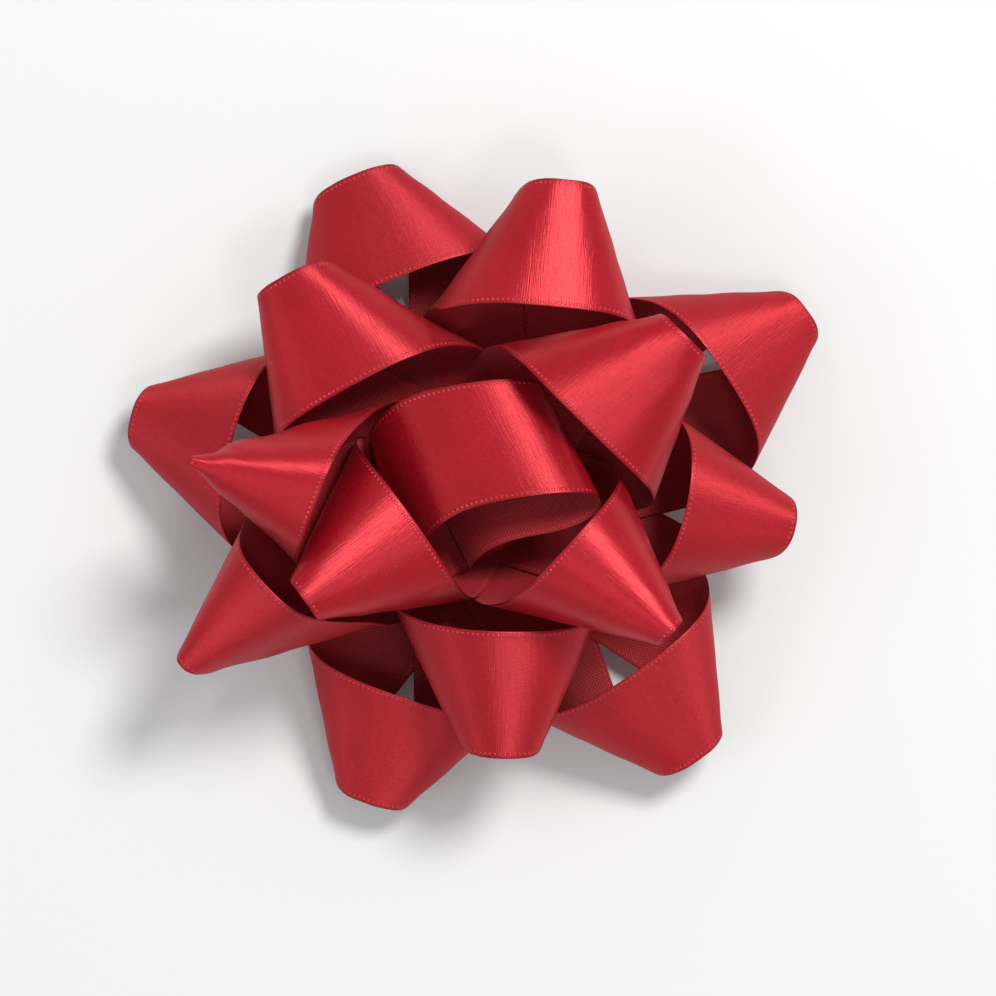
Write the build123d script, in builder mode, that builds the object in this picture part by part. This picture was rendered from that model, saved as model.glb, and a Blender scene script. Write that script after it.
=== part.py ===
from build123d import *
import os

# ---------------------------------------------------------------------------
# Pre-made gift bow: fifteen loops of satin ribbon in three tiers and a centre
# loop, threaded on one flanged plastic rivet over a round paperboard card with
# a foam adhesive pad and a peel-off liner.  Millimetres, +Z up, the rivet is
# the Z axis and the liner lies on Z = 0.
# ---------------------------------------------------------------------------

ribbon_thickness = 0.14      # single-face satin
pin_radius = 0.80            # rivet shaft
pin_hole_radius = 1.30       # hole pierced in every ribbon pass
liner_thickness = 0.12
liner_radius = 15.5
liner_tab_length = 7.0
liner_tab_width = 9.0
pad_gap = 0.03               # air between liner and adhesive
pad_radius = 15.0
pad_thickness = 1.00         # foam
card_radius = 19.0
card_thickness = 0.85        # paperboard
flange_radius = 2.5
flange_thickness = 0.5
cap_radius = 2.1
cap_thickness = 1.3
cap_bottom = 18.17            # just above the last ribbon pass

pad_bottom = liner_thickness + pad_gap
pad_top = pad_bottom + pad_thickness
card_top = pad_top + card_thickness

# Ribbon path of each loop: one station per line, five points (x, y, z) straight
# across the 22 mm ribbon from the outer selvedge to the inner one.  The stations
# run from one cut end to the other.
paths = {
    "lower_loop_1": [
        ((-10.929, -6.065, 2.983), (-6.238, -6.041, 2.527), (0.042, -6.000, 2.295), (6.327, -5.957, 2.315), (11.038, -5.926, 2.470)),
        ((-10.986, 0.462, 2.754), (-6.287, 0.490, 2.409), (-0.003, 0.532, 2.280), (6.280, 0.575, 2.394), (10.986, 0.603, 2.671)),
        ((-11.041, 6.976, 2.523), (-6.333, 7.003, 2.317), (-0.047, 7.046, 2.305), (6.231, 7.089, 2.555), (10.925, 7.111, 2.984)),
        ((-11.090, 13.390, 2.385), (-6.377, 13.420, 2.295), (-0.092, 13.465, 2.346), (6.172, 13.505, 2.774), (10.842, 13.525, 3.425)),
        ((-11.135, 19.795, 2.259), (-6.419, 19.828, 2.279), (-0.141, 19.873, 2.445), (6.094, 19.903, 3.154), (10.722, 19.902, 4.081)),
        ((-11.175, 25.652, 1.977), (-6.460, 25.685, 2.097), (-0.201, 25.724, 2.617), (5.986, 25.731, 3.744), (10.533, 25.685, 5.020)),
        ((-11.211, 30.996, 1.901), (-6.503, 31.029, 2.139), (-0.278, 31.054, 3.013), (5.809, 31.005, 4.621), (10.191, 30.847, 6.386)),
        ((-11.244, 35.660, 1.904), (-6.550, 35.689, 2.332), (-0.391, 35.681, 3.620), (5.494, 35.499, 5.858), (9.504, 35.039, 8.314)),
        ((-11.274, 39.398, 1.966), (-6.605, 39.417, 2.625), (-0.562, 39.340, 4.398), (4.928, 38.846, 7.433), (8.236, 37.700, 10.591)),
        ((-11.304, 42.463, 2.086), (-6.677, 42.461, 3.023), (-0.846, 42.237, 5.391), (3.895, 41.038, 9.301), (6.479, 39.046, 12.700)),
        ((-11.339, 45.087, 2.277), (-6.786, 45.042, 3.544), (-1.368, 44.480, 6.666), (2.429, 42.242, 11.108), (4.511, 39.539, 14.349)),
        ((-11.389, 47.420, 2.558), (-6.973, 47.284, 4.246), (-2.311, 45.990, 8.184), (0.699, 42.725, 12.598), (2.502, 39.526, 15.551)),
        ((-11.471, 49.581, 2.971), (-7.357, 49.203, 5.253), (-3.676, 46.809, 9.678), (-1.176, 42.720, 13.726), (0.516, 39.256, 16.438)),
        ((-11.642, 51.633, 3.621), (-8.215, 50.589, 6.636), (-5.398, 47.019, 10.924), (-3.125, 42.443, 14.580), (-1.475, 38.833, 17.124)),
        ((-12.154, 53.457, 4.775), (-9.723, 51.235, 8.098), (-7.389, 46.799, 11.875), (-5.191, 41.973, 15.248), (-3.555, 38.276, 17.673)),
        ((-13.677, 54.426, 6.437), (-11.921, 51.105, 9.271), (-9.727, 46.257, 12.615), (-7.548, 41.292, 15.795), (-5.914, 37.539, 18.134)),
        ((-16.512, 54.064, 7.704), (-14.877, 50.339, 10.086), (-12.698, 45.319, 13.178), (-10.517, 40.277, 16.233), (-8.880, 36.489, 18.512)),
        ((-20.272, 52.742, 8.195), (-18.633, 48.942, 10.452), (-16.446, 43.874, 13.460), (-14.259, 38.806, 16.469), (-12.619, 35.006, 18.725)),
        ((-23.839, 51.058, 7.950), (-22.233, 47.306, 10.309), (-20.066, 42.272, 13.387), (-17.889, 37.223, 16.433), (-16.253, 33.431, 18.708)),
        ((-26.294, 49.368, 6.986), (-24.921, 45.780, 9.713), (-22.849, 40.844, 13.008), (-20.713, 35.848, 16.167), (-19.094, 32.082, 18.496)),
        ((-27.235, 47.615, 5.452), (-26.783, 44.320, 8.741), (-24.983, 39.552, 12.413), (-22.935, 34.635, 15.749), (-21.350, 30.907, 18.159)),
        ((-26.733, 45.860, 4.139), (-27.792, 42.773, 7.393), (-26.710, 38.261, 11.588), (-24.842, 33.459, 15.183), (-23.319, 29.789, 17.703)),
        ((-25.520, 44.147, 3.373), (-27.866, 41.096, 5.933), (-28.060, 36.851, 10.463), (-26.574, 32.225, 14.425), (-25.163, 28.649, 17.091)),
        ((-24.056, 42.410, 2.928), (-27.031, 39.319, 4.752), (-28.800, 35.228, 8.998), (-28.117, 30.850, 13.376), (-26.931, 27.456, 16.223)),
        ((-22.410, 40.557, 2.637), (-25.643, 37.428, 3.946), (-28.773, 33.360, 7.380), (-29.312, 29.245, 11.907), (-28.604, 26.210, 14.905)),
        ((-20.543, 38.498, 2.436), (-23.894, 35.343, 3.384), (-27.811, 31.228, 5.924), (-29.848, 27.335, 9.981), (-29.984, 24.891, 12.825)),
        ((-18.399, 36.160, 2.304), (-21.811, 32.987, 2.982), (-26.088, 28.823, 4.830), (-29.419, 25.084, 7.809), (-30.581, 22.883, 10.233)),
        ((-15.943, 33.493, 2.242), (-19.385, 30.308, 2.696), (-23.836, 26.108, 4.036), (-27.830, 22.394, 5.917), (-30.073, 20.082, 7.664)),
        ((-13.086, 30.396, 2.255), (-16.544, 27.205, 2.513), (-21.083, 22.978, 3.457), (-25.367, 19.081, 4.698), (-28.202, 16.539, 5.720)),
        ((-9.627, 26.647, 2.397), (-13.089, 23.452, 2.504), (-17.676, 19.207, 3.045), (-22.131, 15.066, 4.080), (-25.259, 12.160, 4.880)),
        ((-5.446, 22.116, 2.585), (-8.907, 18.919, 2.590), (-13.514, 14.663, 2.832), (-18.073, 10.431, 3.583), (-21.406, 7.294, 4.508)),
        ((-1.078, 17.381, 2.723), (-4.537, 14.184, 2.622), (-9.152, 9.923, 2.691), (-13.749, 5.674, 3.185), (-17.156, 2.502, 3.903)),
        ((3.307, 12.626, 2.857), (-0.149, 9.429, 2.651), (-4.766, 5.166, 2.636), (-9.375, 0.904, 2.938), (-12.812, -2.285, 3.428)),
        ((7.728, 7.825, 3.036), (4.275, 4.633, 2.720), (-0.342, 0.371, 2.600), (-4.959, -3.892, 2.741), (-8.411, -7.085, 3.068)),
        ((12.131, 3.042, 3.217), (8.684, -0.148, 2.824), (4.069, -4.409, 2.605), (-0.550, -8.672, 2.637), (-4.009, -11.868, 2.840)),
    ],
    "lower_loop_2": [
        ((12.339, -2.097, 3.442), (8.649, 0.818, 3.265), (3.716, 4.711, 3.113), (-1.219, 8.604, 3.025), (-4.918, 11.523, 3.092)),
        ((8.710, -6.705, 3.286), (5.016, -3.788, 3.075), (0.082, 0.105, 3.016), (-4.852, 3.998, 3.082), (-8.547, 6.916, 3.253)),
        ((5.179, -11.187, 3.187), (1.482, -8.269, 3.075), (-3.452, -4.376, 3.191), (-8.384, -0.484, 3.438), (-12.071, 2.433, 3.731)),
        ((1.739, -15.551, 3.116), (-1.960, -12.633, 3.215), (-6.894, -8.740, 3.398), (-11.820, -4.848, 3.719), (-15.490, -1.933, 4.154)),
        ((-1.254, -19.348, 3.066), (-4.955, -16.429, 3.035), (-9.888, -12.536, 3.174), (-14.801, -8.646, 3.602), (-18.443, -5.736, 4.275)),
        ((-4.526, -23.497, 3.035), (-8.227, -20.577, 3.002), (-13.156, -16.684, 3.224), (-18.039, -12.800, 3.978), (-21.616, -9.898, 5.008)),
        ((-8.003, -27.905, 3.028), (-11.704, -24.985, 3.059), (-16.618, -21.095, 3.515), (-21.422, -17.221, 4.724), (-24.828, -14.334, 6.266)),
        ((-11.074, -31.798, 3.044), (-14.773, -28.879, 3.175), (-19.647, -24.995, 3.981), (-24.263, -21.139, 5.830), (-27.237, -18.261, 8.107)),
        ((-13.644, -35.056, 3.075), (-17.334, -32.138, 3.363), (-22.118, -28.266, 4.647), (-26.289, -24.425, 7.363), (-28.340, -21.500, 10.443)),
        ((-15.862, -37.868, 3.138), (-19.529, -34.954, 3.662), (-24.104, -31.099, 5.600), (-27.276, -27.224, 9.363), (-28.225, -24.167, 12.834)),
        ((-17.794, -40.323, 3.250), (-21.406, -37.416, 4.115), (-25.464, -33.571, 6.955), (-27.194, -29.554, 11.449), (-27.489, -26.371, 14.910)),
        ((-19.452, -42.442, 3.436), (-22.934, -39.547, 4.769), (-25.921, -35.650, 8.608), (-26.567, -31.457, 13.241), (-26.125, -28.067, 16.478)),
        ((-20.906, -44.332, 3.739), (-24.053, -41.447, 5.734), (-25.669, -37.407, 10.229), (-25.350, -32.966, 14.634), (-24.433, -29.380, 17.549)),
        ((-22.199, -46.099, 4.232), (-24.511, -43.181, 7.076), (-24.885, -38.921, 11.658), (-23.756, -34.181, 15.616), (-22.618, -30.461, 18.279)),
        ((-23.202, -47.828, 5.134), (-24.218, -44.768, 8.551), (-23.461, -40.169, 12.726), (-21.950, -35.211, 16.279), (-20.715, -31.410, 18.779)),
        ((-23.363, -49.545, 6.592), (-23.085, -46.191, 9.851), (-21.611, -41.255, 13.446), (-19.944, -36.165, 16.735), (-18.663, -32.311, 19.129)),
        ((-22.115, -51.207, 8.089), (-20.943, -47.456, 10.688), (-19.245, -42.329, 13.902), (-17.517, -37.160, 17.035), (-16.215, -33.273, 19.363)),
        ((-18.900, -52.691, 8.732), (-17.592, -48.792, 11.037), (-15.847, -43.590, 14.104), (-14.102, -38.387, 17.169), (-12.793, -34.485, 19.468)),
        ((-15.121, -53.852, 8.550), (-13.817, -49.995, 10.927), (-12.077, -44.815, 14.034), (-10.334, -39.623, 17.118), (-9.026, -35.725, 19.425)),
        ((-12.470, -54.092, 7.579), (-11.063, -50.599, 10.401), (-9.318, -45.557, 13.723), (-7.580, -40.421, 16.903), (-6.276, -36.547, 19.252)),
        ((-10.965, -53.187, 6.072), (-8.931, -50.648, 9.426), (-7.059, -45.985, 13.187), (-5.310, -40.969, 16.547), (-4.007, -37.144, 18.971)),
        ((-10.309, -51.537, 4.862), (-7.372, -49.982, 8.043), (-5.015, -46.126, 12.362), (-3.196, -41.355, 16.019), (-1.887, -37.619, 18.559)),
        ((-10.169, -49.427, 4.224), (-6.288, -48.733, 6.587), (-3.191, -45.815, 11.140), (-1.122, -41.551, 15.235), (0.214, -37.996, 17.948)),
        ((-10.157, -47.092, 3.879), (-5.763, -46.802, 5.397), (-1.694, -44.878, 9.581), (0.914, -41.431, 14.057), (2.333, -38.273, 16.992)),
        ((-10.186, -44.473, 3.664), (-5.598, -44.315, 4.622), (-0.454, -43.364, 7.863), (2.775, -40.754, 12.364), (4.383, -38.397, 15.404)),
        ((-10.235, -41.479, 3.521), (-5.570, -41.365, 4.127), (0.240, -40.945, 6.306), (4.376, -39.441, 10.219), (6.168, -38.018, 12.920)),
        ((-10.295, -38.152, 3.438), (-5.599, -38.056, 3.807), (0.484, -37.825, 5.236), (5.547, -37.343, 7.919), (7.881, -36.549, 10.210)),
        ((-10.362, -34.498, 3.396), (-5.654, -34.407, 3.595), (0.542, -34.245, 4.543), (6.143, -34.146, 6.146), (9.374, -33.968, 7.721)),
        ((-10.442, -30.179, 3.377), (-5.730, -30.090, 3.451), (0.520, -29.956, 4.050), (6.495, -29.847, 5.144), (10.434, -29.831, 6.055)),
        ((-10.544, -24.698, 3.372), (-5.830, -24.611, 3.364), (0.444, -24.489, 3.683), (6.640, -24.343, 4.526), (11.119, -24.201, 5.465)),
        ((-10.654, -18.707, 3.398), (-5.941, -18.620, 3.329), (0.341, -18.502, 3.458), (6.598, -18.371, 4.013), (11.238, -18.246, 4.781)),
        ((-10.760, -12.933, 3.490), (-6.048, -12.846, 3.607), (0.236, -12.729, 3.462), (6.510, -12.607, 3.679), (11.191, -12.502, 4.213)),
        ((-10.870, -6.802, 3.935), (-6.162, -6.715, 3.711), (0.123, -6.598, 3.415), (6.404, -6.481, 3.472), (11.103, -6.388, 3.820)),
        ((-10.982, -0.572, 4.004), (-6.277, -0.483, 3.591), (0.007, -0.366, 3.352), (6.291, -0.250, 3.505), (10.998, -0.160, 3.666)),
        ((-11.094, 5.792, 3.820), (-6.393, 5.882, 3.459), (-0.111, 5.999, 3.378), (6.173, 6.116, 3.442), (10.885, 6.204, 3.528)),
    ],
    "lower_loop_3": [
        ((-8.145, 9.490, 4.247), (-7.174, 4.898, 4.042), (-5.869, -1.247, 4.014), (-4.563, -7.395, 4.064), (-3.584, -12.005, 4.076)),
        ((-2.210, 10.759, 4.081), (-1.237, 6.162, 3.857), (0.069, 0.015, 3.835), (1.375, -6.133, 3.901), (2.353, -10.742, 3.987)),
        ((3.849, 12.053, 3.911), (4.824, 7.450, 3.859), (6.130, 1.302, 3.958), (7.436, -4.844, 4.039), (8.411, -9.449, 4.228)),
        ((9.970, 13.358, 3.924), (10.947, 8.752, 3.830), (12.252, 2.602, 3.957), (13.558, -3.541, 4.121), (14.528, -8.136, 4.438)),
        ((15.600, 14.557, 3.732), (16.579, 9.948, 3.587), (17.885, 3.800, 3.671), (19.187, -2.340, 4.036), (20.144, -6.916, 4.678)),
        ((22.144, 15.950, 3.592), (23.124, 11.339, 3.567), (24.429, 5.194, 3.774), (25.717, -0.925, 4.434), (26.647, -5.467, 5.329)),
        ((28.623, 17.327, 3.542), (29.602, 12.716, 3.585), (30.902, 6.579, 3.993), (32.155, 0.507, 5.066), (33.006, -3.945, 6.412)),
        ((34.471, 18.569, 3.527), (35.450, 13.960, 3.656), (36.731, 7.849, 4.399), (37.888, 1.890, 6.083), (38.523, -2.347, 8.095)),
        ((39.372, 19.611, 3.532), (40.347, 15.007, 3.809), (41.579, 8.960, 5.042), (42.479, 3.258, 7.572), (42.578, -0.530, 10.405)),
        ((43.455, 20.479, 3.567), (44.419, 15.893, 4.084), (45.518, 9.992, 5.995), (45.788, 4.826, 9.576), (45.035, 1.635, 12.979)),
        ((46.974, 21.230, 3.653), (47.903, 16.688, 4.543), (48.638, 11.130, 7.398), (47.816, 6.749, 11.830), (46.507, 3.892, 15.352)),
        ((49.884, 21.859, 3.822), (50.716, 17.424, 5.236), (50.641, 12.509, 9.117), (48.973, 8.653, 13.798), (47.070, 6.083, 17.261)),
        ((52.316, 22.406, 4.111), (52.886, 18.219, 6.228), (51.786, 14.013, 10.756), (49.363, 10.530, 15.384), (46.867, 8.166, 18.612)),
        ((54.426, 22.944, 4.605), (54.338, 19.276, 7.537), (52.356, 15.578, 12.203), (49.084, 12.403, 16.522), (46.264, 10.097, 19.517)),
        ((56.234, 23.631, 5.477), (55.221, 20.591, 8.927), (52.230, 17.319, 13.358), (48.441, 14.243, 17.321), (45.462, 11.939, 20.159)),
        ((57.429, 24.815, 6.846), (55.356, 22.294, 10.220), (51.556, 19.217, 14.170), (47.534, 16.139, 17.897), (44.478, 13.823, 20.642)),
        ((57.462, 26.872, 8.287), (54.464, 24.564, 11.102), (50.372, 21.473, 14.740), (46.256, 18.374, 18.344), (43.163, 16.047, 21.039)),
        ((55.649, 29.959, 8.847), (52.550, 27.630, 11.533), (48.416, 24.524, 15.110), (44.281, 21.418, 18.688), (41.180, 19.089, 21.370)),
        ((53.487, 32.342, 8.452), (50.556, 30.230, 11.476), (46.507, 27.194, 15.206), (42.407, 24.111, 18.843), (39.320, 21.790, 21.548)),
        ((51.362, 33.083, 7.171), (48.645, 31.888, 10.795), (44.789, 29.176, 14.946), (40.784, 26.189, 18.763), (37.738, 23.901, 21.542)),
        ((49.300, 32.825, 5.804), (46.596, 32.672, 9.557), (42.944, 30.776, 14.280), (39.086, 28.040, 18.419), (36.108, 25.833, 21.335)),
        ((47.277, 31.518, 4.795), (44.415, 32.758, 8.075), (40.837, 31.878, 13.116), (37.149, 29.709, 17.711), (34.270, 27.687, 20.850)),
        ((45.165, 29.580, 4.278), (42.070, 32.095, 6.539), (38.436, 32.300, 11.516), (34.850, 31.036, 16.497), (32.087, 29.405, 19.948)),
        ((42.787, 27.244, 4.013), (39.543, 30.330, 5.327), (35.693, 32.237, 9.635), (32.112, 31.756, 14.725), (29.424, 30.772, 18.462)),
        ((40.043, 24.509, 3.891), (36.738, 27.773, 4.596), (32.603, 31.177, 7.625), (28.925, 31.899, 12.540), (26.243, 31.461, 16.366)),
        ((36.989, 21.454, 3.859), (33.663, 24.769, 4.200), (29.349, 28.851, 6.075), (25.421, 31.287, 10.144), (22.694, 31.556, 13.923)),
        ((33.646, 18.108, 3.870), (30.313, 21.437, 3.996), (25.919, 25.758, 5.112), (21.741, 29.360, 7.959), (18.859, 30.851, 11.296)),
        ((29.837, 14.296, 3.897), (26.502, 17.628, 3.909), (22.074, 22.033, 4.522), (17.748, 26.161, 6.341), (14.664, 28.673, 8.788)),
        ((25.532, 9.989, 3.944), (22.198, 13.321, 3.896), (17.757, 17.754, 4.178), (13.360, 22.084, 5.292), (10.143, 25.093, 6.906)),
        ((20.914, 5.368, 4.012), (17.579, 8.699, 3.921), (13.134, 13.141, 4.177), (8.707, 17.544, 4.678), (5.426, 20.748, 5.708)),
        ((16.275, 0.726, 4.175), (12.940, 4.056, 4.276), (8.493, 8.499, 4.175), (4.054, 12.929, 4.321), (0.744, 16.208, 5.017)),
        ((11.490, -4.059, 4.542), (8.156, -0.730, 4.394), (3.710, 3.712, 4.212), (-0.735, 8.152, 4.231), (-4.059, 11.462, 4.593)),
        ((7.824, -7.725, 4.454), (4.491, -4.397, 4.234), (0.045, 0.045, 4.170), (-4.400, 4.487, 4.284), (-7.729, 7.809, 4.432)),
        ((3.536, -12.013, 4.360), (0.205, -8.686, 4.338), (-4.241, -4.244, 4.361), (-8.687, 0.198, 4.316), (-12.019, 3.526, 4.370)),
    ],
    "lower_loop_4": [
        ((-0.427, -12.500, 4.966), (1.967, -8.460, 4.758), (5.165, -3.053, 4.706), (8.364, 2.357, 4.770), (10.762, 6.406, 4.860)),
        ((-5.854, -9.300, 4.793), (-3.458, -5.255, 4.798), (-0.259, 0.154, 4.666), (2.939, 5.561, 4.725), (5.335, 9.597, 4.961)),
        ((-11.187, -6.154, 4.642), (-8.789, -2.104, 4.712), (-5.590, 3.306, 4.766), (-2.393, 8.705, 4.883), (-0.001, 12.713, 5.318)),
        ((-16.171, -3.211, 4.647), (-13.773, 0.842, 4.606), (-10.571, 6.253, 4.762), (-7.381, 11.632, 5.104), (-4.996, 15.589, 5.852)),
        ((-20.219, -0.820, 4.549), (-17.821, 3.235, 4.682), (-14.623, 8.642, 4.473), (-11.433, 13.997, 5.216), (-9.056, 17.866, 6.496)),
        ((-24.843, 1.919, 4.484), (-22.449, 5.972, 5.342), (-19.255, 11.359, 5.216), (-16.074, 16.623, 5.922), (-13.703, 20.340, 7.589)),
        ((-29.829, 4.877, 4.218), (-27.430, 8.925, 5.250), (-24.270, 14.220, 6.199), (-21.086, 19.302, 7.078), (-18.713, 22.654, 9.378)),
        ((-33.922, 7.278, 4.237), (-31.526, 11.323, 4.488), (-28.372, 16.440, 6.366), (-25.182, 21.142, 8.581), (-22.768, 23.905, 11.506)),
        ((-37.469, 9.376, 4.235), (-35.077, 13.401, 4.670), (-31.920, 18.310, 6.826), (-28.703, 22.250, 10.391), (-26.179, 24.144, 13.821)),
        ((-40.927, 11.418, 4.289), (-38.539, 15.394, 5.070), (-35.376, 19.930, 7.993), (-32.036, 22.591, 12.559), (-29.332, 23.531, 16.244)),
        ((-43.925, 13.181, 4.426), (-41.547, 17.028, 5.717), (-38.332, 20.743, 9.596), (-34.771, 22.117, 14.600), (-31.913, 22.440, 18.298)),
        ((-46.551, 14.701, 4.686), (-44.178, 18.237, 6.682), (-40.798, 20.647, 11.370), (-37.017, 21.149, 16.366), (-33.931, 20.836, 19.898)),
        ((-48.910, 16.002, 5.147), (-46.501, 18.850, 8.001), (-42.880, 19.989, 13.013), (-38.803, 19.662, 17.769), (-35.498, 18.921, 21.043)),
        ((-51.083, 17.014, 5.933), (-48.525, 18.700, 9.503), (-44.606, 18.809, 14.394), (-40.205, 17.836, 18.767), (-36.736, 16.874, 21.811)),
        ((-53.109, 17.435, 7.170), (-50.304, 17.947, 10.927), (-45.988, 17.134, 15.405), (-41.336, 15.822, 19.422), (-37.756, 14.754, 22.299)),
        ((-54.983, 16.941, 8.648), (-51.786, 16.410, 12.054), (-47.116, 15.082, 16.044), (-42.298, 13.626, 19.810), (-38.645, 12.510, 22.576)),
        ((-56.590, 15.101, 9.819), (-52.999, 14.027, 12.679), (-48.118, 12.534, 16.348), (-43.203, 11.027, 19.966), (-39.507, 9.893, 22.666)),
        ((-57.734, 11.890, 10.039), (-54.027, 10.754, 12.722), (-49.085, 9.238, 16.300), (-44.142, 7.723, 19.876), (-40.435, 6.586, 22.559)),
        ((-58.226, 8.871, 9.463), (-54.651, 7.715, 12.310), (-49.774, 6.199, 15.975), (-44.862, 4.685, 19.595), (-41.169, 3.549, 22.297)),
        ((-57.718, 6.899, 8.190), (-54.736, 5.404, 11.500), (-50.098, 3.819, 15.433), (-45.282, 2.293, 19.174), (-41.629, 1.155, 21.930)),
        ((-56.359, 5.911, 6.796), (-54.228, 3.640, 10.290), (-50.131, 1.746, 14.651), (-45.505, 0.160, 18.600), (-41.927, -0.992, 21.446)),
        ((-54.414, 5.678, 5.850), (-53.055, 2.455, 8.855), (-49.762, -0.110, 13.525), (-45.511, -1.896, 17.792), (-42.069, -3.096, 20.781)),
        ((-52.152, 5.766, 5.313), (-51.329, 1.758, 7.493), (-48.830, -1.657, 12.060), (-45.201, -3.911, 16.657), (-42.004, -5.241, 19.856)),
        ((-49.580, 5.978, 4.989), (-48.975, 1.581, 6.457), (-47.302, -2.898, 10.372), (-44.349, -5.791, 15.092), (-41.574, -7.431, 18.531)),
        ((-46.583, 6.267, 4.777), (-46.057, 1.700, 5.749), (-44.981, -3.676, 8.664), (-42.766, -7.426, 13.125), (-40.494, -9.533, 16.679)),
        ((-43.088, 6.620, 4.647), (-42.590, 1.979, 5.272), (-41.781, -3.877, 7.289), (-40.365, -8.710, 10.946), (-38.589, -11.374, 14.384)),
        ((-39.043, 7.036, 4.586), (-38.556, 2.362, 4.952), (-37.850, -3.715, 6.319), (-36.889, -9.282, 8.984), (-35.744, -12.776, 11.892)),
        ((-34.269, 7.527, 4.575), (-33.785, 2.842, 4.743), (-33.119, -3.339, 5.637), (-32.352, -9.278, 7.482), (-31.596, -13.387, 9.628)),
        ((-29.416, 8.023, 4.985), (-28.923, 3.340, 4.675), (-28.271, -2.884, 5.218), (-27.574, -8.983, 6.530), (-26.970, -13.375, 8.100)),
        ((-24.137, 8.560, 6.018), (-23.652, 3.878, 5.424), (-23.005, -2.361, 4.948), (-22.338, -8.540, 5.865), (-21.800, -13.075, 7.013)),
        ((-18.669, 9.130, 5.375), (-18.184, 4.444, 5.158), (-17.540, -1.805, 4.930), (-16.887, -8.023, 5.418), (-16.378, -12.631, 6.261)),
        ((-13.517, 9.657, 4.988), (-13.031, 4.976, 5.045), (-12.387, -1.276, 4.923), (-11.739, -7.513, 5.122), (-11.243, -12.157, 5.753)),
        ((-7.316, 10.282, 5.464), (-6.827, 5.612, 5.237), (-6.183, -0.637, 5.076), (-5.537, -6.885, 5.096), (-5.048, -11.553, 5.318)),
        ((-1.327, 10.888, 5.387), (-0.840, 6.228, 5.067), (-0.195, -0.021, 4.999), (0.449, -6.272, 5.078), (0.934, -10.951, 5.197)),
        ((4.834, 11.508, 5.519), (5.323, 6.859, 5.155), (5.968, 0.614, 5.045), (6.612, -5.638, 4.930), (7.096, -10.323, 4.894)),
    ],
    "lower_loop_5": [
        ((8.395, 9.284, 5.588), (3.954, 7.736, 5.561), (-1.979, 5.664, 5.515), (-7.912, 3.592, 5.549), (-12.359, 2.041, 5.617)),
        ((10.482, 3.324, 5.378), (6.038, 1.774, 5.469), (0.104, -0.299, 5.420), (-5.828, -2.370, 5.546), (-10.268, -3.915, 5.699)),
        ((12.638, -2.837, 5.182), (8.190, -4.387, 5.356), (2.256, -6.460, 5.478), (-3.670, -8.528, 5.734), (-8.094, -10.058, 5.955)),
        ((14.555, -8.319, 5.032), (10.105, -9.872, 5.101), (4.171, -11.943, 5.407), (-1.739, -14.004, 5.767), (-6.130, -15.512, 6.314)),
        ((16.079, -12.700, 4.835), (11.636, -14.257, 5.144), (5.706, -16.325, 5.025), (-0.188, -18.369, 5.721), (-4.531, -19.833, 6.815)),
        ((17.850, -17.784, 4.799), (13.402, -19.346, 5.748), (7.494, -21.400, 5.777), (1.652, -23.397, 6.293), (-2.599, -24.762, 7.795)),
        ((19.813, -23.425, 4.631), (15.363, -24.973, 5.660), (9.523, -26.996, 7.043), (3.807, -28.851, 7.462), (-0.227, -29.951, 9.559)),
        ((21.503, -28.208, 4.658), (17.064, -29.757, 4.986), (11.315, -31.674, 7.185), (5.895, -33.155, 9.084), (2.259, -33.687, 11.915)),
        ((22.779, -31.860, 4.643), (18.355, -33.397, 5.103), (12.721, -35.184, 7.157), (7.773, -36.026, 10.783), (4.651, -35.713, 14.196)),
        ((24.012, -35.379, 4.687), (19.625, -36.883, 5.478), (14.226, -38.376, 8.267), (9.984, -38.126, 12.856), (7.315, -36.965, 16.495)),
        ((25.137, -38.564, 4.821), (20.837, -39.980, 6.103), (15.947, -40.756, 9.904), (12.349, -39.336, 14.876), (9.966, -37.543, 18.488)),
        ((26.147, -41.358, 5.089), (22.046, -42.540, 7.060), (17.904, -42.102, 11.708), (14.688, -39.831, 16.607), (12.526, -37.376, 19.983)),
        ((27.117, -43.859, 5.573), (23.447, -44.442, 8.424), (19.948, -42.796, 13.375), (17.034, -39.636, 17.943), (14.956, -36.742, 21.026)),
        ((28.171, -46.044, 6.432), (25.171, -45.524, 10.006), (22.106, -42.819, 14.750), (19.330, -38.977, 18.872), (17.258, -35.841, 21.719)),
        ((29.595, -47.592, 7.826), (27.155, -45.937, 11.498), (24.355, -42.240, 15.723), (21.587, -38.023, 19.474), (19.494, -34.756, 22.154)),
        ((31.602, -48.216, 9.435), (29.496, -45.459, 12.611), (26.723, -41.208, 16.319), (23.918, -36.803, 19.819), (21.800, -33.464, 22.389)),
        ((34.384, -47.433, 10.547), (32.280, -44.132, 13.176), (29.447, -39.662, 16.571), (26.601, -35.170, 19.925), (24.463, -31.794, 22.429)),
        ((37.812, -45.308, 10.626), (35.669, -41.926, 13.118), (32.811, -37.417, 16.439), (29.953, -32.907, 19.759), (27.810, -29.524, 22.249)),
        ((40.433, -43.135, 9.962), (38.397, -39.817, 12.623), (35.590, -35.347, 16.040), (32.756, -30.858, 19.408), (30.623, -27.485, 21.920)),
        ((41.468, -41.265, 8.607), (40.095, -38.065, 11.763), (37.502, -33.688, 15.455), (34.744, -29.246, 18.946), (32.641, -25.896, 21.514)),
        ((41.035, -39.675, 7.134), (40.898, -36.424, 10.502), (38.930, -32.154, 14.656), (36.344, -27.781, 18.360), (34.302, -24.463, 21.016)),
        ((39.672, -38.327, 6.178), (40.756, -34.846, 9.030), (39.905, -30.577, 13.535), (37.718, -26.289, 17.572), (35.796, -23.016, 20.370)),
        ((37.893, -37.050, 5.667), (39.834, -33.329, 7.685), (40.210, -28.912, 12.064), (38.834, -24.668, 16.477), (37.164, -21.451, 19.492)),
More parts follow.
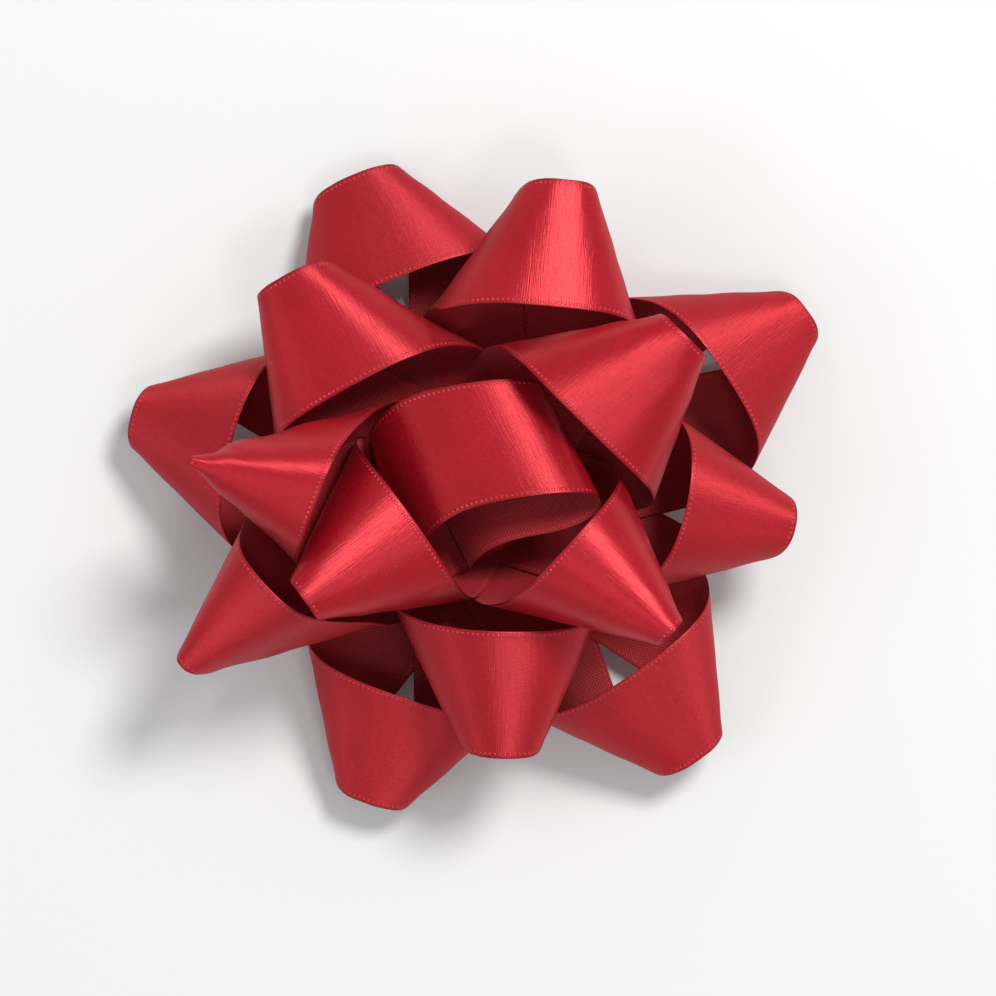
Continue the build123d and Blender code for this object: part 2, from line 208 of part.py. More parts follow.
        ((35.838, -35.692, 5.367), (38.126, -31.837, 6.725), (39.818, -27.137, 10.388), (39.451, -22.835, 14.944), (38.312, -19.657, 18.232)),
        ((33.430, -34.146, 5.174), (35.856, -30.224, 6.089), (38.499, -25.245, 8.741), (39.310, -20.753, 12.996), (38.933, -17.541, 16.430)),
        ((30.571, -32.330, 5.052), (33.054, -28.374, 5.667), (36.120, -23.228, 7.478), (38.246, -18.419, 10.831), (38.670, -15.091, 14.125)),
        ((27.186, -30.188, 4.998), (29.693, -26.214, 5.387), (32.932, -20.982, 6.611), (35.786, -15.928, 8.954), (37.284, -12.354, 11.607)),
        ((23.049, -27.574, 5.003), (25.565, -23.592, 5.210), (28.879, -18.315, 6.016), (32.035, -13.127, 7.592), (34.148, -9.350, 9.432)),
        ((18.453, -24.671, 5.176), (20.962, -20.679, 5.139), (24.305, -15.381, 5.647), (27.580, -10.129, 6.722), (29.927, -6.249, 7.992)),
        ((13.989, -21.839, 6.486), (16.511, -17.853, 5.479), (19.853, -12.552, 5.448), (23.174, -7.270, 6.216), (25.609, -3.344, 7.142)),
        ((9.454, -18.981, 6.035), (11.976, -14.992, 5.758), (15.326, -9.687, 5.390), (18.668, -4.389, 5.892), (21.145, -0.438, 6.583)),
        ((5.138, -16.254, 5.428), (7.652, -12.270, 5.558), (11.009, -6.957, 5.404), (14.360, -1.652, 5.685), (16.857, 2.314, 6.199)),
        ((0.003, -13.001, 6.030), (2.510, -9.020, 5.864), (5.866, -3.707, 5.754), (9.219, 1.607, 5.717), (11.726, 5.584, 5.868)),
        ((-5.368, -9.596, 6.176), (-2.864, -5.623, 5.896), (0.492, -0.311, 5.747), (3.848, 5.003, 5.820), (6.362, 8.985, 5.975)),
        ((-10.922, -6.072, 6.139), (-8.425, -2.105, 5.951), (-5.072, 3.205, 5.845), (-1.715, 8.519, 5.782), (0.801, 12.503, 5.805)),
    ],
    "middle_loop_1": [
        ((-12.428, 1.218, 6.499), (-8.567, -1.423, 6.413), (-3.377, -4.959, 6.297), (1.818, -8.497, 6.286), (5.713, -11.151, 6.235)),
        ((-9.095, 6.142, 6.334), (-5.223, 3.494, 6.302), (-0.030, -0.044, 6.196), (5.165, -3.582, 6.212), (9.058, -6.235, 6.241)),
        ((-6.369, 9.995, 7.105), (-2.426, 7.586, 6.576), (2.775, 4.079, 6.218), (7.968, 0.535, 6.291), (11.856, -2.117, 6.290)),
        ((-3.655, 13.830, 8.595), (0.292, 11.430, 7.672), (5.535, 8.099, 7.057), (10.747, 4.642, 6.502), (14.616, 1.946, 6.371)),
        ((-0.775, 17.949, 10.023), (3.168, 15.512, 9.126), (8.408, 12.183, 8.166), (13.612, 8.753, 7.543), (17.458, 6.060, 7.462)),
        ((2.374, 22.442, 11.617), (6.312, 19.976, 10.805), (11.542, 16.617, 9.928), (16.706, 13.122, 9.466), (20.487, 10.376, 9.499)),
        ((5.660, 27.118, 13.326), (9.592, 24.629, 12.578), (14.797, 21.210, 11.884), (19.871, 17.589, 11.805), (23.499, 14.708, 12.248)),
        ((8.671, 31.394, 14.928), (12.595, 28.880, 14.256), (17.742, 25.359, 13.873), (22.625, 21.554, 14.349), (25.927, 18.468, 15.360)),
        ((11.283, 35.099, 16.335), (15.187, 32.537, 15.807), (20.212, 28.864, 15.887), (24.697, 24.797, 17.102), (27.362, 21.422, 18.767)),
        ((13.514, 38.259, 17.577), (17.374, 35.617, 17.293), (22.146, 31.731, 18.005), (25.846, 27.293, 20.083), (27.633, 23.602, 22.196)),
        ((15.507, 41.072, 18.767), (19.264, 38.302, 18.872), (23.468, 34.091, 20.439), (25.976, 29.213, 23.196), (27.148, 25.326, 25.414)),
        ((17.218, 43.481, 19.950), (20.735, 40.519, 20.616), (23.872, 35.864, 23.058), (25.484, 30.697, 26.010), (26.288, 26.694, 28.205)),
        ((18.576, 45.416, 21.149), (21.565, 42.177, 22.509), (23.574, 37.135, 25.394), (24.643, 31.795, 28.312), (24.859, 27.592, 30.309)),
        ((19.589, 46.986, 22.491), (21.674, 43.394, 24.468), (22.984, 38.132, 27.412), (23.267, 32.524, 30.059), (23.091, 28.164, 31.744)),
        ((20.072, 48.242, 24.140), (21.307, 44.373, 26.347), (21.797, 38.837, 29.071), (21.527, 33.005, 31.264), (21.192, 28.562, 32.713)),
        ((19.869, 49.271, 26.008), (20.338, 45.154, 28.092), (20.053, 39.314, 30.261), (19.568, 33.364, 32.109), (19.174, 28.878, 33.416)),
        ((18.604, 50.102, 27.885), (18.278, 45.662, 29.342), (17.752, 39.680, 31.076), (17.208, 33.678, 32.742), (16.796, 29.172, 33.974)),
        ((15.313, 50.572, 28.852), (14.897, 46.059, 30.059), (14.342, 40.042, 31.667), (13.788, 34.025, 33.275), (13.372, 29.512, 34.481)),
        ((11.677, 50.788, 28.883), (11.247, 46.334, 30.282), (10.693, 40.342, 31.980), (10.140, 34.334, 33.622), (9.724, 29.825, 34.840)),
        ((9.336, 50.454, 27.670), (8.591, 46.313, 29.744), (7.959, 40.461, 31.848), (7.394, 34.507, 33.668), (6.978, 30.018, 34.960)),
        ((7.854, 49.594, 25.830), (6.498, 45.909, 28.424), (5.507, 40.389, 31.197), (4.853, 34.564, 33.374), (4.417, 30.125, 34.820)),
        ((6.783, 48.352, 23.790), (4.891, 45.056, 26.519), (3.258, 40.014, 29.887), (2.319, 34.454, 32.604), (1.802, 30.120, 34.317)),
        ((6.482, 46.342, 21.751), (3.475, 43.892, 24.324), (1.334, 39.215, 27.925), (-0.138, 34.062, 31.196), (-0.860, 29.938, 33.288)),
        ((6.686, 43.510, 20.025), (2.560, 42.070, 21.777), (-0.439, 38.010, 25.464), (-2.389, 33.253, 29.024), (-3.436, 29.531, 31.513)),
        ((7.050, 39.995, 18.445), (2.451, 39.161, 19.264), (-2.084, 36.319, 22.493), (-4.406, 32.109, 26.144), (-5.516, 29.195, 28.808)),
        ((7.464, 36.032, 16.925), (2.769, 35.459, 17.166), (-2.926, 33.753, 19.263), (-6.143, 30.969, 22.631), (-6.917, 29.419, 24.898)),
        ((7.854, 32.243, 15.566), (3.152, 31.781, 15.517), (-2.953, 30.653, 16.677), (-7.245, 29.387, 18.886), (-8.841, 28.071, 20.705)),
        ((8.229, 28.569, 14.273), (3.532, 28.158, 14.080), (-2.696, 27.308, 14.642), (-7.923, 26.703, 15.616), (-10.648, 25.604, 16.848)),
        ((8.635, 24.580, 12.878), (3.944, 24.195, 12.613), (-2.322, 23.500, 12.772), (-8.220, 22.847, 13.220), (-11.931, 22.035, 13.905)),
        ((9.144, 19.569, 11.142), (4.456, 19.198, 10.832), (-1.811, 18.607, 10.699), (-8.024, 17.810, 11.140), (-12.439, 17.002, 11.764)),
        ((9.694, 14.112, 9.274), (5.012, 13.756, 8.920), (-1.248, 13.223, 8.628), (-7.515, 12.524, 8.779), (-12.142, 11.791, 9.361)),
        ((10.115, 9.919, 7.922), (5.436, 9.574, 7.705), (-0.816, 9.087, 7.407), (-7.062, 8.562, 7.037), (-11.659, 8.273, 7.487)),
        ((10.498, 5.986, 7.130), (5.825, 5.670, 6.830), (-0.427, 5.202, 6.574), (-6.683, 4.699, 6.676), (-11.343, 4.303, 6.854)),
        ((10.934, 1.180, 6.615), (6.241, 0.796, 6.595), (-0.023, 0.285, 6.521), (-6.287, -0.226, 6.664), (-10.969, -0.614, 6.742)),
        ((11.442, -5.085, 6.570), (6.751, -5.470, 6.568), (0.487, -5.980, 6.613), (-5.778, -6.491, 6.561), (-10.471, -6.875, 6.585)),
    ],
    "middle_loop_2": [
        ((8.966, -8.385, 8.304), (7.629, -4.112, 7.267), (5.709, 1.847, 7.021), (3.776, 7.826, 8.069), (2.331, 12.304, 8.788)),
        ((3.447, -10.245, 7.984), (2.092, -5.917, 7.201), (0.167, 0.054, 6.961), (-1.766, 6.034, 7.614), (-3.206, 10.504, 8.497)),
        ((-0.674, -11.555, 7.970), (-2.357, -7.369, 7.181), (-4.298, -1.390, 7.013), (-6.227, 4.588, 7.237), (-7.657, 9.046, 8.041)),
        ((-4.125, -12.623, 9.178), (-5.922, -8.471, 8.089), (-8.011, -2.582, 7.680), (-9.935, 3.394, 7.404), (-11.318, 7.859, 7.823)),
        ((-8.594, -14.039, 10.766), (-10.346, -9.814, 9.595), (-12.429, -3.919, 8.909), (-14.299, 2.071, 8.772), (-15.475, 6.610, 9.161)),
        ((-13.885, -15.673, 12.758), (-15.595, -11.398, 11.729), (-17.631, -5.480, 11.126), (-19.401, 0.537, 11.174), (-20.395, 5.075, 11.854)),
        ((-19.598, -17.438, 14.894), (-21.256, -13.107, 14.043), (-23.207, -7.150, 13.660), (-24.762, -1.105, 14.142), (-25.571, 3.380, 15.005)),
        ((-24.685, -19.004, 16.830), (-26.286, -14.620, 16.160), (-28.124, -8.624, 16.052), (-29.275, -2.599, 17.219), (-29.671, 1.755, 18.548)),
        ((-29.633, -20.514, 18.760), (-31.162, -16.083, 18.294), (-32.744, -10.048, 18.719), (-33.244, -4.164, 20.758), (-32.882, -0.048, 22.894)),
        ((-34.162, -21.884, 20.615), (-35.615, -17.417, 20.348), (-36.684, -11.410, 21.631), (-36.307, -5.847, 24.474), (-35.238, -2.048, 27.019)),
        ((-38.241, -23.114, 22.315), (-39.499, -18.604, 22.476), (-39.740, -12.807, 24.768), (-38.361, -7.714, 28.145), (-36.761, -4.194, 30.793)),
        ((-41.959, -24.231, 23.947), (-42.758, -19.733, 24.896), (-41.803, -14.427, 28.081), (-39.619, -9.758, 31.615), (-37.768, -6.367, 34.271)),
        ((-44.910, -25.125, 25.482), (-44.865, -20.853, 27.404), (-42.872, -16.078, 30.921), (-40.327, -11.595, 34.455), (-38.147, -8.362, 37.063)),
        ((-46.871, -25.803, 26.965), (-45.877, -21.949, 29.482), (-43.395, -17.434, 33.017), (-40.358, -13.178, 36.449), (-37.782, -10.100, 38.888)),
        ((-48.024, -26.459, 28.458), (-46.368, -22.959, 31.113), (-43.394, -18.673, 34.553), (-39.847, -14.600, 37.723), (-37.034, -11.580, 39.971)),
        ((-48.625, -27.271, 29.917), (-46.456, -24.026, 32.506), (-42.848, -19.964, 35.617), (-39.014, -15.944, 38.518), (-36.099, -12.928, 40.642)),
        ((-48.620, -28.383, 31.262), (-45.766, -25.358, 33.446), (-41.859, -21.333, 36.243), (-37.934, -17.305, 39.012), (-34.987, -14.283, 41.083)),
        ((-47.538, -29.704, 31.682), (-44.600, -26.692, 33.779), (-40.668, -22.662, 36.537), (-36.736, -18.632, 39.292), (-33.786, -15.609, 41.358)),
        ((-46.039, -30.476, 30.902), (-43.145, -27.922, 33.581), (-39.290, -24.028, 36.624), (-35.389, -20.028, 39.467), (-32.449, -17.013, 41.558)),
        ((-44.582, -30.531, 29.538), (-41.574, -28.524, 32.522), (-37.714, -25.141, 36.119), (-33.878, -21.339, 39.299), (-30.980, -18.388, 41.534)),
        ((-42.912, -30.225, 27.865), (-39.798, -28.688, 30.886), (-35.812, -25.886, 34.844), (-31.952, -22.533, 38.477), (-29.082, -19.784, 40.991)),
        ((-40.913, -28.914, 25.681), (-37.476, -28.599, 28.624), (-33.395, -26.194, 32.677), (-29.409, -23.390, 36.639), (-26.489, -21.016, 39.466)),
        ((-38.382, -26.200, 23.562), (-34.654, -27.769, 25.583), (-30.338, -26.213, 29.717), (-26.271, -23.725, 33.776), (-23.257, -21.712, 36.787)),
        ((-35.368, -22.833, 21.624), (-31.709, -25.607, 22.332), (-26.966, -25.735, 26.229), (-22.760, -23.764, 30.369), (-19.721, -21.919, 33.418)),
        ((-32.149, -19.245, 19.678), (-28.658, -22.397, 19.620), (-23.640, -24.425, 22.501), (-19.235, -23.458, 26.675), (-16.349, -22.052, 29.760)),
        ((-28.771, -15.488, 17.681), (-25.377, -18.735, 17.306), (-20.398, -22.083, 18.852), (-16.122, -22.745, 22.531), (-14.274, -22.473, 25.283)),
        ((-25.617, -11.985, 15.837), (-22.265, -15.259, 15.343), (-17.461, -19.199, 15.917), (-13.596, -21.558, 18.217), (-11.730, -22.054, 20.360)),
        ((-22.699, -8.746, 14.131), (-19.372, -12.033, 13.568), (-14.700, -16.205, 13.596), (-10.702, -19.545, 14.565), (-8.113, -20.532, 16.135)),
        ((-19.557, -5.258, 12.285), (-16.246, -8.556, 11.654), (-11.649, -12.818, 11.397), (-7.166, -16.585, 11.855), (-4.016, -18.212, 12.959)),
        ((-16.043, -1.368, 10.280), (-12.758, -4.681, 9.571), (-8.224, -8.999, 9.138), (-3.471, -12.962, 9.553), (0.102, -15.183, 10.577)),
        ((-13.169, 1.824, 8.796), (-9.901, -1.494, 8.354), (-5.403, -5.841, 7.885), (-0.798, -10.009, 7.947), (2.354, -12.923, 9.274)),
        ((-10.570, 4.709, 7.883), (-7.250, 1.436, 7.462), (-2.681, -2.868, 7.343), (1.892, -7.124, 7.711), (5.212, -10.131, 8.663)),
        ((-7.908, 7.609, 8.080), (-4.479, 4.409, 7.564), (0.111, 0.119, 7.308), (4.696, -4.159, 7.525), (8.071, -7.249, 8.224)),
        ((-3.917, 11.867, 8.924), (-0.492, 8.672, 8.623), (4.098, 4.382, 7.789), (8.688, 0.094, 7.309), (12.103, -3.076, 7.559)),
    ],
    "middle_loop_3": [
        ((-0.191, 12.408, 9.632), (-2.374, 8.335, 8.966), (-5.305, 2.802, 8.035), (-8.241, -2.752, 8.887), (-10.441, -6.882, 9.702)),
        ((4.303, 10.072, 9.122), (2.115, 5.979, 8.642), (-0.818, 0.432, 7.847), (-3.753, -5.113, 8.507), (-5.950, -9.204, 9.604)),
        ((8.211, 7.982, 8.417), (6.155, 3.851, 8.204), (3.225, -1.703, 7.780), (0.291, -7.230, 8.258), (-1.901, -11.251, 9.457)),
        ((12.028, 5.982, 8.638), (9.947, 1.835, 8.213), (7.043, -3.727, 8.175), (4.052, -9.198, 8.755), (1.943, -13.140, 10.096)),
        ((16.521, 3.616, 9.244), (14.411, -0.545, 8.602), (11.461, -6.099, 8.780), (8.335, -11.458, 9.832), (5.889, -15.179, 11.135)),
        ((20.621, 1.449, 9.845), (18.493, -2.725, 9.285), (15.473, -8.235, 9.598), (12.312, -13.464, 11.018), (9.878, -16.936, 12.810)),
        ((24.948, -0.849, 10.526), (22.777, -5.025, 10.202), (19.692, -10.461, 10.934), (16.507, -15.339, 13.043), (14.110, -18.413, 15.178)),
        ((28.923, -2.968, 11.200), (26.700, -7.122, 11.192), (23.497, -12.326, 12.623), (20.240, -16.673, 15.429), (17.838, -19.155, 17.967)),
        ((32.646, -4.959, 11.931), (30.367, -9.071, 12.249), (27.019, -13.879, 14.517), (23.484, -17.318, 18.214), (21.016, -19.111, 21.062)),
        ((36.288, -6.910, 12.724), (33.914, -10.872, 13.623), (30.370, -14.967, 16.835), (26.477, -17.255, 21.189), (23.594, -18.217, 24.424)),
        ((39.721, -8.736, 13.675), (37.212, -12.348, 15.359), (33.410, -15.322, 19.439), (29.224, -16.520, 24.013), (25.988, -16.887, 27.364)),
        ((42.741, -10.271, 14.837), (40.045, -13.196, 17.401), (35.964, -14.908, 21.932), (31.586, -15.376, 26.441), (28.188, -15.331, 29.701)),
        ((45.339, -11.377, 16.308), (42.410, -13.278, 19.547), (38.094, -13.993, 24.104), (33.540, -13.891, 28.436), (29.995, -13.474, 31.515)),
        ((47.536, -11.833, 18.081), (44.372, -12.687, 21.531), (39.857, -12.709, 25.904), (35.097, -12.085, 29.957), (31.422, -11.414, 32.830)),
        ((49.374, -11.535, 19.899), (46.023, -11.664, 23.220), (41.266, -11.053, 27.275), (36.317, -10.085, 31.023), (32.537, -9.268, 33.715)),
        ((50.926, -10.630, 21.488), (47.343, -10.142, 24.506), (42.355, -9.122, 28.186), (37.260, -7.977, 31.680), (33.406, -7.090, 34.241)),
        ((52.168, -8.965, 22.647), (48.356, -8.118, 25.283), (43.200, -6.925, 28.668), (38.011, -5.712, 31.997), (34.110, -4.799, 34.476)),
        ((52.984, -6.548, 23.000), (49.067, -5.630, 25.454), (43.844, -4.405, 28.723), (38.620, -3.180, 31.991), (34.701, -2.261, 34.441)),
        ((53.276, -4.099, 22.528), (49.436, -3.160, 25.091), (44.256, -1.929, 28.427), (39.054, -0.703, 31.730), (35.146, 0.216, 34.197)),
        ((52.880, -2.291, 21.331), (49.372, -1.107, 24.233), (44.380, 0.214, 27.808), (39.267, 1.468, 31.236), (35.400, 2.396, 33.763)),
        ((51.843, -1.230, 19.769), (48.827, 0.516, 22.919), (44.204, 2.143, 26.837), (39.271, 3.502, 30.480), (35.485, 4.465, 33.113)),
        ((50.321, -0.702, 18.178), (47.744, 1.661, 21.261), (43.627, 3.864, 25.439), (39.003, 5.488, 29.362), (35.360, 6.547, 32.153)),
        ((48.270, -0.689, 16.736), (46.184, 2.436, 19.424), (42.533, 5.274, 23.629), (38.336, 7.373, 27.789), (34.920, 8.640, 30.771)),
        ((45.678, -1.063, 15.492), (44.004, 2.727, 17.555), (40.886, 6.369, 21.485), (37.106, 9.022, 25.718), (33.995, 10.640, 28.854)),
        ((42.549, -1.693, 14.410), (41.154, 2.531, 15.808), (38.598, 7.071, 19.135), (35.260, 10.374, 23.233), (32.437, 12.378, 26.414)),
        ((38.947, -2.490, 13.472), (37.726, 1.964, 14.287), (35.604, 7.205, 16.835), (32.792, 11.335, 20.519), (30.272, 13.785, 23.614)),
        ((34.910, -3.401, 12.645), (33.801, 1.155, 12.977), (31.973, 6.840, 14.758), (29.616, 11.710, 17.807), (27.462, 14.737, 20.636)),
        ((30.399, -4.419, 11.886), (29.368, 0.174, 11.820), (27.737, 6.112, 12.923), (25.718, 11.522, 15.255), (23.893, 15.085, 17.657)),
        ((25.459, -5.524, 11.141), (24.480, -0.929, 10.788), (22.983, 5.134, 11.319), (21.200, 10.888, 12.977), (19.627, 14.858, 14.885)),
        ((20.181, -6.682, 10.505), (19.250, -2.109, 9.866), (17.850, 4.006, 9.921), (16.227, 9.959, 11.001), (14.832, 14.198, 12.435)),
        ((15.335, -7.736, 9.945), (14.436, -3.188, 9.141), (13.095, 2.937, 8.851), (11.571, 8.987, 9.501), (10.284, 13.378, 10.589)),
        ((11.484, -8.570, 9.729), (10.613, -4.049, 8.908), (9.296, 2.080, 8.572), (7.832, 8.172, 8.783), (6.804, 12.614, 9.553)),
        ((6.628, -9.612, 9.630), (5.783, -5.121, 8.566), (4.515, 0.993, 8.299), (3.159, 7.108, 9.124), (2.127, 11.621, 9.863)),
        ((1.463, -10.785, 9.594), (0.440, -6.318, 8.486), (-0.914, -0.202, 8.157), (-2.268, 5.929, 8.958), (-3.290, 10.488, 9.552)),
        ((-3.477, -11.818, 10.103), (-4.503, -7.387, 9.378), (-5.860, -1.290, 8.724), (-7.212, 4.846, 8.393), (-8.230, 9.429, 8.821)),
    ],
    "middle_loop_4": [
        ((-8.691, -8.989, 10.263), (-4.208, -7.597, 9.859), (1.788, -5.728, 9.076), (7.786, -3.856, 9.107), (12.274, -2.462, 9.366)),
        ((-10.249, -4.026, 9.921), (-5.767, -2.641, 9.393), (0.237, -0.759, 8.872), (6.232, 1.110, 9.066), (10.700, 2.485, 9.415)),
        ((-11.547, 0.171, 9.516), (-7.095, 1.611, 9.055), (-1.082, 3.478, 9.160), (4.904, 5.329, 9.524), (9.338, 6.671, 9.691)),
        ((-12.688, 4.017, 9.723), (-8.259, 5.485, 9.701), (-2.296, 7.399, 9.806), (3.663, 9.247, 10.094), (8.026, 10.552, 10.431)),
        ((-13.966, 8.388, 10.777), (-9.515, 9.837, 10.443), (-3.502, 11.689, 10.923), (2.595, 13.245, 11.452), (7.087, 14.116, 11.793)),
        ((-14.994, 11.937, 12.014), (-10.531, 13.367, 11.625), (-4.479, 15.138, 11.574), (1.663, 16.489, 12.535), (6.151, 16.908, 14.036)),
        ((-16.059, 15.615, 13.285), (-11.578, 16.972, 13.289), (-5.485, 18.629, 13.293), (0.621, 19.624, 14.785), (4.944, 19.514, 16.920)),
        ((-17.244, 19.727, 14.789), (-12.752, 20.953, 15.015), (-6.658, 22.314, 15.727), (-0.703, 22.732, 17.852), (3.194, 21.716, 20.494)),
        ((-18.358, 23.614, 16.195), (-13.848, 24.700, 16.583), (-7.892, 25.384, 18.305), (-2.343, 24.825, 21.214), (1.028, 22.875, 23.977)),
        ((-19.406, 27.321, 17.599), (-14.854, 28.267, 18.314), (-9.239, 27.894, 21.137), (-4.455, 25.866, 24.541), (-1.450, 23.324, 27.161)),
        ((-20.301, 30.504, 19.002), (-15.763, 31.117, 20.313), (-10.735, 29.465, 23.864), (-6.640, 26.235, 27.300), (-3.903, 23.268, 29.695)),
        ((-21.069, 33.141, 20.469), (-16.756, 33.030, 22.559), (-12.420, 30.142, 26.250), (-8.766, 26.189, 29.458), (-6.290, 22.794, 31.520)),
        ((-21.818, 35.297, 22.189), (-18.064, 34.012, 24.877), (-14.248, 30.289, 28.313), (-10.963, 25.734, 31.073), (-8.651, 22.047, 32.806)),
        ((-22.787, 36.741, 24.281), (-19.689, 34.318, 27.000), (-16.297, 29.932, 29.935), (-13.238, 24.973, 32.205), (-11.005, 21.118, 33.663)),
        ((-24.231, 37.278, 26.440), (-21.604, 34.119, 28.754), (-18.530, 29.185, 31.055), (-15.571, 24.001, 32.912), (-13.367, 20.057, 34.165)),
        ((-26.156, 37.118, 28.261), (-23.873, 33.373, 29.920), (-20.925, 28.151, 31.685), (-17.991, 22.857, 33.248), (-15.790, 18.869, 34.358)),
        ((-28.789, 36.100, 29.246), (-26.588, 32.122, 30.391), (-23.649, 26.792, 31.820), (-20.707, 21.452, 33.208), (-18.499, 17.445, 34.237)),
        ((-32.003, 34.407, 29.078), (-29.793, 30.398, 30.097), (-26.847, 25.053, 31.455), (-23.900, 19.708, 32.812), (-21.690, 15.699, 33.829)),
        ((-34.519, 32.863, 28.140), (-32.386, 28.868, 29.344), (-29.475, 23.535, 30.810), (-26.544, 18.196, 32.223), (-24.341, 14.191, 33.267)),
        ((-35.686, 31.684, 26.477), (-34.104, 27.659, 28.194), (-31.372, 22.336, 29.972), (-28.501, 17.008, 31.530), (-26.321, 13.009, 32.639)),
        ((-35.545, 30.763, 24.619), (-35.004, 26.625, 26.595), (-32.843, 21.265, 28.874), (-30.129, 15.943, 30.684), (-28.001, 11.949, 31.902)),
        ((-34.508, 29.932, 23.104), (-35.002, 25.703, 24.747), (-33.849, 20.234, 27.361), (-31.547, 14.888, 29.559), (-29.541, 10.896, 30.955)),
        ((-32.975, 29.063, 21.900), (-34.288, 24.804, 22.942), (-34.195, 19.222, 25.458), (-32.685, 13.795, 28.018), (-30.959, 9.786, 29.676)),
        ((-31.070, 28.074, 20.825), (-32.831, 23.839, 21.322), (-33.890, 18.172, 23.296), (-33.275, 12.641, 25.941), (-32.111, 8.575, 27.865)),
        ((-28.752, 26.899, 19.747), (-30.755, 22.705, 19.831), (-32.689, 17.023, 21.052), (-33.160, 11.387, 23.392), (-32.637, 7.245, 25.400)),
        ((-25.985, 25.504, 18.614), (-28.125, 21.353, 18.399), (-30.553, 15.710, 18.959), (-32.081, 10.018, 20.620), (-32.331, 5.796, 22.482)),
        ((-22.789, 23.888, 17.424), (-25.013, 19.780, 16.977), (-27.715, 14.192, 17.039), (-29.871, 8.516, 18.036), (-30.833, 4.251, 19.609)),
        ((-19.314, 22.116, 16.234), (-21.592, 18.054, 15.590), (-24.450, 12.521, 15.292), (-26.932, 6.890, 16.053), (-28.265, 2.632, 17.593)),
        ((-14.982, 19.856, 14.994), (-17.312, 15.879, 14.032), (-20.282, 10.416, 13.411), (-23.011, 4.841, 14.713), (-24.752, 0.608, 15.505)),
        ((-10.572, 17.577, 13.857), (-12.926, 13.635, 12.586), (-15.971, 8.244, 11.649), (-18.855, 2.720, 12.249), (-20.870, -1.480, 12.877)),
        ((-6.921, 15.729, 12.429), (-9.298, 11.806, 11.319), (-12.362, 6.418, 10.383), (-15.309, 0.915, 10.973), (-17.394, -3.298, 11.687)),
        ((-3.349, 13.876, 11.768), (-5.749, 10.002, 10.978), (-8.831, 4.621, 9.898), (-11.804, -0.878, 9.968), (-14.023, -4.974, 10.740)),
        ((1.287, 11.461, 11.350), (-1.145, 7.657, 10.197), (-4.169, 2.216, 9.526), (-7.123, -3.326, 9.999), (-9.320, -7.476, 10.605)),
        ((5.745, 9.293, 10.497), (3.581, 5.201, 9.841), (0.637, -0.338, 9.329), (-2.314, -5.886, 9.913), (-4.520, -10.044, 10.385)),
        ((10.362, 6.790, 10.063), (8.231, 2.714, 9.587), (5.297, -2.818, 9.316), (2.348, -8.367, 9.766), (0.145, -12.528, 10.252)),
    ],
    "middle_loop_5": [
        ((12.262, 2.044, 10.343), (7.886, 3.596, 10.427), (1.974, 5.666, 10.386), (-3.959, 7.735, 10.950), (-8.375, 9.290, 11.331)),
        ((10.835, -2.137, 10.079), (6.441, -0.584, 9.999), (0.517, 1.485, 10.084), (-5.406, 3.554, 10.696), (-9.783, 5.115, 11.244)),
        ((9.608, -5.555, 9.912), (5.210, -4.133, 9.825), (-0.719, -2.064, 10.040), (-6.622, 0.008, 10.413), (-10.944, 1.577, 10.899)),
        ((8.324, -9.126, 10.396), (3.921, -7.785, 10.421), (-2.007, -5.770, 10.296), (-7.867, -3.687, 10.935), (-12.101, -2.103, 11.399)),
        ((6.770, -13.454, 11.308), (2.356, -12.058, 11.226), (-3.562, -9.993, 11.514), (-9.359, -7.614, 11.855), (-13.412, -6.183, 12.444)),
        ((5.408, -17.212, 12.315), (1.003, -15.758, 11.960), (-4.853, -13.543, 12.520), (-10.573, -10.987, 12.965), (-14.514, -8.739, 14.137)),
        ((4.037, -20.964, 13.367), (-0.358, -19.438, 13.084), (-6.026, -17.009, 14.407), (-11.607, -14.238, 15.055), (-15.392, -11.791, 16.688)),
        ((2.500, -25.123, 14.668), (-1.902, -23.515, 14.552), (-7.244, -20.754, 16.216), (-12.266, -17.571, 18.191), (-15.560, -14.834, 20.187)),
        ((1.120, -28.824, 15.908), (-3.251, -27.083, 16.157), (-8.310, -24.028, 18.241), (-12.303, -20.251, 21.285), (-14.731, -17.112, 23.764)),
        ((-0.111, -32.100, 17.170), (-4.362, -30.170, 17.919), (-8.956, -26.755, 20.624), (-11.843, -22.404, 24.213), (-13.413, -18.864, 26.851)),
        ((-1.168, -34.929, 18.476), (-5.149, -32.734, 19.842), (-8.909, -28.830, 23.154), (-10.864, -24.032, 26.815), (-11.815, -20.198, 29.365)),
        ((-2.053, -37.416, 19.930), (-5.520, -34.854, 21.969), (-8.179, -30.390, 25.611), (-9.416, -25.258, 29.072), (-9.897, -21.193, 31.396)),
        ((-2.680, -39.569, 21.639), (-5.300, -36.529, 24.227), (-6.929, -31.578, 27.804), (-7.561, -26.153, 30.914), (-7.742, -21.925, 32.980)),
        ((-2.837, -41.342, 23.637), (-4.428, -37.797, 26.394), (-5.239, -32.459, 29.613), (-5.446, -26.801, 32.330), (-5.452, -22.463, 34.160)),
        ((-2.225, -42.676, 25.763), (-2.955, -38.731, 28.249), (-3.184, -33.084, 30.982), (-3.149, -27.268, 33.343), (-3.062, -22.856, 34.982)),
        ((-0.784, -43.626, 27.635), (-0.914, -39.367, 29.634), (-0.841, -33.520, 31.915), (-0.691, -27.601, 33.998), (-0.560, -23.140, 35.494)),
        ((1.488, -44.197, 28.874), (1.598, -39.760, 30.441), (1.779, -33.801, 32.401), (1.968, -27.820, 34.297), (2.113, -23.329, 35.698)),
        ((4.433, -44.443, 29.203), (4.578, -39.941, 30.570), (4.772, -33.937, 32.390), (4.965, -27.933, 34.209), (5.110, -23.430, 35.573)),
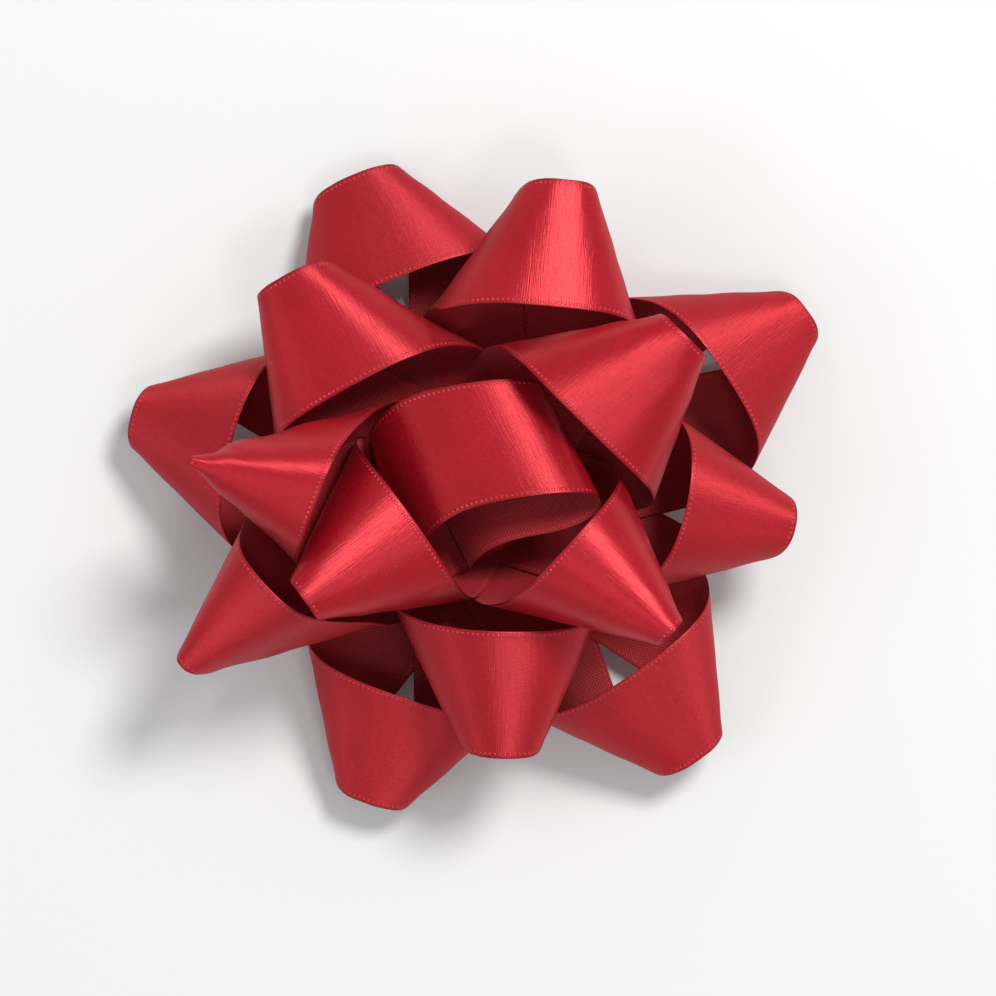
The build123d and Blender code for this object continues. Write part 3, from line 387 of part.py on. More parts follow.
        ((7.423, -44.403, 28.621), (7.588, -39.926, 30.064), (7.792, -33.939, 31.936), (7.990, -27.944, 33.784), (8.137, -23.445, 35.162)),
        ((9.631, -44.053, 27.276), (9.999, -39.717, 29.053), (10.291, -33.810, 31.146), (10.526, -27.856, 33.114), (10.688, -23.376, 34.551)),
        ((10.728, -43.289, 25.410), (11.760, -39.286, 27.603), (12.342, -33.557, 30.071), (12.680, -27.682, 32.244), (12.881, -23.238, 33.780)),
        ((10.819, -42.108, 23.570), (12.793, -38.540, 25.783), (14.027, -33.137, 28.659), (14.602, -27.405, 31.126), (14.887, -23.020, 32.807)),
        ((10.251, -40.572, 22.031), (13.112, -37.433, 23.828), (15.274, -32.458, 26.860), (16.328, -26.970, 29.668), (16.785, -22.686, 31.549)),
        ((9.324, -38.744, 20.717), (12.767, -35.919, 21.966), (15.969, -31.428, 24.737), (17.759, -26.282, 27.778), (18.544, -22.165, 29.892)),
        ((8.141, -36.606, 19.508), (11.912, -33.991, 20.265), (16.019, -29.949, 22.458), (18.695, -25.207, 25.446), (19.994, -21.328, 27.730)),
        ((6.724, -34.116, 18.325), (10.680, -31.648, 18.679), (15.387, -27.943, 20.220), (18.978, -23.631, 22.836), (20.897, -20.035, 25.091)),
        ((5.033, -31.159, 17.116), (9.096, -28.810, 17.119), (14.153, -25.339, 18.087), (18.396, -21.362, 20.179), (21.090, -18.138, 22.079)),
        ((2.951, -27.503, 15.807), (7.071, -25.261, 15.481), (12.313, -21.948, 16.005), (17.039, -18.262, 17.468), (20.436, -15.411, 18.748)),
        ((0.644, -23.370, 14.563), (4.774, -21.232, 13.901), (10.134, -18.064, 13.992), (15.285, -14.678, 14.713), (19.018, -12.027, 15.567)),
        ((-1.396, -19.532, 13.835), (2.689, -17.512, 12.715), (8.132, -14.513, 12.273), (13.475, -11.289, 12.519), (17.331, -8.714, 13.180)),
        ((-3.285, -16.047, 13.592), (0.779, -14.120, 12.080), (6.262, -11.223, 11.110), (11.681, -8.076, 11.027), (15.626, -5.560, 11.381)),
        ((-5.440, -12.277, 12.597), (-1.353, -10.388, 11.731), (4.165, -7.545, 10.700), (9.646, -4.599, 10.215), (13.689, -2.450, 10.679)),
        ((-7.677, -8.246, 12.078), (-3.598, -6.440, 10.912), (1.922, -3.539, 10.278), (7.426, -0.540, 10.387), (11.508, 1.708, 10.666)),
        ((-9.895, -4.482, 11.717), (-5.900, -2.252, 10.850), (-0.404, 0.744, 10.365), (5.114, 3.743, 10.707), (9.225, 5.992, 10.969)),
        ((-12.262, 0.061, 11.464), (-8.326, 2.281, 11.035), (-2.862, 5.273, 11.071), (2.659, 8.273, 10.803), (6.788, 10.522, 11.052)),
    ],
    "upper_loop_1": [
        ((-9.212, 8.450, 11.923), (-7.705, 4.011, 11.558), (-5.679, -1.936, 11.277), (-3.654, -7.895, 12.065), (-2.158, -12.351, 12.646)),
        ((-4.241, 10.154, 11.735), (-2.732, 5.708, 11.509), (-0.705, -0.240, 11.037), (1.320, -6.196, 11.570), (2.829, -10.656, 12.144)),
        ((-0.344, 11.368, 12.318), (1.427, 7.116, 11.619), (3.481, 1.188, 10.958), (5.503, -4.765, 11.022), (7.016, -9.222, 11.550)),
        ((2.456, 12.021, 13.742), (4.595, 8.047, 12.691), (6.999, 2.387, 11.552), (9.057, -3.537, 10.847), (10.534, -8.014, 11.347)),
        ((5.900, 12.876, 15.398), (8.020, 8.887, 14.321), (10.672, 3.423, 13.198), (13.107, -2.205, 12.233), (14.634, -6.631, 12.169)),
        ((9.609, 13.835, 18.093), (11.691, 9.814, 16.747), (14.327, 4.342, 15.192), (16.763, -1.257, 14.096), (18.331, -5.597, 13.959)),
        ((13.741, 14.896, 21.271), (15.782, 10.841, 19.980), (18.367, 5.335, 18.453), (20.639, -0.351, 17.329), (22.008, -4.753, 16.870)),
        ((18.311, 16.060, 24.821), (20.317, 11.977, 23.582), (22.782, 6.398, 22.213), (24.739, 0.576, 21.448), (25.672, -3.925, 21.381)),
        ((22.470, 17.111, 28.087), (24.433, 12.998, 26.908), (26.676, 7.300, 25.815), (28.078, 1.331, 25.584), (28.218, -3.199, 26.045)),
        ((26.072, 18.017, 30.935), (27.955, 13.852, 29.865), (29.812, 8.000, 29.200), (30.234, 1.962, 29.666), (29.188, -2.376, 30.553)),
        ((29.262, 18.812, 33.487), (30.977, 14.555, 32.627), (32.119, 8.554, 32.599), (30.954, 2.728, 33.702), (28.902, -1.269, 34.617)),
        ((32.078, 19.500, 35.822), (33.456, 15.106, 35.338), (33.220, 9.133, 36.101), (30.582, 3.766, 37.324), (28.126, -0.043, 38.131)),
        ((34.366, 20.034, 37.898), (35.088, 15.517, 37.977), (33.112, 9.923, 39.180), (29.799, 4.865, 40.234), (26.768, 1.374, 40.691)),
        ((36.135, 20.423, 39.886), (35.610, 15.993, 40.583), (32.535, 10.819, 41.714), (28.456, 6.194, 42.260), (25.101, 2.937, 42.267)),
        ((37.239, 20.750, 42.067), (35.297, 16.710, 42.976), (31.354, 12.008, 43.614), (26.838, 7.705, 43.511), (23.391, 4.542, 43.230)),
        ((37.193, 21.353, 44.475), (34.259, 17.815, 44.959), (29.713, 13.544, 44.757), (25.100, 9.352, 44.269), (21.636, 6.220, 43.843)),
        ((35.699, 22.865, 46.422), (32.238, 19.727, 46.021), (27.618, 15.558, 45.400), (22.998, 11.392, 44.755), (19.532, 8.268, 44.266)),
        ((33.016, 25.503, 46.789), (29.546, 22.379, 46.340), (24.925, 18.214, 45.693), (20.305, 14.050, 45.035), (16.840, 10.927, 44.539)),
        ((31.186, 27.349, 45.575), (27.478, 24.491, 45.907), (22.793, 20.359, 45.600), (18.157, 16.196, 45.068), (14.686, 13.072, 44.621)),
        ((30.148, 27.971, 43.338), (26.017, 25.945, 44.447), (21.051, 22.160, 44.957), (16.338, 18.051, 44.768), (12.845, 14.936, 44.455)),
        ((29.332, 27.588, 40.858), (24.919, 26.698, 42.172), (19.512, 23.718, 43.513), (14.577, 19.878, 43.968), (11.015, 16.821, 43.925)),
        ((28.422, 26.058, 38.424), (23.897, 26.930, 39.427), (18.196, 24.775, 41.121), (12.873, 21.603, 42.336), (9.138, 18.769, 42.762)),
        ((27.205, 23.883, 35.902), (22.910, 25.930, 36.224), (16.882, 25.465, 38.005), (11.282, 22.942, 39.612), (7.262, 20.610, 40.574)),
        ((25.670, 21.200, 33.120), (21.642, 23.718, 32.939), (15.608, 25.330, 34.139), (9.708, 23.857, 35.989), (5.508, 21.955, 37.197)),
        ((23.940, 18.222, 30.156), (20.083, 20.925, 29.701), (14.363, 23.714, 30.100), (8.214, 24.160, 31.809), (3.818, 22.874, 33.198)),
        ((22.080, 15.035, 27.017), (18.311, 17.815, 26.430), (12.886, 21.109, 26.278), (6.881, 23.123, 27.310), (2.259, 23.099, 28.713)),
        ((20.035, 11.540, 23.591), (16.307, 14.351, 22.944), (11.094, 17.889, 22.444), (5.390, 20.753, 22.797), (0.805, 21.968, 23.776)),
        ((17.838, 7.796, 19.943), (14.126, 10.623, 19.245), (9.047, 14.286, 18.541), (3.612, 17.567, 18.441), (-0.771, 19.511, 18.922)),
        ((15.902, 4.504, 16.755), (12.204, 7.354, 16.015), (7.189, 11.069, 15.379), (1.939, 14.548, 15.448), (-2.226, 16.872, 15.449)),
        ((13.979, 1.244, 14.045), (10.315, 4.113, 13.737), (5.370, 7.887, 13.377), (0.393, 11.621, 13.113), (-3.368, 14.349, 13.021)),
        ((12.430, -1.325, 12.610), (8.782, 1.550, 12.187), (3.789, 5.302, 11.913), (-1.232, 9.028, 12.000), (-4.969, 11.808, 12.246)),
        ((10.565, -4.106, 11.513), (6.806, -1.309, 11.174), (1.736, 2.393, 11.437), (-3.350, 6.081, 11.881), (-7.155, 8.832, 12.225)),
        ((8.530, -6.961, 11.560), (4.720, -4.196, 11.358), (-0.368, -0.507, 11.360), (-5.456, 3.183, 11.823), (-9.265, 5.941, 12.090)),
        ((6.031, -10.402, 12.087), (2.221, -7.640, 12.152), (-2.866, -3.949, 11.786), (-7.957, -0.261, 11.693), (-11.770, 2.502, 11.732)),
        ((5.373, -11.307, 12.157), (1.564, -8.546, 12.344), (-3.524, -4.856, 11.948), (-8.615, -1.168, 11.635), (-12.430, 1.596, 11.619)),
    ],
    "upper_loop_2": [
        ((2.540, -12.239, 12.871), (3.908, -7.758, 12.591), (5.741, -1.744, 11.968), (7.581, 4.265, 14.112), (8.952, 8.694, 15.456)),
        ((-2.181, -10.803, 12.930), (-0.812, -6.320, 12.612), (1.020, -0.304, 11.899), (2.877, 5.715, 13.247), (4.230, 10.091, 15.173)),
        ((-6.258, -9.554, 12.662), (-4.941, -5.066, 12.389), (-3.094, 0.942, 12.074), (-1.256, 6.937, 12.580), (0.113, 11.260, 14.224)),
        ((-8.855, -8.731, 13.273), (-7.637, -4.238, 12.738), (-5.800, 1.767, 12.452), (-3.876, 7.736, 12.755), (-2.525, 12.001, 13.837)),
        ((-11.446, -7.801, 14.491), (-10.323, -3.306, 13.823), (-8.545, 2.695, 13.738), (-6.398, 8.623, 13.776), (-4.433, 12.695, 14.595)),
        ((-14.793, -6.519, 16.413), (-13.639, -2.026, 15.819), (-11.815, 3.988, 15.591), (-9.070, 9.732, 16.291), (-6.235, 13.503, 17.334)),
        ((-18.098, -5.245, 19.574), (-16.946, -0.746, 18.973), (-15.095, 5.295, 18.488), (-11.958, 10.874, 19.400), (-8.548, 14.034, 21.114)),
        ((-22.036, -3.727, 23.515), (-20.860, 0.777, 22.939), (-18.803, 6.790, 22.682), (-15.126, 11.990, 24.126), (-11.207, 14.280, 26.186)),
        ((-25.943, -2.220, 27.429), (-24.855, 2.329, 26.752), (-22.270, 8.164, 27.062), (-17.858, 12.519, 29.192), (-13.611, 13.833, 31.367)),
        ((-29.700, -0.771, 31.185), (-28.653, 3.847, 30.451), (-25.438, 9.394, 31.442), (-20.103, 12.068, 34.215), (-15.760, 12.694, 36.262)),
        ((-33.334, 0.627, 34.753), (-32.115, 5.277, 34.202), (-28.060, 10.102, 36.060), (-22.165, 11.013, 38.922), (-17.751, 10.981, 40.764)),
        ((-36.952, 2.033, 37.989), (-35.104, 6.435, 38.141), (-30.004, 9.420, 40.734), (-24.064, 9.309, 43.210), (-19.656, 8.932, 44.866)),
        ((-39.961, 3.296, 40.971), (-37.540, 7.398, 41.768), (-31.614, 7.967, 44.555), (-25.733, 7.398, 46.727), (-21.327, 6.605, 48.099)),
        ((-42.100, 4.162, 43.474), (-38.928, 7.265, 44.988), (-32.892, 6.538, 47.288), (-27.020, 5.356, 48.997), (-22.620, 4.167, 49.941)),
        ((-43.707, 4.672, 45.376), (-39.732, 6.060, 47.161), (-33.852, 5.016, 48.976), (-27.987, 3.340, 50.073), (-23.587, 1.974, 50.663)),
        ((-44.945, 5.133, 46.940), (-40.500, 5.027, 48.694), (-34.635, 3.338, 49.747), (-28.762, 1.478, 50.380), (-24.353, 0.072, 50.787)),
        ((-45.575, 4.824, 48.559), (-41.172, 3.567, 49.281), (-35.291, 1.691, 49.793), (-29.409, -0.185, 50.285), (-24.998, -1.593, 50.653)),
        ((-45.973, 3.664, 48.274), (-41.764, 2.000, 49.018), (-35.891, 0.115, 49.559), (-30.010, -1.763, 50.060), (-25.603, -3.168, 50.431)),
        ((-44.975, 3.671, 46.895), (-42.096, 0.703, 47.835), (-36.461, -1.499, 48.926), (-30.620, -3.417, 49.595), (-26.235, -4.827, 50.025)),
        ((-43.463, 3.946, 45.526), (-41.869, -0.004, 45.893), (-36.852, -3.007, 47.508), (-31.229, -5.204, 48.634), (-26.938, -6.661, 49.244)),
        ((-41.308, 4.269, 44.080), (-40.863, -0.201, 43.554), (-36.793, -4.172, 45.132), (-31.690, -7.003, 46.721), (-27.753, -8.672, 47.672)),
        ((-38.743, 4.632, 41.810), (-38.799, 0.078, 40.852), (-36.158, -5.056, 41.850), (-31.713, -8.502, 43.549), (-28.629, -10.484, 44.694)),
        ((-35.708, 5.115, 39.073), (-35.902, 0.574, 37.982), (-34.479, -5.245, 38.137), (-31.233, -9.675, 39.565), (-28.812, -11.992, 40.624)),
        ((-32.315, 5.630, 36.186), (-32.723, 1.123, 34.873), (-31.937, -4.938, 34.487), (-29.719, -10.232, 35.357), (-27.826, -13.296, 36.247)),
        ((-28.291, 6.235, 32.817), (-28.799, 1.764, 31.401), (-28.505, -4.361, 30.537), (-26.983, -10.183, 30.832), (-25.155, -14.040, 31.589)),
        ((-23.920, 6.970, 28.891), (-24.462, 2.495, 27.447), (-24.412, -3.642, 26.338), (-23.436, -9.689, 26.144), (-22.019, -13.960, 26.584)),
        ((-19.322, 7.655, 24.966), (-20.012, 3.253, 23.365), (-20.066, -2.885, 22.149), (-19.438, -9.008, 21.628), (-18.322, -13.437, 21.850)),
        ((-14.937, 8.291, 21.184), (-15.672, 3.956, 19.533), (-15.832, -2.157, 18.204), (-15.425, -8.302, 17.570), (-14.505, -12.798, 17.819)),
        ((-11.606, 8.864, 18.342), (-12.330, 4.508, 16.832), (-12.553, -1.599, 15.600), (-12.295, -7.760, 15.385), (-11.630, -12.335, 15.426)),
        ((-7.840, 9.532, 16.098), (-8.672, 5.163, 14.860), (-8.834, -0.983, 13.818), (-8.450, -7.192, 13.428), (-7.856, -11.838, 13.380)),
        ((-5.489, 10.055, 14.519), (-5.935, 5.630, 13.400), (-5.614, -0.575, 12.685), (-5.017, -6.818, 12.801), (-4.568, -11.471, 13.135)),
        ((-3.717, 10.424, 13.861), (-3.583, 5.929, 12.838), (-3.008, -0.302, 12.461), (-2.380, -6.552, 12.939), (-1.906, -11.216, 13.276)),
        ((-0.111, 10.863, 14.401), (0.339, 6.311, 13.202), (0.988, 0.096, 12.399), (1.621, -6.150, 12.931), (2.092, -10.826, 13.248)),
        ((4.868, 11.341, 15.844), (5.337, 6.822, 14.948), (5.959, 0.574, 13.007), (6.598, -5.656, 12.463), (7.072, -10.334, 12.667)),
    ],
    "upper_loop_3": [
        ((5.056, 11.367, 16.276), (1.374, 8.586, 15.205), (-3.636, 4.780, 13.437), (-8.630, 0.984, 14.919), (-12.330, -1.771, 16.112)),
        ((7.545, 8.127, 16.044), (3.843, 5.328, 15.086), (-1.156, 1.525, 13.129), (-6.157, -2.270, 14.201), (-9.848, -5.011, 15.633)),
        ((9.976, 4.882, 15.459), (6.402, 2.003, 14.321), (1.398, -1.831, 13.059), (-3.586, -5.608, 13.589), (-7.244, -8.301, 14.480)),
        ((11.619, 2.537, 15.533), (8.320, -0.576, 13.993), (3.418, -4.480, 13.179), (-1.594, -8.188, 13.819), (-5.177, -10.826, 14.555)),
        ((13.027, 0.384, 16.153), (9.868, -2.883, 14.409), (5.187, -6.945, 14.336), (0.039, -10.488, 14.537), (-3.678, -12.876, 15.037)),
        ((14.725, -2.344, 17.400), (11.550, -5.599, 16.090), (6.790, -9.589, 16.060), (1.374, -12.814, 16.313), (-2.958, -14.500, 16.366)),
        ((16.504, -5.186, 20.129), (13.274, -8.408, 18.956), (8.391, -12.295, 18.172), (2.729, -15.214, 18.629), (-1.793, -16.436, 19.496)),
        ((18.463, -8.310, 23.333), (15.213, -11.543, 22.164), (10.052, -15.146, 21.718), (4.159, -17.513, 22.509), (-0.409, -18.128, 23.799)),
        ((20.537, -11.630, 26.748), (17.166, -14.800, 25.718), (11.723, -18.031, 25.726), (5.642, -19.179, 27.255), (1.133, -19.008, 28.750)),
        ((22.586, -14.909, 30.073), (18.954, -17.851, 29.400), (13.195, -20.375, 30.045), (7.127, -20.214, 32.047), (2.770, -19.106, 33.631)),
        ((24.397, -17.890, 33.297), (20.549, -20.606, 32.937), (14.516, -21.703, 34.441), (8.653, -20.419, 36.552), (4.499, -18.657, 38.036)),
        ((26.045, -20.614, 36.329), (21.848, -22.656, 36.613), (15.844, -22.235, 38.613), (10.289, -19.920, 40.600), (6.302, -17.759, 41.923)),
        ((27.404, -22.910, 39.070), (22.918, -23.824, 40.109), (17.209, -21.938, 42.181), (11.926, -18.980, 43.903), (8.143, -16.362, 44.937)),
        ((28.388, -24.544, 41.596), (23.905, -24.001, 43.132), (18.544, -21.205, 44.936), (13.553, -17.609, 46.210), (9.937, -14.663, 46.874)),
        ((29.105, -25.317, 43.997), (24.915, -23.586, 45.497), (19.894, -20.056, 46.811), (15.119, -16.046, 47.548), (11.587, -12.951, 47.903)),
        ((29.852, -25.241, 46.158), (26.044, -22.684, 47.202), (21.291, -18.634, 47.843), (16.606, -14.467, 48.167), (13.100, -11.327, 48.333)),
        ((30.995, -24.316, 47.760), (27.477, -21.198, 48.011), (22.805, -17.005, 48.175), (18.134, -12.811, 48.304), (14.631, -9.665, 48.395)),
        ((32.503, -22.680, 47.720), (29.015, -19.521, 47.879), (24.348, -15.323, 48.021), (19.678, -11.127, 48.145), (16.175, -7.981, 48.234)),
        ((33.404, -21.473, 46.101), (30.380, -17.984, 46.916), (25.824, -13.695, 47.394), (21.183, -9.475, 47.659), (17.690, -6.320, 47.808)),
        ((33.118, -20.842, 43.914), (31.179, -16.837, 45.030), (27.128, -12.193, 46.123), (22.633, -7.856, 46.724), (19.186, -4.664, 47.022)),
        ((31.733, -20.391, 41.674), (31.304, -15.965, 42.492), (28.093, -10.849, 43.984), (24.024, -6.214, 45.076), (20.726, -2.907, 45.641)),
        ((29.657, -19.857, 39.293), (30.394, -15.313, 39.536), (28.553, -9.670, 41.032), (25.120, -4.652, 42.490), (22.161, -1.115, 43.388)),
        ((27.011, -19.158, 36.651), (28.416, -14.712, 36.371), (28.179, -8.684, 37.410), (25.718, -3.228, 39.004), (23.184, 0.560, 40.119)),
        ((23.893, -18.287, 33.840), (25.717, -14.019, 33.121), (26.657, -7.919, 33.514), (25.561, -2.021, 34.913), (23.671, 2.064, 36.127)),
        ((20.487, -17.326, 30.724), (22.506, -13.186, 29.771), (24.191, -7.192, 29.582), (24.317, -1.081, 30.495), (23.322, 3.314, 31.612)),
        ((16.704, -16.202, 27.468), (18.919, -12.229, 26.252), (21.057, -6.384, 25.629), (22.062, -0.262, 26.003), (21.915, 4.310, 26.848)),
        ((12.938, -15.079, 24.200), (15.234, -11.202, 22.858), (17.691, -5.526, 21.884), (19.253, 0.517, 21.886), (19.720, 5.131, 22.961)),
        ((9.090, -13.952, 20.786), (11.471, -10.172, 19.298), (14.073, -4.582, 18.207), (16.034, 1.344, 18.824), (16.940, 5.930, 20.707)),
        ((5.704, -12.930, 18.203), (8.194, -9.278, 16.825), (10.859, -3.730, 15.619), (13.061, 2.105, 16.938), (14.250, 6.635, 18.044)),
        ((2.652, -12.014, 16.756), (5.198, -8.430, 15.562), (7.919, -2.922, 14.477), (10.198, 2.888, 15.455), (11.753, 7.232, 16.501)),
        ((-0.229, -11.224, 15.230), (1.999, -7.420, 14.168), (4.399, -1.701, 13.849), (6.685, 4.131, 15.450), (8.328, 8.477, 16.453)),
        ((-2.286, -10.604, 14.734), (-0.437, -6.542, 13.826), (1.809, -0.705, 13.630), (4.062, 5.154, 15.476), (5.719, 9.512, 16.464)),
        ((-5.341, -9.481, 14.674), (-3.755, -5.252, 13.924), (-1.517, 0.577, 13.523), (0.716, 6.433, 15.096), (2.402, 10.816, 16.119)),
        ((-9.381, -7.870, 15.507), (-7.805, -3.668, 15.256), (-5.594, 2.156, 14.395), (-3.358, 8.023, 14.165), (-1.661, 12.403, 14.833)),
    ],
    "upper_loop_4": [
        ((8.425, -9.031, 17.264), (7.379, -4.633, 15.671), (5.836, 1.479, 15.503), (4.285, 7.562, 16.493), (3.141, 12.123, 16.538)),
        ((4.720, -10.063, 16.820), (3.628, -5.589, 15.159), (2.089, 0.539, 15.030), (0.536, 6.616, 16.252), (-0.604, 11.167, 16.601)),
        ((1.589, -10.822, 16.437), (0.355, -6.416, 14.599), (-1.190, -0.295, 14.484), (-2.731, 5.787, 15.391), (-3.864, 10.329, 15.989)),
        ((-0.845, -11.342, 16.509), (-2.324, -7.073, 14.657), (-3.890, -0.979, 14.674), (-5.420, 5.102, 15.181), (-6.552, 9.631, 16.504)),
        ((-3.184, -11.781, 16.984), (-4.923, -7.645, 15.608), (-6.652, -1.665, 15.352), (-8.217, 4.406, 15.724), (-9.322, 8.870, 17.602)),
        ((-5.818, -12.114, 18.014), (-7.615, -8.024, 17.306), (-9.538, -2.187, 16.998), (-11.231, 3.755, 17.228), (-12.192, 8.250, 18.997)),
        ((-9.533, -12.587, 19.870), (-11.190, -8.387, 19.231), (-12.996, -2.485, 19.233), (-14.850, 3.352, 20.360), (-15.189, 8.082, 21.944)),
        ((-12.709, -12.983, 22.611), (-14.303, -8.719, 21.448), (-15.904, -2.710, 20.902), (-17.498, 3.166, 22.911), (-17.485, 7.953, 24.672)),
        ((-15.992, -13.368, 25.666), (-17.449, -9.008, 24.630), (-18.828, -2.884, 23.898), (-19.325, 3.350, 25.527), (-18.664, 8.083, 26.253)),
        ((-19.037, -13.700, 28.575), (-20.359, -9.257, 27.687), (-21.256, -2.990, 27.326), (-20.729, 3.355, 28.416), (-19.234, 7.868, 28.953)),
        ((-21.721, -13.974, 31.214), (-22.863, -9.440, 30.512), (-23.122, -3.069, 30.630), (-21.484, 3.064, 31.726), (-19.193, 7.208, 32.445)),
        ((-24.161, -14.215, 33.735), (-24.992, -9.557, 33.328), (-24.298, -3.219, 33.979), (-21.452, 2.414, 35.084), (-18.640, 6.216, 35.748)),
        ((-26.252, -14.408, 36.122), (-26.545, -9.637, 36.141), (-24.588, -3.639, 37.152), (-20.893, 1.468, 38.058), (-17.717, 4.980, 38.498)),
        ((-27.961, -14.529, 38.356), (-27.352, -9.793, 38.869), (-24.215, -4.385, 39.838), (-19.969, 0.280, 40.396), (-16.471, 3.475, 40.465)),
        ((-29.229, -14.578, 40.521), (-27.389, -10.223, 41.315), (-23.474, -5.368, 41.956), (-18.779, -1.152, 41.974), (-15.134, 1.852, 41.716)),
        ((-29.795, -14.723, 42.721), (-26.943, -10.961, 43.339), (-22.395, -6.670, 43.381), (-17.513, -2.710, 42.932), (-13.824, 0.207, 42.463)),
        ((-29.504, -15.336, 44.768), (-25.976, -12.186, 44.756), (-21.133, -8.243, 44.199), (-16.207, -4.384, 43.472), (-12.510, -1.501, 42.886)),
        ((-28.260, -16.918, 45.979), (-24.561, -14.039, 45.383), (-19.654, -10.194, 44.550), (-14.726, -6.363, 43.703), (-11.030, -3.489, 43.065)),
        ((-26.690, -19.112, 45.872), (-22.979, -16.241, 45.314), (-18.051, -12.408, 44.493), (-13.122, -8.576, 43.649), (-9.426, -5.703, 43.011)),
        ((-25.617, -20.757, 44.467), (-21.692, -18.168, 44.539), (-16.681, -14.388, 44.049), (-11.726, -10.562, 43.348), (-8.020, -7.689, 42.771)),
        ((-24.983, -21.411, 42.315), (-20.746, -19.632, 42.945), (-15.500, -16.193, 43.078), (-10.459, -12.443, 42.693), (-6.722, -9.587, 42.255)),
        ((-24.441, -21.118, 39.950), (-20.042, -20.494, 40.684), (-14.471, -17.800, 41.414), (-9.240, -14.326, 41.522), (-5.429, -11.547, 41.324)),
        ((-23.778, -19.892, 37.599), (-19.408, -20.781, 38.034), (-13.617, -18.986, 39.034), (-8.111, -16.092, 39.667), (-4.162, -13.528, 39.809)),
        ((-22.868, -18.101, 35.237), (-18.771, -20.123, 35.108), (-12.833, -19.742, 36.106), (-7.114, -17.519, 37.044), (-2.976, -15.364, 37.538)),
        ((-21.714, -15.934, 32.781), (-17.953, -18.580, 32.137), (-12.092, -19.850, 32.737), (-6.205, -18.518, 33.812), (-1.920, -16.807, 34.514)),
        ((-20.402, -13.552, 30.249), (-16.910, -16.507, 29.248), (-11.348, -19.015, 29.230), (-5.358, -19.013, 30.235), (-0.967, -17.740, 31.045)),
        ((-19.009, -11.056, 27.650), (-15.691, -14.162, 26.438), (-10.480, -17.414, 25.855), (-4.580, -18.665, 26.540), (-0.065, -17.978, 27.404)),
        ((-17.558, -8.496, 25.041), (-14.359, -11.686, 23.694), (-9.458, -15.369, 22.681), (-3.776, -17.505, 23.247), (0.811, -17.649, 24.059)),
        ((-16.170, -6.102, 22.698), (-13.070, -9.348, 21.299), (-8.408, -13.278, 20.115), (-2.988, -16.029, 21.237), (1.599, -16.843, 21.866)),
        ((-14.610, -3.342, 20.633), (-11.559, -6.620, 19.656), (-7.059, -10.683, 18.490), (-1.991, -14.049, 19.225), (2.509, -15.524, 20.075)),
        ((-12.659, -0.016, 19.422), (-9.733, -3.350, 18.175), (-5.307, -7.486, 16.311), (-0.389, -11.173, 16.806), (3.401, -13.591, 18.342)),
        ((-11.433, 2.162, 18.149), (-8.442, -1.118, 16.553), (-3.703, -5.047, 15.109), (1.255, -8.772, 16.086), (4.924, -11.404, 17.618)),
        ((-10.222, 4.319, 17.376), (-6.773, 1.321, 15.621), (-1.825, -2.458, 14.813), (3.203, -6.164, 15.770), (6.917, -8.826, 17.276)),
        ((-9.256, 5.807, 17.232), (-5.618, 2.945, 15.426), (-0.594, -0.795, 14.973), (4.440, -4.478, 15.705), (8.181, -7.181, 17.073)),
        ((-7.803, 7.822, 17.200), (-4.058, 5.065, 15.443), (0.977, 1.322, 15.611), (6.011, -2.381, 15.741), (9.766, -5.099, 16.835)),
        ((-5.218, 11.308, 16.360), (-1.474, 8.548, 16.557), (3.569, 4.820, 16.597), (8.610, 1.087, 16.014), (12.385, -1.656, 16.815)),
    ],
    "centre_loop": [
        ((-0.407, 12.021, 17.754), (1.697, 7.803, 17.742), (4.502, 2.177, 17.738), (7.306, -3.448, 17.784), (9.408, -7.666, 17.872)),
        ((-3.832, 10.301, 17.839), (-1.728, 6.082, 17.809), (1.077, 0.457, 17.798), (3.880, -5.168, 17.889), (5.979, -9.387, 18.069)),
        ((-6.716, 8.853, 17.882), (-4.612, 4.634, 17.851), (-1.807, -0.991, 17.841), (0.996, -6.616, 17.918), (3.097, -10.835, 18.107)),
        ((-8.658, 7.709, 18.635), (-6.554, 3.490, 18.621), (-3.750, -2.135, 18.619), (-0.946, -7.760, 18.658), (1.157, -11.979, 18.773)),
        ((-9.886, 6.848, 19.738), (-7.783, 2.630, 19.816), (-4.979, -2.994, 19.927), (-2.175, -8.618, 20.054), (-0.072, -12.836, 20.183)),
        ((-10.497, 6.411, 20.719), (-8.398, 2.201, 21.018), (-5.599, -3.413, 21.420), (-2.801, -9.026, 21.828), (-0.702, -13.236, 22.145)),
        ((-10.364, 6.551, 21.575), (-8.280, 2.372, 22.214), (-5.501, -3.201, 23.067), (-2.723, -8.774, 23.921), (-0.639, -12.954, 24.566)),
        ((-9.328, 7.331, 22.343), (-7.275, 3.214, 23.370), (-4.538, -2.276, 24.740), (-1.801, -7.766, 26.110), (0.252, -11.884, 27.138)),
        ((-7.238, 8.541, 23.202), (-5.224, 4.501, 24.561), (-2.538, -0.885, 26.373), (0.147, -6.272, 28.184), (2.162, -10.311, 29.543)),
        ((-4.336, 9.656, 24.068), (-2.344, 5.661, 25.584), (0.311, 0.334, 27.605), (2.967, -4.992, 29.627), (4.959, -8.987, 31.143)),
        ((-0.506, 10.559, 24.827), (1.478, 6.579, 26.393), (4.124, 1.273, 28.480), (6.769, -4.033, 30.568), (8.754, -8.012, 32.133)),
        ((3.874, 11.363, 25.578), (5.855, 7.390, 27.167), (8.496, 2.094, 29.285), (11.136, -3.202, 31.403), (13.117, -7.174, 32.991)),
        ((7.325, 12.409, 26.354), (9.302, 8.443, 27.964), (11.939, 3.156, 30.110), (14.575, -2.131, 32.257), (16.552, -6.096, 33.866)),
        ((9.607, 13.603, 27.340), (11.583, 9.638, 28.953), (14.219, 4.352, 31.103), (16.854, -0.934, 33.252), (18.831, -4.898, 34.865)),
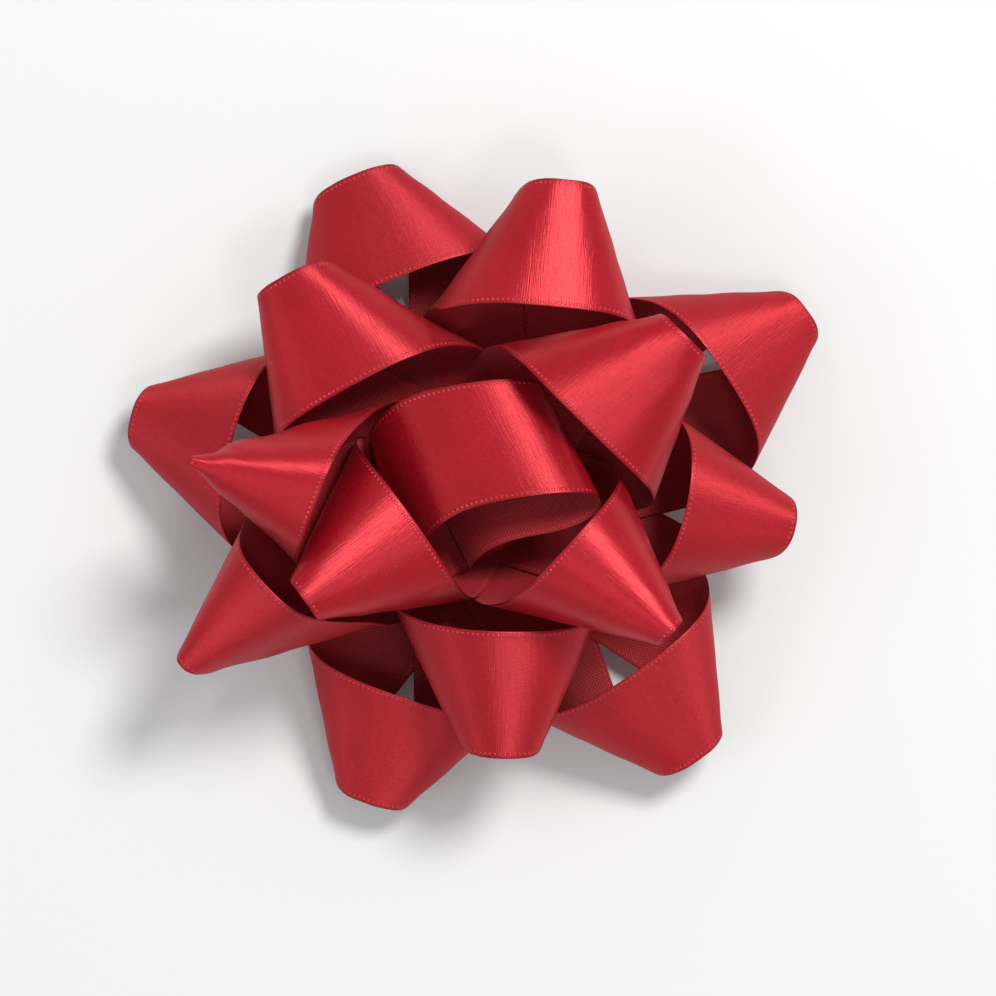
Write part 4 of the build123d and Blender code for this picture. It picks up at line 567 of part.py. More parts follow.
        ((10.918, 14.848, 28.732), (12.895, 10.884, 30.345), (15.531, 5.598, 32.494), (18.166, 0.312, 34.644), (20.143, -3.653, 36.257)),
        ((11.349, 16.028, 30.462), (13.325, 12.063, 32.074), (15.961, 6.777, 34.224), (18.596, 1.491, 36.374), (20.573, -2.474, 37.986)),
        ((10.973, 16.967, 32.214), (12.950, 13.003, 33.826), (15.585, 7.717, 35.976), (18.221, 2.431, 38.126), (20.197, -1.534, 39.738)),
        ((9.614, 17.513, 33.808), (11.590, 13.549, 35.420), (14.226, 8.263, 37.570), (16.862, 2.976, 39.720), (18.838, -0.988, 41.332)),
        ((7.094, 17.706, 35.182), (9.071, 13.742, 36.794), (11.707, 8.456, 38.944), (14.342, 3.170, 41.094), (16.319, -0.795, 42.707)),
        ((3.608, 17.588, 36.151), (5.585, 13.624, 37.764), (8.220, 8.338, 39.913), (10.856, 3.052, 42.063), (12.833, -0.913, 43.676)),
        ((-0.250, 17.169, 36.492), (1.726, 13.205, 38.105), (4.362, 7.918, 40.255), (6.997, 2.632, 42.404), (8.974, -1.332, 44.017)),
        ((-4.462, 16.470, 36.233), (-2.485, 12.506, 37.846), (0.150, 7.220, 39.996), (2.786, 1.934, 42.145), (4.762, -2.031, 43.758)),
        ((-8.406, 15.578, 35.570), (-6.456, 11.616, 37.214), (-3.824, 6.330, 39.368), (-1.188, 1.044, 41.518), (0.789, -2.920, 43.131)),
        ((-11.549, 14.378, 34.473), (-9.693, 10.423, 36.235), (-7.083, 5.139, 38.416), (-4.447, -0.147, 40.565), (-2.470, -4.111, 42.178)),
        ((-14.060, 12.799, 32.928), (-12.292, 8.850, 34.795), (-9.700, 3.567, 36.998), (-7.065, -1.719, 39.148), (-5.088, -5.684, 40.760)),
        ((-16.065, 10.944, 31.105), (-14.257, 6.976, 32.886), (-11.656, 1.689, 35.072), (-9.021, -3.597, 37.221), (-7.044, -7.561, 38.834)),
        ((-17.145, 9.140, 28.964), (-15.433, 5.077, 30.624), (-12.856, -0.231, 32.783), (-10.220, -5.517, 34.933), (-8.244, -9.482, 36.545)),
        ((-16.958, 7.651, 26.444), (-15.766, 3.320, 27.997), (-13.309, -2.050, 30.133), (-10.673, -7.336, 32.283), (-8.697, -11.301, 33.896)),
        ((-16.318, 6.357, 24.080), (-15.339, 1.883, 25.443), (-13.001, -3.575, 27.474), (-10.358, -8.878, 29.572), (-8.373, -12.853, 31.149)),
        ((-15.564, 5.183, 22.904), (-14.368, 0.650, 23.736), (-11.961, -4.973, 25.144), (-9.239, -10.424, 26.694), (-7.176, -14.500, 27.887)),
        ((-14.757, 4.694, 21.986), (-13.223, 0.203, 22.234), (-10.668, -5.508, 22.857), (-7.864, -11.076, 23.692), (-5.669, -15.201, 24.464)),
        ((-13.651, 5.013, 20.727), (-11.831, 0.636, 20.586), (-9.171, -5.068, 20.639), (-6.311, -10.658, 20.971), (-3.929, -14.723, 21.632)),
        ((-11.840, 6.126, 19.170), (-9.887, 1.826, 18.886), (-7.164, -3.843, 18.739), (-4.277, -9.424, 18.914), (-1.898, -13.493, 19.475)),
        ((-10.650, 6.855, 18.431), (-8.659, 2.579, 18.164), (-5.912, -3.076, 18.031), (-3.031, -8.660, 18.206), (-0.715, -12.762, 18.695)),
        ((-8.922, 7.829, 17.788), (-6.887, 3.577, 17.582), (-4.115, -2.065, 17.484), (-1.261, -7.663, 17.633), (0.963, -11.814, 18.006)),
        ((-6.724, 8.937, 17.491), (-4.652, 4.704, 17.378), (-1.861, -0.928, 17.330), (0.962, -6.542, 17.428), (3.104, -10.735, 17.701)),
        ((-3.843, 10.359, 17.508), (-1.747, 6.137, 17.488), (1.055, 0.511, 17.485), (3.861, -5.112, 17.524), (5.965, -9.325, 17.751)),
        ((-0.433, 12.076, 17.408), (1.670, 7.856, 17.415), (4.474, 2.231, 17.418), (7.278, -3.394, 17.427), (9.378, -7.611, 17.542)),
    ],
}

os.makedirs("parts", exist_ok=True)


def ribbon_normals(stations):
    """Unit normal of the ribbon's mid-surface at every listed point."""
    last, side = len(stations) - 1, len(stations[0]) - 1
    rows = []
    for i in range(last + 1):
        row = []
        for j in range(side + 1):
            along = Vector(*stations[min(i + 1, last)][j]) - Vector(*stations[max(i - 1, 0)][j])
            across = Vector(*stations[i][min(j + 1, side)]) - Vector(*stations[i][max(j - 1, 0)])
            row.append(along.cross(across).normalized())
        rows.append(row)
    return rows


def triangle(a, b, c):
    return Face(Wire.make_polygon([a, b, c], close=True))


def ribbon_loop(name, stations, hole_top):
    """Ribbon of even thickness along the stations, pierced for the rivet."""
    half = ribbon_thickness / 2
    normals = ribbon_normals(stations)
    upper, lower = [], []
    for points, ups in zip(stations, normals):
        upper.append([Vector(*p) + n * half for p, n in zip(points, ups)])
        lower.append([Vector(*p) - n * half for p, n in zip(points, ups)])
    last, side = len(stations) - 1, len(stations[0]) - 1
    skin = []
    for i in range(last):
        for j in range(side):
            a, b, c, d = upper[i][j], upper[i + 1][j], upper[i + 1][j + 1], upper[i][j + 1]
            skin += [triangle(a, b, c), triangle(a, c, d)]
            a, b, c, d = lower[i][j], lower[i + 1][j], lower[i + 1][j + 1], lower[i][j + 1]
            skin += [triangle(c, b, a), triangle(d, c, a)]
        for j in (0, side):
            a, b, c, d = upper[i][j], upper[i + 1][j], lower[i + 1][j], lower[i][j]
            skin += [triangle(a, b, c), triangle(a, c, d)]
    for i in (0, last):
        for j in range(side):
            a, b, c, d = upper[i][j], upper[i][j + 1], lower[i][j + 1], lower[i][j]
            skin += [triangle(a, b, c), triangle(a, c, d)]
    with BuildPart() as loop:
        add(Solid(Shell(skin)))
        with Locations((0, 0, hole_top / 2)):
            Cylinder(pin_hole_radius, hole_top, mode=Mode.SUBTRACT)
    loop.part.label = name
    export_step(loop.part, "parts/%s.step" % name)
    return loop


with BuildPart() as release_liner:
    with BuildSketch(Plane.XY):
        Circle(liner_radius)
        with Locations((0, -(liner_radius + liner_tab_length / 2 - 2.0))):
            RectangleRounded(liner_tab_width, liner_tab_length + 4.0, 1.8)
    extrude(amount=liner_thickness)
release_liner.part.label = "release_liner"
export_step(release_liner.part, "parts/release_liner.step")

with BuildPart() as adhesive_pad:
    with BuildSketch(Plane.XY.offset(pad_bottom)):
        Circle(pad_radius)
    extrude(amount=pad_thickness)
    with BuildSketch(Plane.XY.offset(pad_top)):
        Circle(flange_radius + 0.1)
    extrude(amount=-(flange_thickness + 0.05), mode=Mode.SUBTRACT)
adhesive_pad.part.label = "adhesive_pad"
export_step(adhesive_pad.part, "parts/adhesive_pad.step")

with BuildPart() as base_card:
    with BuildSketch(Plane.XY.offset(pad_top)):
        Circle(card_radius)
        Circle(pin_radius + 0.05, mode=Mode.SUBTRACT)
    extrude(amount=card_thickness)
base_card.part.label = "base_card"
export_step(base_card.part, "parts/base_card.step")

pin_top = cap_bottom + cap_thickness - 0.45
with BuildPart() as rivet_post:
    with BuildSketch(Plane.XY.offset(pad_top - flange_thickness)):
        Circle(flange_radius)
    extrude(amount=flange_thickness)
    with BuildSketch(Plane.XY.offset(pad_top)):
        Circle(pin_radius)
    extrude(amount=pin_top - pad_top)
    chamfer(rivet_post.edges().group_by(Axis.Z)[-1], 0.15)
rivet_post.part.label = "rivet_post"
export_step(rivet_post.part, "parts/rivet_post.step")

with BuildPart() as rivet_cap:
    with BuildSketch(Plane.XY.offset(cap_bottom)):
        Circle(cap_radius)
    extrude(amount=cap_thickness)
    fillet(rivet_cap.edges().group_by(Axis.Z)[-1], 0.35)
    with BuildSketch(Plane.XY.offset(cap_bottom)):
        Circle(pin_radius + 0.02)
    extrude(amount=cap_thickness - 0.40, mode=Mode.SUBTRACT)
rivet_cap.part.label = "rivet_cap"
export_step(rivet_cap.part, "parts/rivet_cap.step")

for name, stations in paths.items():
    loop = ribbon_loop(name, stations, cap_bottom + 0.3)
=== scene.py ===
import math
import bpy
import numpy as np
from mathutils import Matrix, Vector


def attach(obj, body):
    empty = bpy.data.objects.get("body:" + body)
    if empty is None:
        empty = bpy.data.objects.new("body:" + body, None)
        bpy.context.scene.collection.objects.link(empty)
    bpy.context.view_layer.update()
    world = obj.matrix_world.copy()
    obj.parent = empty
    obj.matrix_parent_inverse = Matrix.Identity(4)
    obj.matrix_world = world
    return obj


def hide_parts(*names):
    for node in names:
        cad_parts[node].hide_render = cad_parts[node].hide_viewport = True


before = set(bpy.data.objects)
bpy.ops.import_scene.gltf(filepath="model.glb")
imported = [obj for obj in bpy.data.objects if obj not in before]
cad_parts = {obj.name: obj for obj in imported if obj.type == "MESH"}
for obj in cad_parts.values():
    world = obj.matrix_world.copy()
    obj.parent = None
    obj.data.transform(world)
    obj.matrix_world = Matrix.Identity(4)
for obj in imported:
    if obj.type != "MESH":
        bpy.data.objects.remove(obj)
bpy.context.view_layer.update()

THICKNESS = 0.14             # mm
HOLE = 1.30                  # mm, radius of the hole pierced for the rivet
HOLE_TOP = 18.47             # mm, above the last pierced pass
ACROSS = (-11.0, -6.286, 0.0, 6.286, 11.0)

# Ribbon path of every loop in millimetres: one station per line, five points across.
PATHS = {
    "lower_loop_1": [
        ((-10.929, -6.065, 2.983), (-6.238, -6.041, 2.527), (0.042, -6.000, 2.295), (6.327, -5.957, 2.315), (11.038, -5.926, 2.470)),
        ((-10.986, 0.462, 2.754), (-6.287, 0.490, 2.409), (-0.003, 0.532, 2.280), (6.280, 0.575, 2.394), (10.986, 0.603, 2.671)),
        ((-11.041, 6.976, 2.523), (-6.333, 7.003, 2.317), (-0.047, 7.046, 2.305), (6.231, 7.089, 2.555), (10.925, 7.111, 2.984)),
        ((-11.090, 13.390, 2.385), (-6.377, 13.420, 2.295), (-0.092, 13.465, 2.346), (6.172, 13.505, 2.774), (10.842, 13.525, 3.425)),
        ((-11.135, 19.795, 2.259), (-6.419, 19.828, 2.279), (-0.141, 19.873, 2.445), (6.094, 19.903, 3.154), (10.722, 19.902, 4.081)),
        ((-11.175, 25.652, 1.977), (-6.460, 25.685, 2.097), (-0.201, 25.724, 2.617), (5.986, 25.731, 3.744), (10.533, 25.685, 5.020)),
        ((-11.211, 30.996, 1.901), (-6.503, 31.029, 2.139), (-0.278, 31.054, 3.013), (5.809, 31.005, 4.621), (10.191, 30.847, 6.386)),
        ((-11.244, 35.660, 1.904), (-6.550, 35.689, 2.332), (-0.391, 35.681, 3.620), (5.494, 35.499, 5.858), (9.504, 35.039, 8.314)),
        ((-11.274, 39.398, 1.966), (-6.605, 39.417, 2.625), (-0.562, 39.340, 4.398), (4.928, 38.846, 7.433), (8.236, 37.700, 10.591)),
        ((-11.304, 42.463, 2.086), (-6.677, 42.461, 3.023), (-0.846, 42.237, 5.391), (3.895, 41.038, 9.301), (6.479, 39.046, 12.700)),
        ((-11.339, 45.087, 2.277), (-6.786, 45.042, 3.544), (-1.368, 44.480, 6.666), (2.429, 42.242, 11.108), (4.511, 39.539, 14.349)),
        ((-11.389, 47.420, 2.558), (-6.973, 47.284, 4.246), (-2.311, 45.990, 8.184), (0.699, 42.725, 12.598), (2.502, 39.526, 15.551)),
        ((-11.471, 49.581, 2.971), (-7.357, 49.203, 5.253), (-3.676, 46.809, 9.678), (-1.176, 42.720, 13.726), (0.516, 39.256, 16.438)),
        ((-11.642, 51.633, 3.621), (-8.215, 50.589, 6.636), (-5.398, 47.019, 10.924), (-3.125, 42.443, 14.580), (-1.475, 38.833, 17.124)),
        ((-12.154, 53.457, 4.775), (-9.723, 51.235, 8.098), (-7.389, 46.799, 11.875), (-5.191, 41.973, 15.248), (-3.555, 38.276, 17.673)),
        ((-13.677, 54.426, 6.437), (-11.921, 51.105, 9.271), (-9.727, 46.257, 12.615), (-7.548, 41.292, 15.795), (-5.914, 37.539, 18.134)),
        ((-16.512, 54.064, 7.704), (-14.877, 50.339, 10.086), (-12.698, 45.319, 13.178), (-10.517, 40.277, 16.233), (-8.880, 36.489, 18.512)),
        ((-20.272, 52.742, 8.195), (-18.633, 48.942, 10.452), (-16.446, 43.874, 13.460), (-14.259, 38.806, 16.469), (-12.619, 35.006, 18.725)),
        ((-23.839, 51.058, 7.950), (-22.233, 47.306, 10.309), (-20.066, 42.272, 13.387), (-17.889, 37.223, 16.433), (-16.253, 33.431, 18.708)),
        ((-26.294, 49.368, 6.986), (-24.921, 45.780, 9.713), (-22.849, 40.844, 13.008), (-20.713, 35.848, 16.167), (-19.094, 32.082, 18.496)),
        ((-27.235, 47.615, 5.452), (-26.783, 44.320, 8.741), (-24.983, 39.552, 12.413), (-22.935, 34.635, 15.749), (-21.350, 30.907, 18.159)),
        ((-26.733, 45.860, 4.139), (-27.792, 42.773, 7.393), (-26.710, 38.261, 11.588), (-24.842, 33.459, 15.183), (-23.319, 29.789, 17.703)),
        ((-25.520, 44.147, 3.373), (-27.866, 41.096, 5.933), (-28.060, 36.851, 10.463), (-26.574, 32.225, 14.425), (-25.163, 28.649, 17.091)),
        ((-24.056, 42.410, 2.928), (-27.031, 39.319, 4.752), (-28.800, 35.228, 8.998), (-28.117, 30.850, 13.376), (-26.931, 27.456, 16.223)),
        ((-22.410, 40.557, 2.637), (-25.643, 37.428, 3.946), (-28.773, 33.360, 7.380), (-29.312, 29.245, 11.907), (-28.604, 26.210, 14.905)),
        ((-20.543, 38.498, 2.436), (-23.894, 35.343, 3.384), (-27.811, 31.228, 5.924), (-29.848, 27.335, 9.981), (-29.984, 24.891, 12.825)),
        ((-18.399, 36.160, 2.304), (-21.811, 32.987, 2.982), (-26.088, 28.823, 4.830), (-29.419, 25.084, 7.809), (-30.581, 22.883, 10.233)),
        ((-15.943, 33.493, 2.242), (-19.385, 30.308, 2.696), (-23.836, 26.108, 4.036), (-27.830, 22.394, 5.917), (-30.073, 20.082, 7.664)),
        ((-13.086, 30.396, 2.255), (-16.544, 27.205, 2.513), (-21.083, 22.978, 3.457), (-25.367, 19.081, 4.698), (-28.202, 16.539, 5.720)),
        ((-9.627, 26.647, 2.397), (-13.089, 23.452, 2.504), (-17.676, 19.207, 3.045), (-22.131, 15.066, 4.080), (-25.259, 12.160, 4.880)),
        ((-5.446, 22.116, 2.585), (-8.907, 18.919, 2.590), (-13.514, 14.663, 2.832), (-18.073, 10.431, 3.583), (-21.406, 7.294, 4.508)),
        ((-1.078, 17.381, 2.723), (-4.537, 14.184, 2.622), (-9.152, 9.923, 2.691), (-13.749, 5.674, 3.185), (-17.156, 2.502, 3.903)),
        ((3.307, 12.626, 2.857), (-0.149, 9.429, 2.651), (-4.766, 5.166, 2.636), (-9.375, 0.904, 2.938), (-12.812, -2.285, 3.428)),
        ((7.728, 7.825, 3.036), (4.275, 4.633, 2.720), (-0.342, 0.371, 2.600), (-4.959, -3.892, 2.741), (-8.411, -7.085, 3.068)),
        ((12.131, 3.042, 3.217), (8.684, -0.148, 2.824), (4.069, -4.409, 2.605), (-0.550, -8.672, 2.637), (-4.009, -11.868, 2.840)),
    ],
    "lower_loop_2": [
        ((12.339, -2.097, 3.442), (8.649, 0.818, 3.265), (3.716, 4.711, 3.113), (-1.219, 8.604, 3.025), (-4.918, 11.523, 3.092)),
        ((8.710, -6.705, 3.286), (5.016, -3.788, 3.075), (0.082, 0.105, 3.016), (-4.852, 3.998, 3.082), (-8.547, 6.916, 3.253)),
        ((5.179, -11.187, 3.187), (1.482, -8.269, 3.075), (-3.452, -4.376, 3.191), (-8.384, -0.484, 3.438), (-12.071, 2.433, 3.731)),
        ((1.739, -15.551, 3.116), (-1.960, -12.633, 3.215), (-6.894, -8.740, 3.398), (-11.820, -4.848, 3.719), (-15.490, -1.933, 4.154)),
        ((-1.254, -19.348, 3.066), (-4.955, -16.429, 3.035), (-9.888, -12.536, 3.174), (-14.801, -8.646, 3.602), (-18.443, -5.736, 4.275)),
        ((-4.526, -23.497, 3.035), (-8.227, -20.577, 3.002), (-13.156, -16.684, 3.224), (-18.039, -12.800, 3.978), (-21.616, -9.898, 5.008)),
        ((-8.003, -27.905, 3.028), (-11.704, -24.985, 3.059), (-16.618, -21.095, 3.515), (-21.422, -17.221, 4.724), (-24.828, -14.334, 6.266)),
        ((-11.074, -31.798, 3.044), (-14.773, -28.879, 3.175), (-19.647, -24.995, 3.981), (-24.263, -21.139, 5.830), (-27.237, -18.261, 8.107)),
        ((-13.644, -35.056, 3.075), (-17.334, -32.138, 3.363), (-22.118, -28.266, 4.647), (-26.289, -24.425, 7.363), (-28.340, -21.500, 10.443)),
        ((-15.862, -37.868, 3.138), (-19.529, -34.954, 3.662), (-24.104, -31.099, 5.600), (-27.276, -27.224, 9.363), (-28.225, -24.167, 12.834)),
        ((-17.794, -40.323, 3.250), (-21.406, -37.416, 4.115), (-25.464, -33.571, 6.955), (-27.194, -29.554, 11.449), (-27.489, -26.371, 14.910)),
        ((-19.452, -42.442, 3.436), (-22.934, -39.547, 4.769), (-25.921, -35.650, 8.608), (-26.567, -31.457, 13.241), (-26.125, -28.067, 16.478)),
        ((-20.906, -44.332, 3.739), (-24.053, -41.447, 5.734), (-25.669, -37.407, 10.229), (-25.350, -32.966, 14.634), (-24.433, -29.380, 17.549)),
        ((-22.199, -46.099, 4.232), (-24.511, -43.181, 7.076), (-24.885, -38.921, 11.658), (-23.756, -34.181, 15.616), (-22.618, -30.461, 18.279)),
        ((-23.202, -47.828, 5.134), (-24.218, -44.768, 8.551), (-23.461, -40.169, 12.726), (-21.950, -35.211, 16.279), (-20.715, -31.410, 18.779)),
        ((-23.363, -49.545, 6.592), (-23.085, -46.191, 9.851), (-21.611, -41.255, 13.446), (-19.944, -36.165, 16.735), (-18.663, -32.311, 19.129)),
        ((-22.115, -51.207, 8.089), (-20.943, -47.456, 10.688), (-19.245, -42.329, 13.902), (-17.517, -37.160, 17.035), (-16.215, -33.273, 19.363)),
        ((-18.900, -52.691, 8.732), (-17.592, -48.792, 11.037), (-15.847, -43.590, 14.104), (-14.102, -38.387, 17.169), (-12.793, -34.485, 19.468)),
        ((-15.121, -53.852, 8.550), (-13.817, -49.995, 10.927), (-12.077, -44.815, 14.034), (-10.334, -39.623, 17.118), (-9.026, -35.725, 19.425)),
        ((-12.470, -54.092, 7.579), (-11.063, -50.599, 10.401), (-9.318, -45.557, 13.723), (-7.580, -40.421, 16.903), (-6.276, -36.547, 19.252)),
        ((-10.965, -53.187, 6.072), (-8.931, -50.648, 9.426), (-7.059, -45.985, 13.187), (-5.310, -40.969, 16.547), (-4.007, -37.144, 18.971)),
        ((-10.309, -51.537, 4.862), (-7.372, -49.982, 8.043), (-5.015, -46.126, 12.362), (-3.196, -41.355, 16.019), (-1.887, -37.619, 18.559)),
        ((-10.169, -49.427, 4.224), (-6.288, -48.733, 6.587), (-3.191, -45.815, 11.140), (-1.122, -41.551, 15.235), (0.214, -37.996, 17.948)),
        ((-10.157, -47.092, 3.879), (-5.763, -46.802, 5.397), (-1.694, -44.878, 9.581), (0.914, -41.431, 14.057), (2.333, -38.273, 16.992)),
        ((-10.186, -44.473, 3.664), (-5.598, -44.315, 4.622), (-0.454, -43.364, 7.863), (2.775, -40.754, 12.364), (4.383, -38.397, 15.404)),
        ((-10.235, -41.479, 3.521), (-5.570, -41.365, 4.127), (0.240, -40.945, 6.306), (4.376, -39.441, 10.219), (6.168, -38.018, 12.920)),
        ((-10.295, -38.152, 3.438), (-5.599, -38.056, 3.807), (0.484, -37.825, 5.236), (5.547, -37.343, 7.919), (7.881, -36.549, 10.210)),
        ((-10.362, -34.498, 3.396), (-5.654, -34.407, 3.595), (0.542, -34.245, 4.543), (6.143, -34.146, 6.146), (9.374, -33.968, 7.721)),
        ((-10.442, -30.179, 3.377), (-5.730, -30.090, 3.451), (0.520, -29.956, 4.050), (6.495, -29.847, 5.144), (10.434, -29.831, 6.055)),
        ((-10.544, -24.698, 3.372), (-5.830, -24.611, 3.364), (0.444, -24.489, 3.683), (6.640, -24.343, 4.526), (11.119, -24.201, 5.465)),
        ((-10.654, -18.707, 3.398), (-5.941, -18.620, 3.329), (0.341, -18.502, 3.458), (6.598, -18.371, 4.013), (11.238, -18.246, 4.781)),
        ((-10.760, -12.933, 3.490), (-6.048, -12.846, 3.607), (0.236, -12.729, 3.462), (6.510, -12.607, 3.679), (11.191, -12.502, 4.213)),
        ((-10.870, -6.802, 3.935), (-6.162, -6.715, 3.711), (0.123, -6.598, 3.415), (6.404, -6.481, 3.472), (11.103, -6.388, 3.820)),
        ((-10.982, -0.572, 4.004), (-6.277, -0.483, 3.591), (0.007, -0.366, 3.352), (6.291, -0.250, 3.505), (10.998, -0.160, 3.666)),
        ((-11.094, 5.792, 3.820), (-6.393, 5.882, 3.459), (-0.111, 5.999, 3.378), (6.173, 6.116, 3.442), (10.885, 6.204, 3.528)),
    ],
    "lower_loop_3": [
        ((-8.145, 9.490, 4.247), (-7.174, 4.898, 4.042), (-5.869, -1.247, 4.014), (-4.563, -7.395, 4.064), (-3.584, -12.005, 4.076)),
        ((-2.210, 10.759, 4.081), (-1.237, 6.162, 3.857), (0.069, 0.015, 3.835), (1.375, -6.133, 3.901), (2.353, -10.742, 3.987)),
        ((3.849, 12.053, 3.911), (4.824, 7.450, 3.859), (6.130, 1.302, 3.958), (7.436, -4.844, 4.039), (8.411, -9.449, 4.228)),
        ((9.970, 13.358, 3.924), (10.947, 8.752, 3.830), (12.252, 2.602, 3.957), (13.558, -3.541, 4.121), (14.528, -8.136, 4.438)),
        ((15.600, 14.557, 3.732), (16.579, 9.948, 3.587), (17.885, 3.800, 3.671), (19.187, -2.340, 4.036), (20.144, -6.916, 4.678)),
        ((22.144, 15.950, 3.592), (23.124, 11.339, 3.567), (24.429, 5.194, 3.774), (25.717, -0.925, 4.434), (26.647, -5.467, 5.329)),
        ((28.623, 17.327, 3.542), (29.602, 12.716, 3.585), (30.902, 6.579, 3.993), (32.155, 0.507, 5.066), (33.006, -3.945, 6.412)),
        ((34.471, 18.569, 3.527), (35.450, 13.960, 3.656), (36.731, 7.849, 4.399), (37.888, 1.890, 6.083), (38.523, -2.347, 8.095)),
        ((39.372, 19.611, 3.532), (40.347, 15.007, 3.809), (41.579, 8.960, 5.042), (42.479, 3.258, 7.572), (42.578, -0.530, 10.405)),
        ((43.455, 20.479, 3.567), (44.419, 15.893, 4.084), (45.518, 9.992, 5.995), (45.788, 4.826, 9.576), (45.035, 1.635, 12.979)),
        ((46.974, 21.230, 3.653), (47.903, 16.688, 4.543), (48.638, 11.130, 7.398), (47.816, 6.749, 11.830), (46.507, 3.892, 15.352)),
        ((49.884, 21.859, 3.822), (50.716, 17.424, 5.236), (50.641, 12.509, 9.117), (48.973, 8.653, 13.798), (47.070, 6.083, 17.261)),
        ((52.316, 22.406, 4.111), (52.886, 18.219, 6.228), (51.786, 14.013, 10.756), (49.363, 10.530, 15.384), (46.867, 8.166, 18.612)),
        ((54.426, 22.944, 4.605), (54.338, 19.276, 7.537), (52.356, 15.578, 12.203), (49.084, 12.403, 16.522), (46.264, 10.097, 19.517)),
        ((56.234, 23.631, 5.477), (55.221, 20.591, 8.927), (52.230, 17.319, 13.358), (48.441, 14.243, 17.321), (45.462, 11.939, 20.159)),
        ((57.429, 24.815, 6.846), (55.356, 22.294, 10.220), (51.556, 19.217, 14.170), (47.534, 16.139, 17.897), (44.478, 13.823, 20.642)),
        ((57.462, 26.872, 8.287), (54.464, 24.564, 11.102), (50.372, 21.473, 14.740), (46.256, 18.374, 18.344), (43.163, 16.047, 21.039)),
        ((55.649, 29.959, 8.847), (52.550, 27.630, 11.533), (48.416, 24.524, 15.110), (44.281, 21.418, 18.688), (41.180, 19.089, 21.370)),
        ((53.487, 32.342, 8.452), (50.556, 30.230, 11.476), (46.507, 27.194, 15.206), (42.407, 24.111, 18.843), (39.320, 21.790, 21.548)),
        ((51.362, 33.083, 7.171), (48.645, 31.888, 10.795), (44.789, 29.176, 14.946), (40.784, 26.189, 18.763), (37.738, 23.901, 21.542)),
        ((49.300, 32.825, 5.804), (46.596, 32.672, 9.557), (42.944, 30.776, 14.280), (39.086, 28.040, 18.419), (36.108, 25.833, 21.335)),
        ((47.277, 31.518, 4.795), (44.415, 32.758, 8.075), (40.837, 31.878, 13.116), (37.149, 29.709, 17.711), (34.270, 27.687, 20.850)),
        ((45.165, 29.580, 4.278), (42.070, 32.095, 6.539), (38.436, 32.300, 11.516), (34.850, 31.036, 16.497), (32.087, 29.405, 19.948)),
        ((42.787, 27.244, 4.013), (39.543, 30.330, 5.327), (35.693, 32.237, 9.635), (32.112, 31.756, 14.725), (29.424, 30.772, 18.462)),
        ((40.043, 24.509, 3.891), (36.738, 27.773, 4.596), (32.603, 31.177, 7.625), (28.925, 31.899, 12.540), (26.243, 31.461, 16.366)),
        ((36.989, 21.454, 3.859), (33.663, 24.769, 4.200), (29.349, 28.851, 6.075), (25.421, 31.287, 10.144), (22.694, 31.556, 13.923)),
        ((33.646, 18.108, 3.870), (30.313, 21.437, 3.996), (25.919, 25.758, 5.112), (21.741, 29.360, 7.959), (18.859, 30.851, 11.296)),
        ((29.837, 14.296, 3.897), (26.502, 17.628, 3.909), (22.074, 22.033, 4.522), (17.748, 26.161, 6.341), (14.664, 28.673, 8.788)),
        ((25.532, 9.989, 3.944), (22.198, 13.321, 3.896), (17.757, 17.754, 4.178), (13.360, 22.084, 5.292), (10.143, 25.093, 6.906)),
        ((20.914, 5.368, 4.012), (17.579, 8.699, 3.921), (13.134, 13.141, 4.177), (8.707, 17.544, 4.678), (5.426, 20.748, 5.708)),
        ((16.275, 0.726, 4.175), (12.940, 4.056, 4.276), (8.493, 8.499, 4.175), (4.054, 12.929, 4.321), (0.744, 16.208, 5.017)),
        ((11.490, -4.059, 4.542), (8.156, -0.730, 4.394), (3.710, 3.712, 4.212), (-0.735, 8.152, 4.231), (-4.059, 11.462, 4.593)),
        ((7.824, -7.725, 4.454), (4.491, -4.397, 4.234), (0.045, 0.045, 4.170), (-4.400, 4.487, 4.284), (-7.729, 7.809, 4.432)),
        ((3.536, -12.013, 4.360), (0.205, -8.686, 4.338), (-4.241, -4.244, 4.361), (-8.687, 0.198, 4.316), (-12.019, 3.526, 4.370)),
    ],
    "lower_loop_4": [
        ((-0.427, -12.500, 4.966), (1.967, -8.460, 4.758), (5.165, -3.053, 4.706), (8.364, 2.357, 4.770), (10.762, 6.406, 4.860)),
        ((-5.854, -9.300, 4.793), (-3.458, -5.255, 4.798), (-0.259, 0.154, 4.666), (2.939, 5.561, 4.725), (5.335, 9.597, 4.961)),
        ((-11.187, -6.154, 4.642), (-8.789, -2.104, 4.712), (-5.590, 3.306, 4.766), (-2.393, 8.705, 4.883), (-0.001, 12.713, 5.318)),
        ((-16.171, -3.211, 4.647), (-13.773, 0.842, 4.606), (-10.571, 6.253, 4.762), (-7.381, 11.632, 5.104), (-4.996, 15.589, 5.852)),
        ((-20.219, -0.820, 4.549), (-17.821, 3.235, 4.682), (-14.623, 8.642, 4.473), (-11.433, 13.997, 5.216), (-9.056, 17.866, 6.496)),
        ((-24.843, 1.919, 4.484), (-22.449, 5.972, 5.342), (-19.255, 11.359, 5.216), (-16.074, 16.623, 5.922), (-13.703, 20.340, 7.589)),
        ((-29.829, 4.877, 4.218), (-27.430, 8.925, 5.250), (-24.270, 14.220, 6.199), (-21.086, 19.302, 7.078), (-18.713, 22.654, 9.378)),
        ((-33.922, 7.278, 4.237), (-31.526, 11.323, 4.488), (-28.372, 16.440, 6.366), (-25.182, 21.142, 8.581), (-22.768, 23.905, 11.506)),
        ((-37.469, 9.376, 4.235), (-35.077, 13.401, 4.670), (-31.920, 18.310, 6.826), (-28.703, 22.250, 10.391), (-26.179, 24.144, 13.821)),
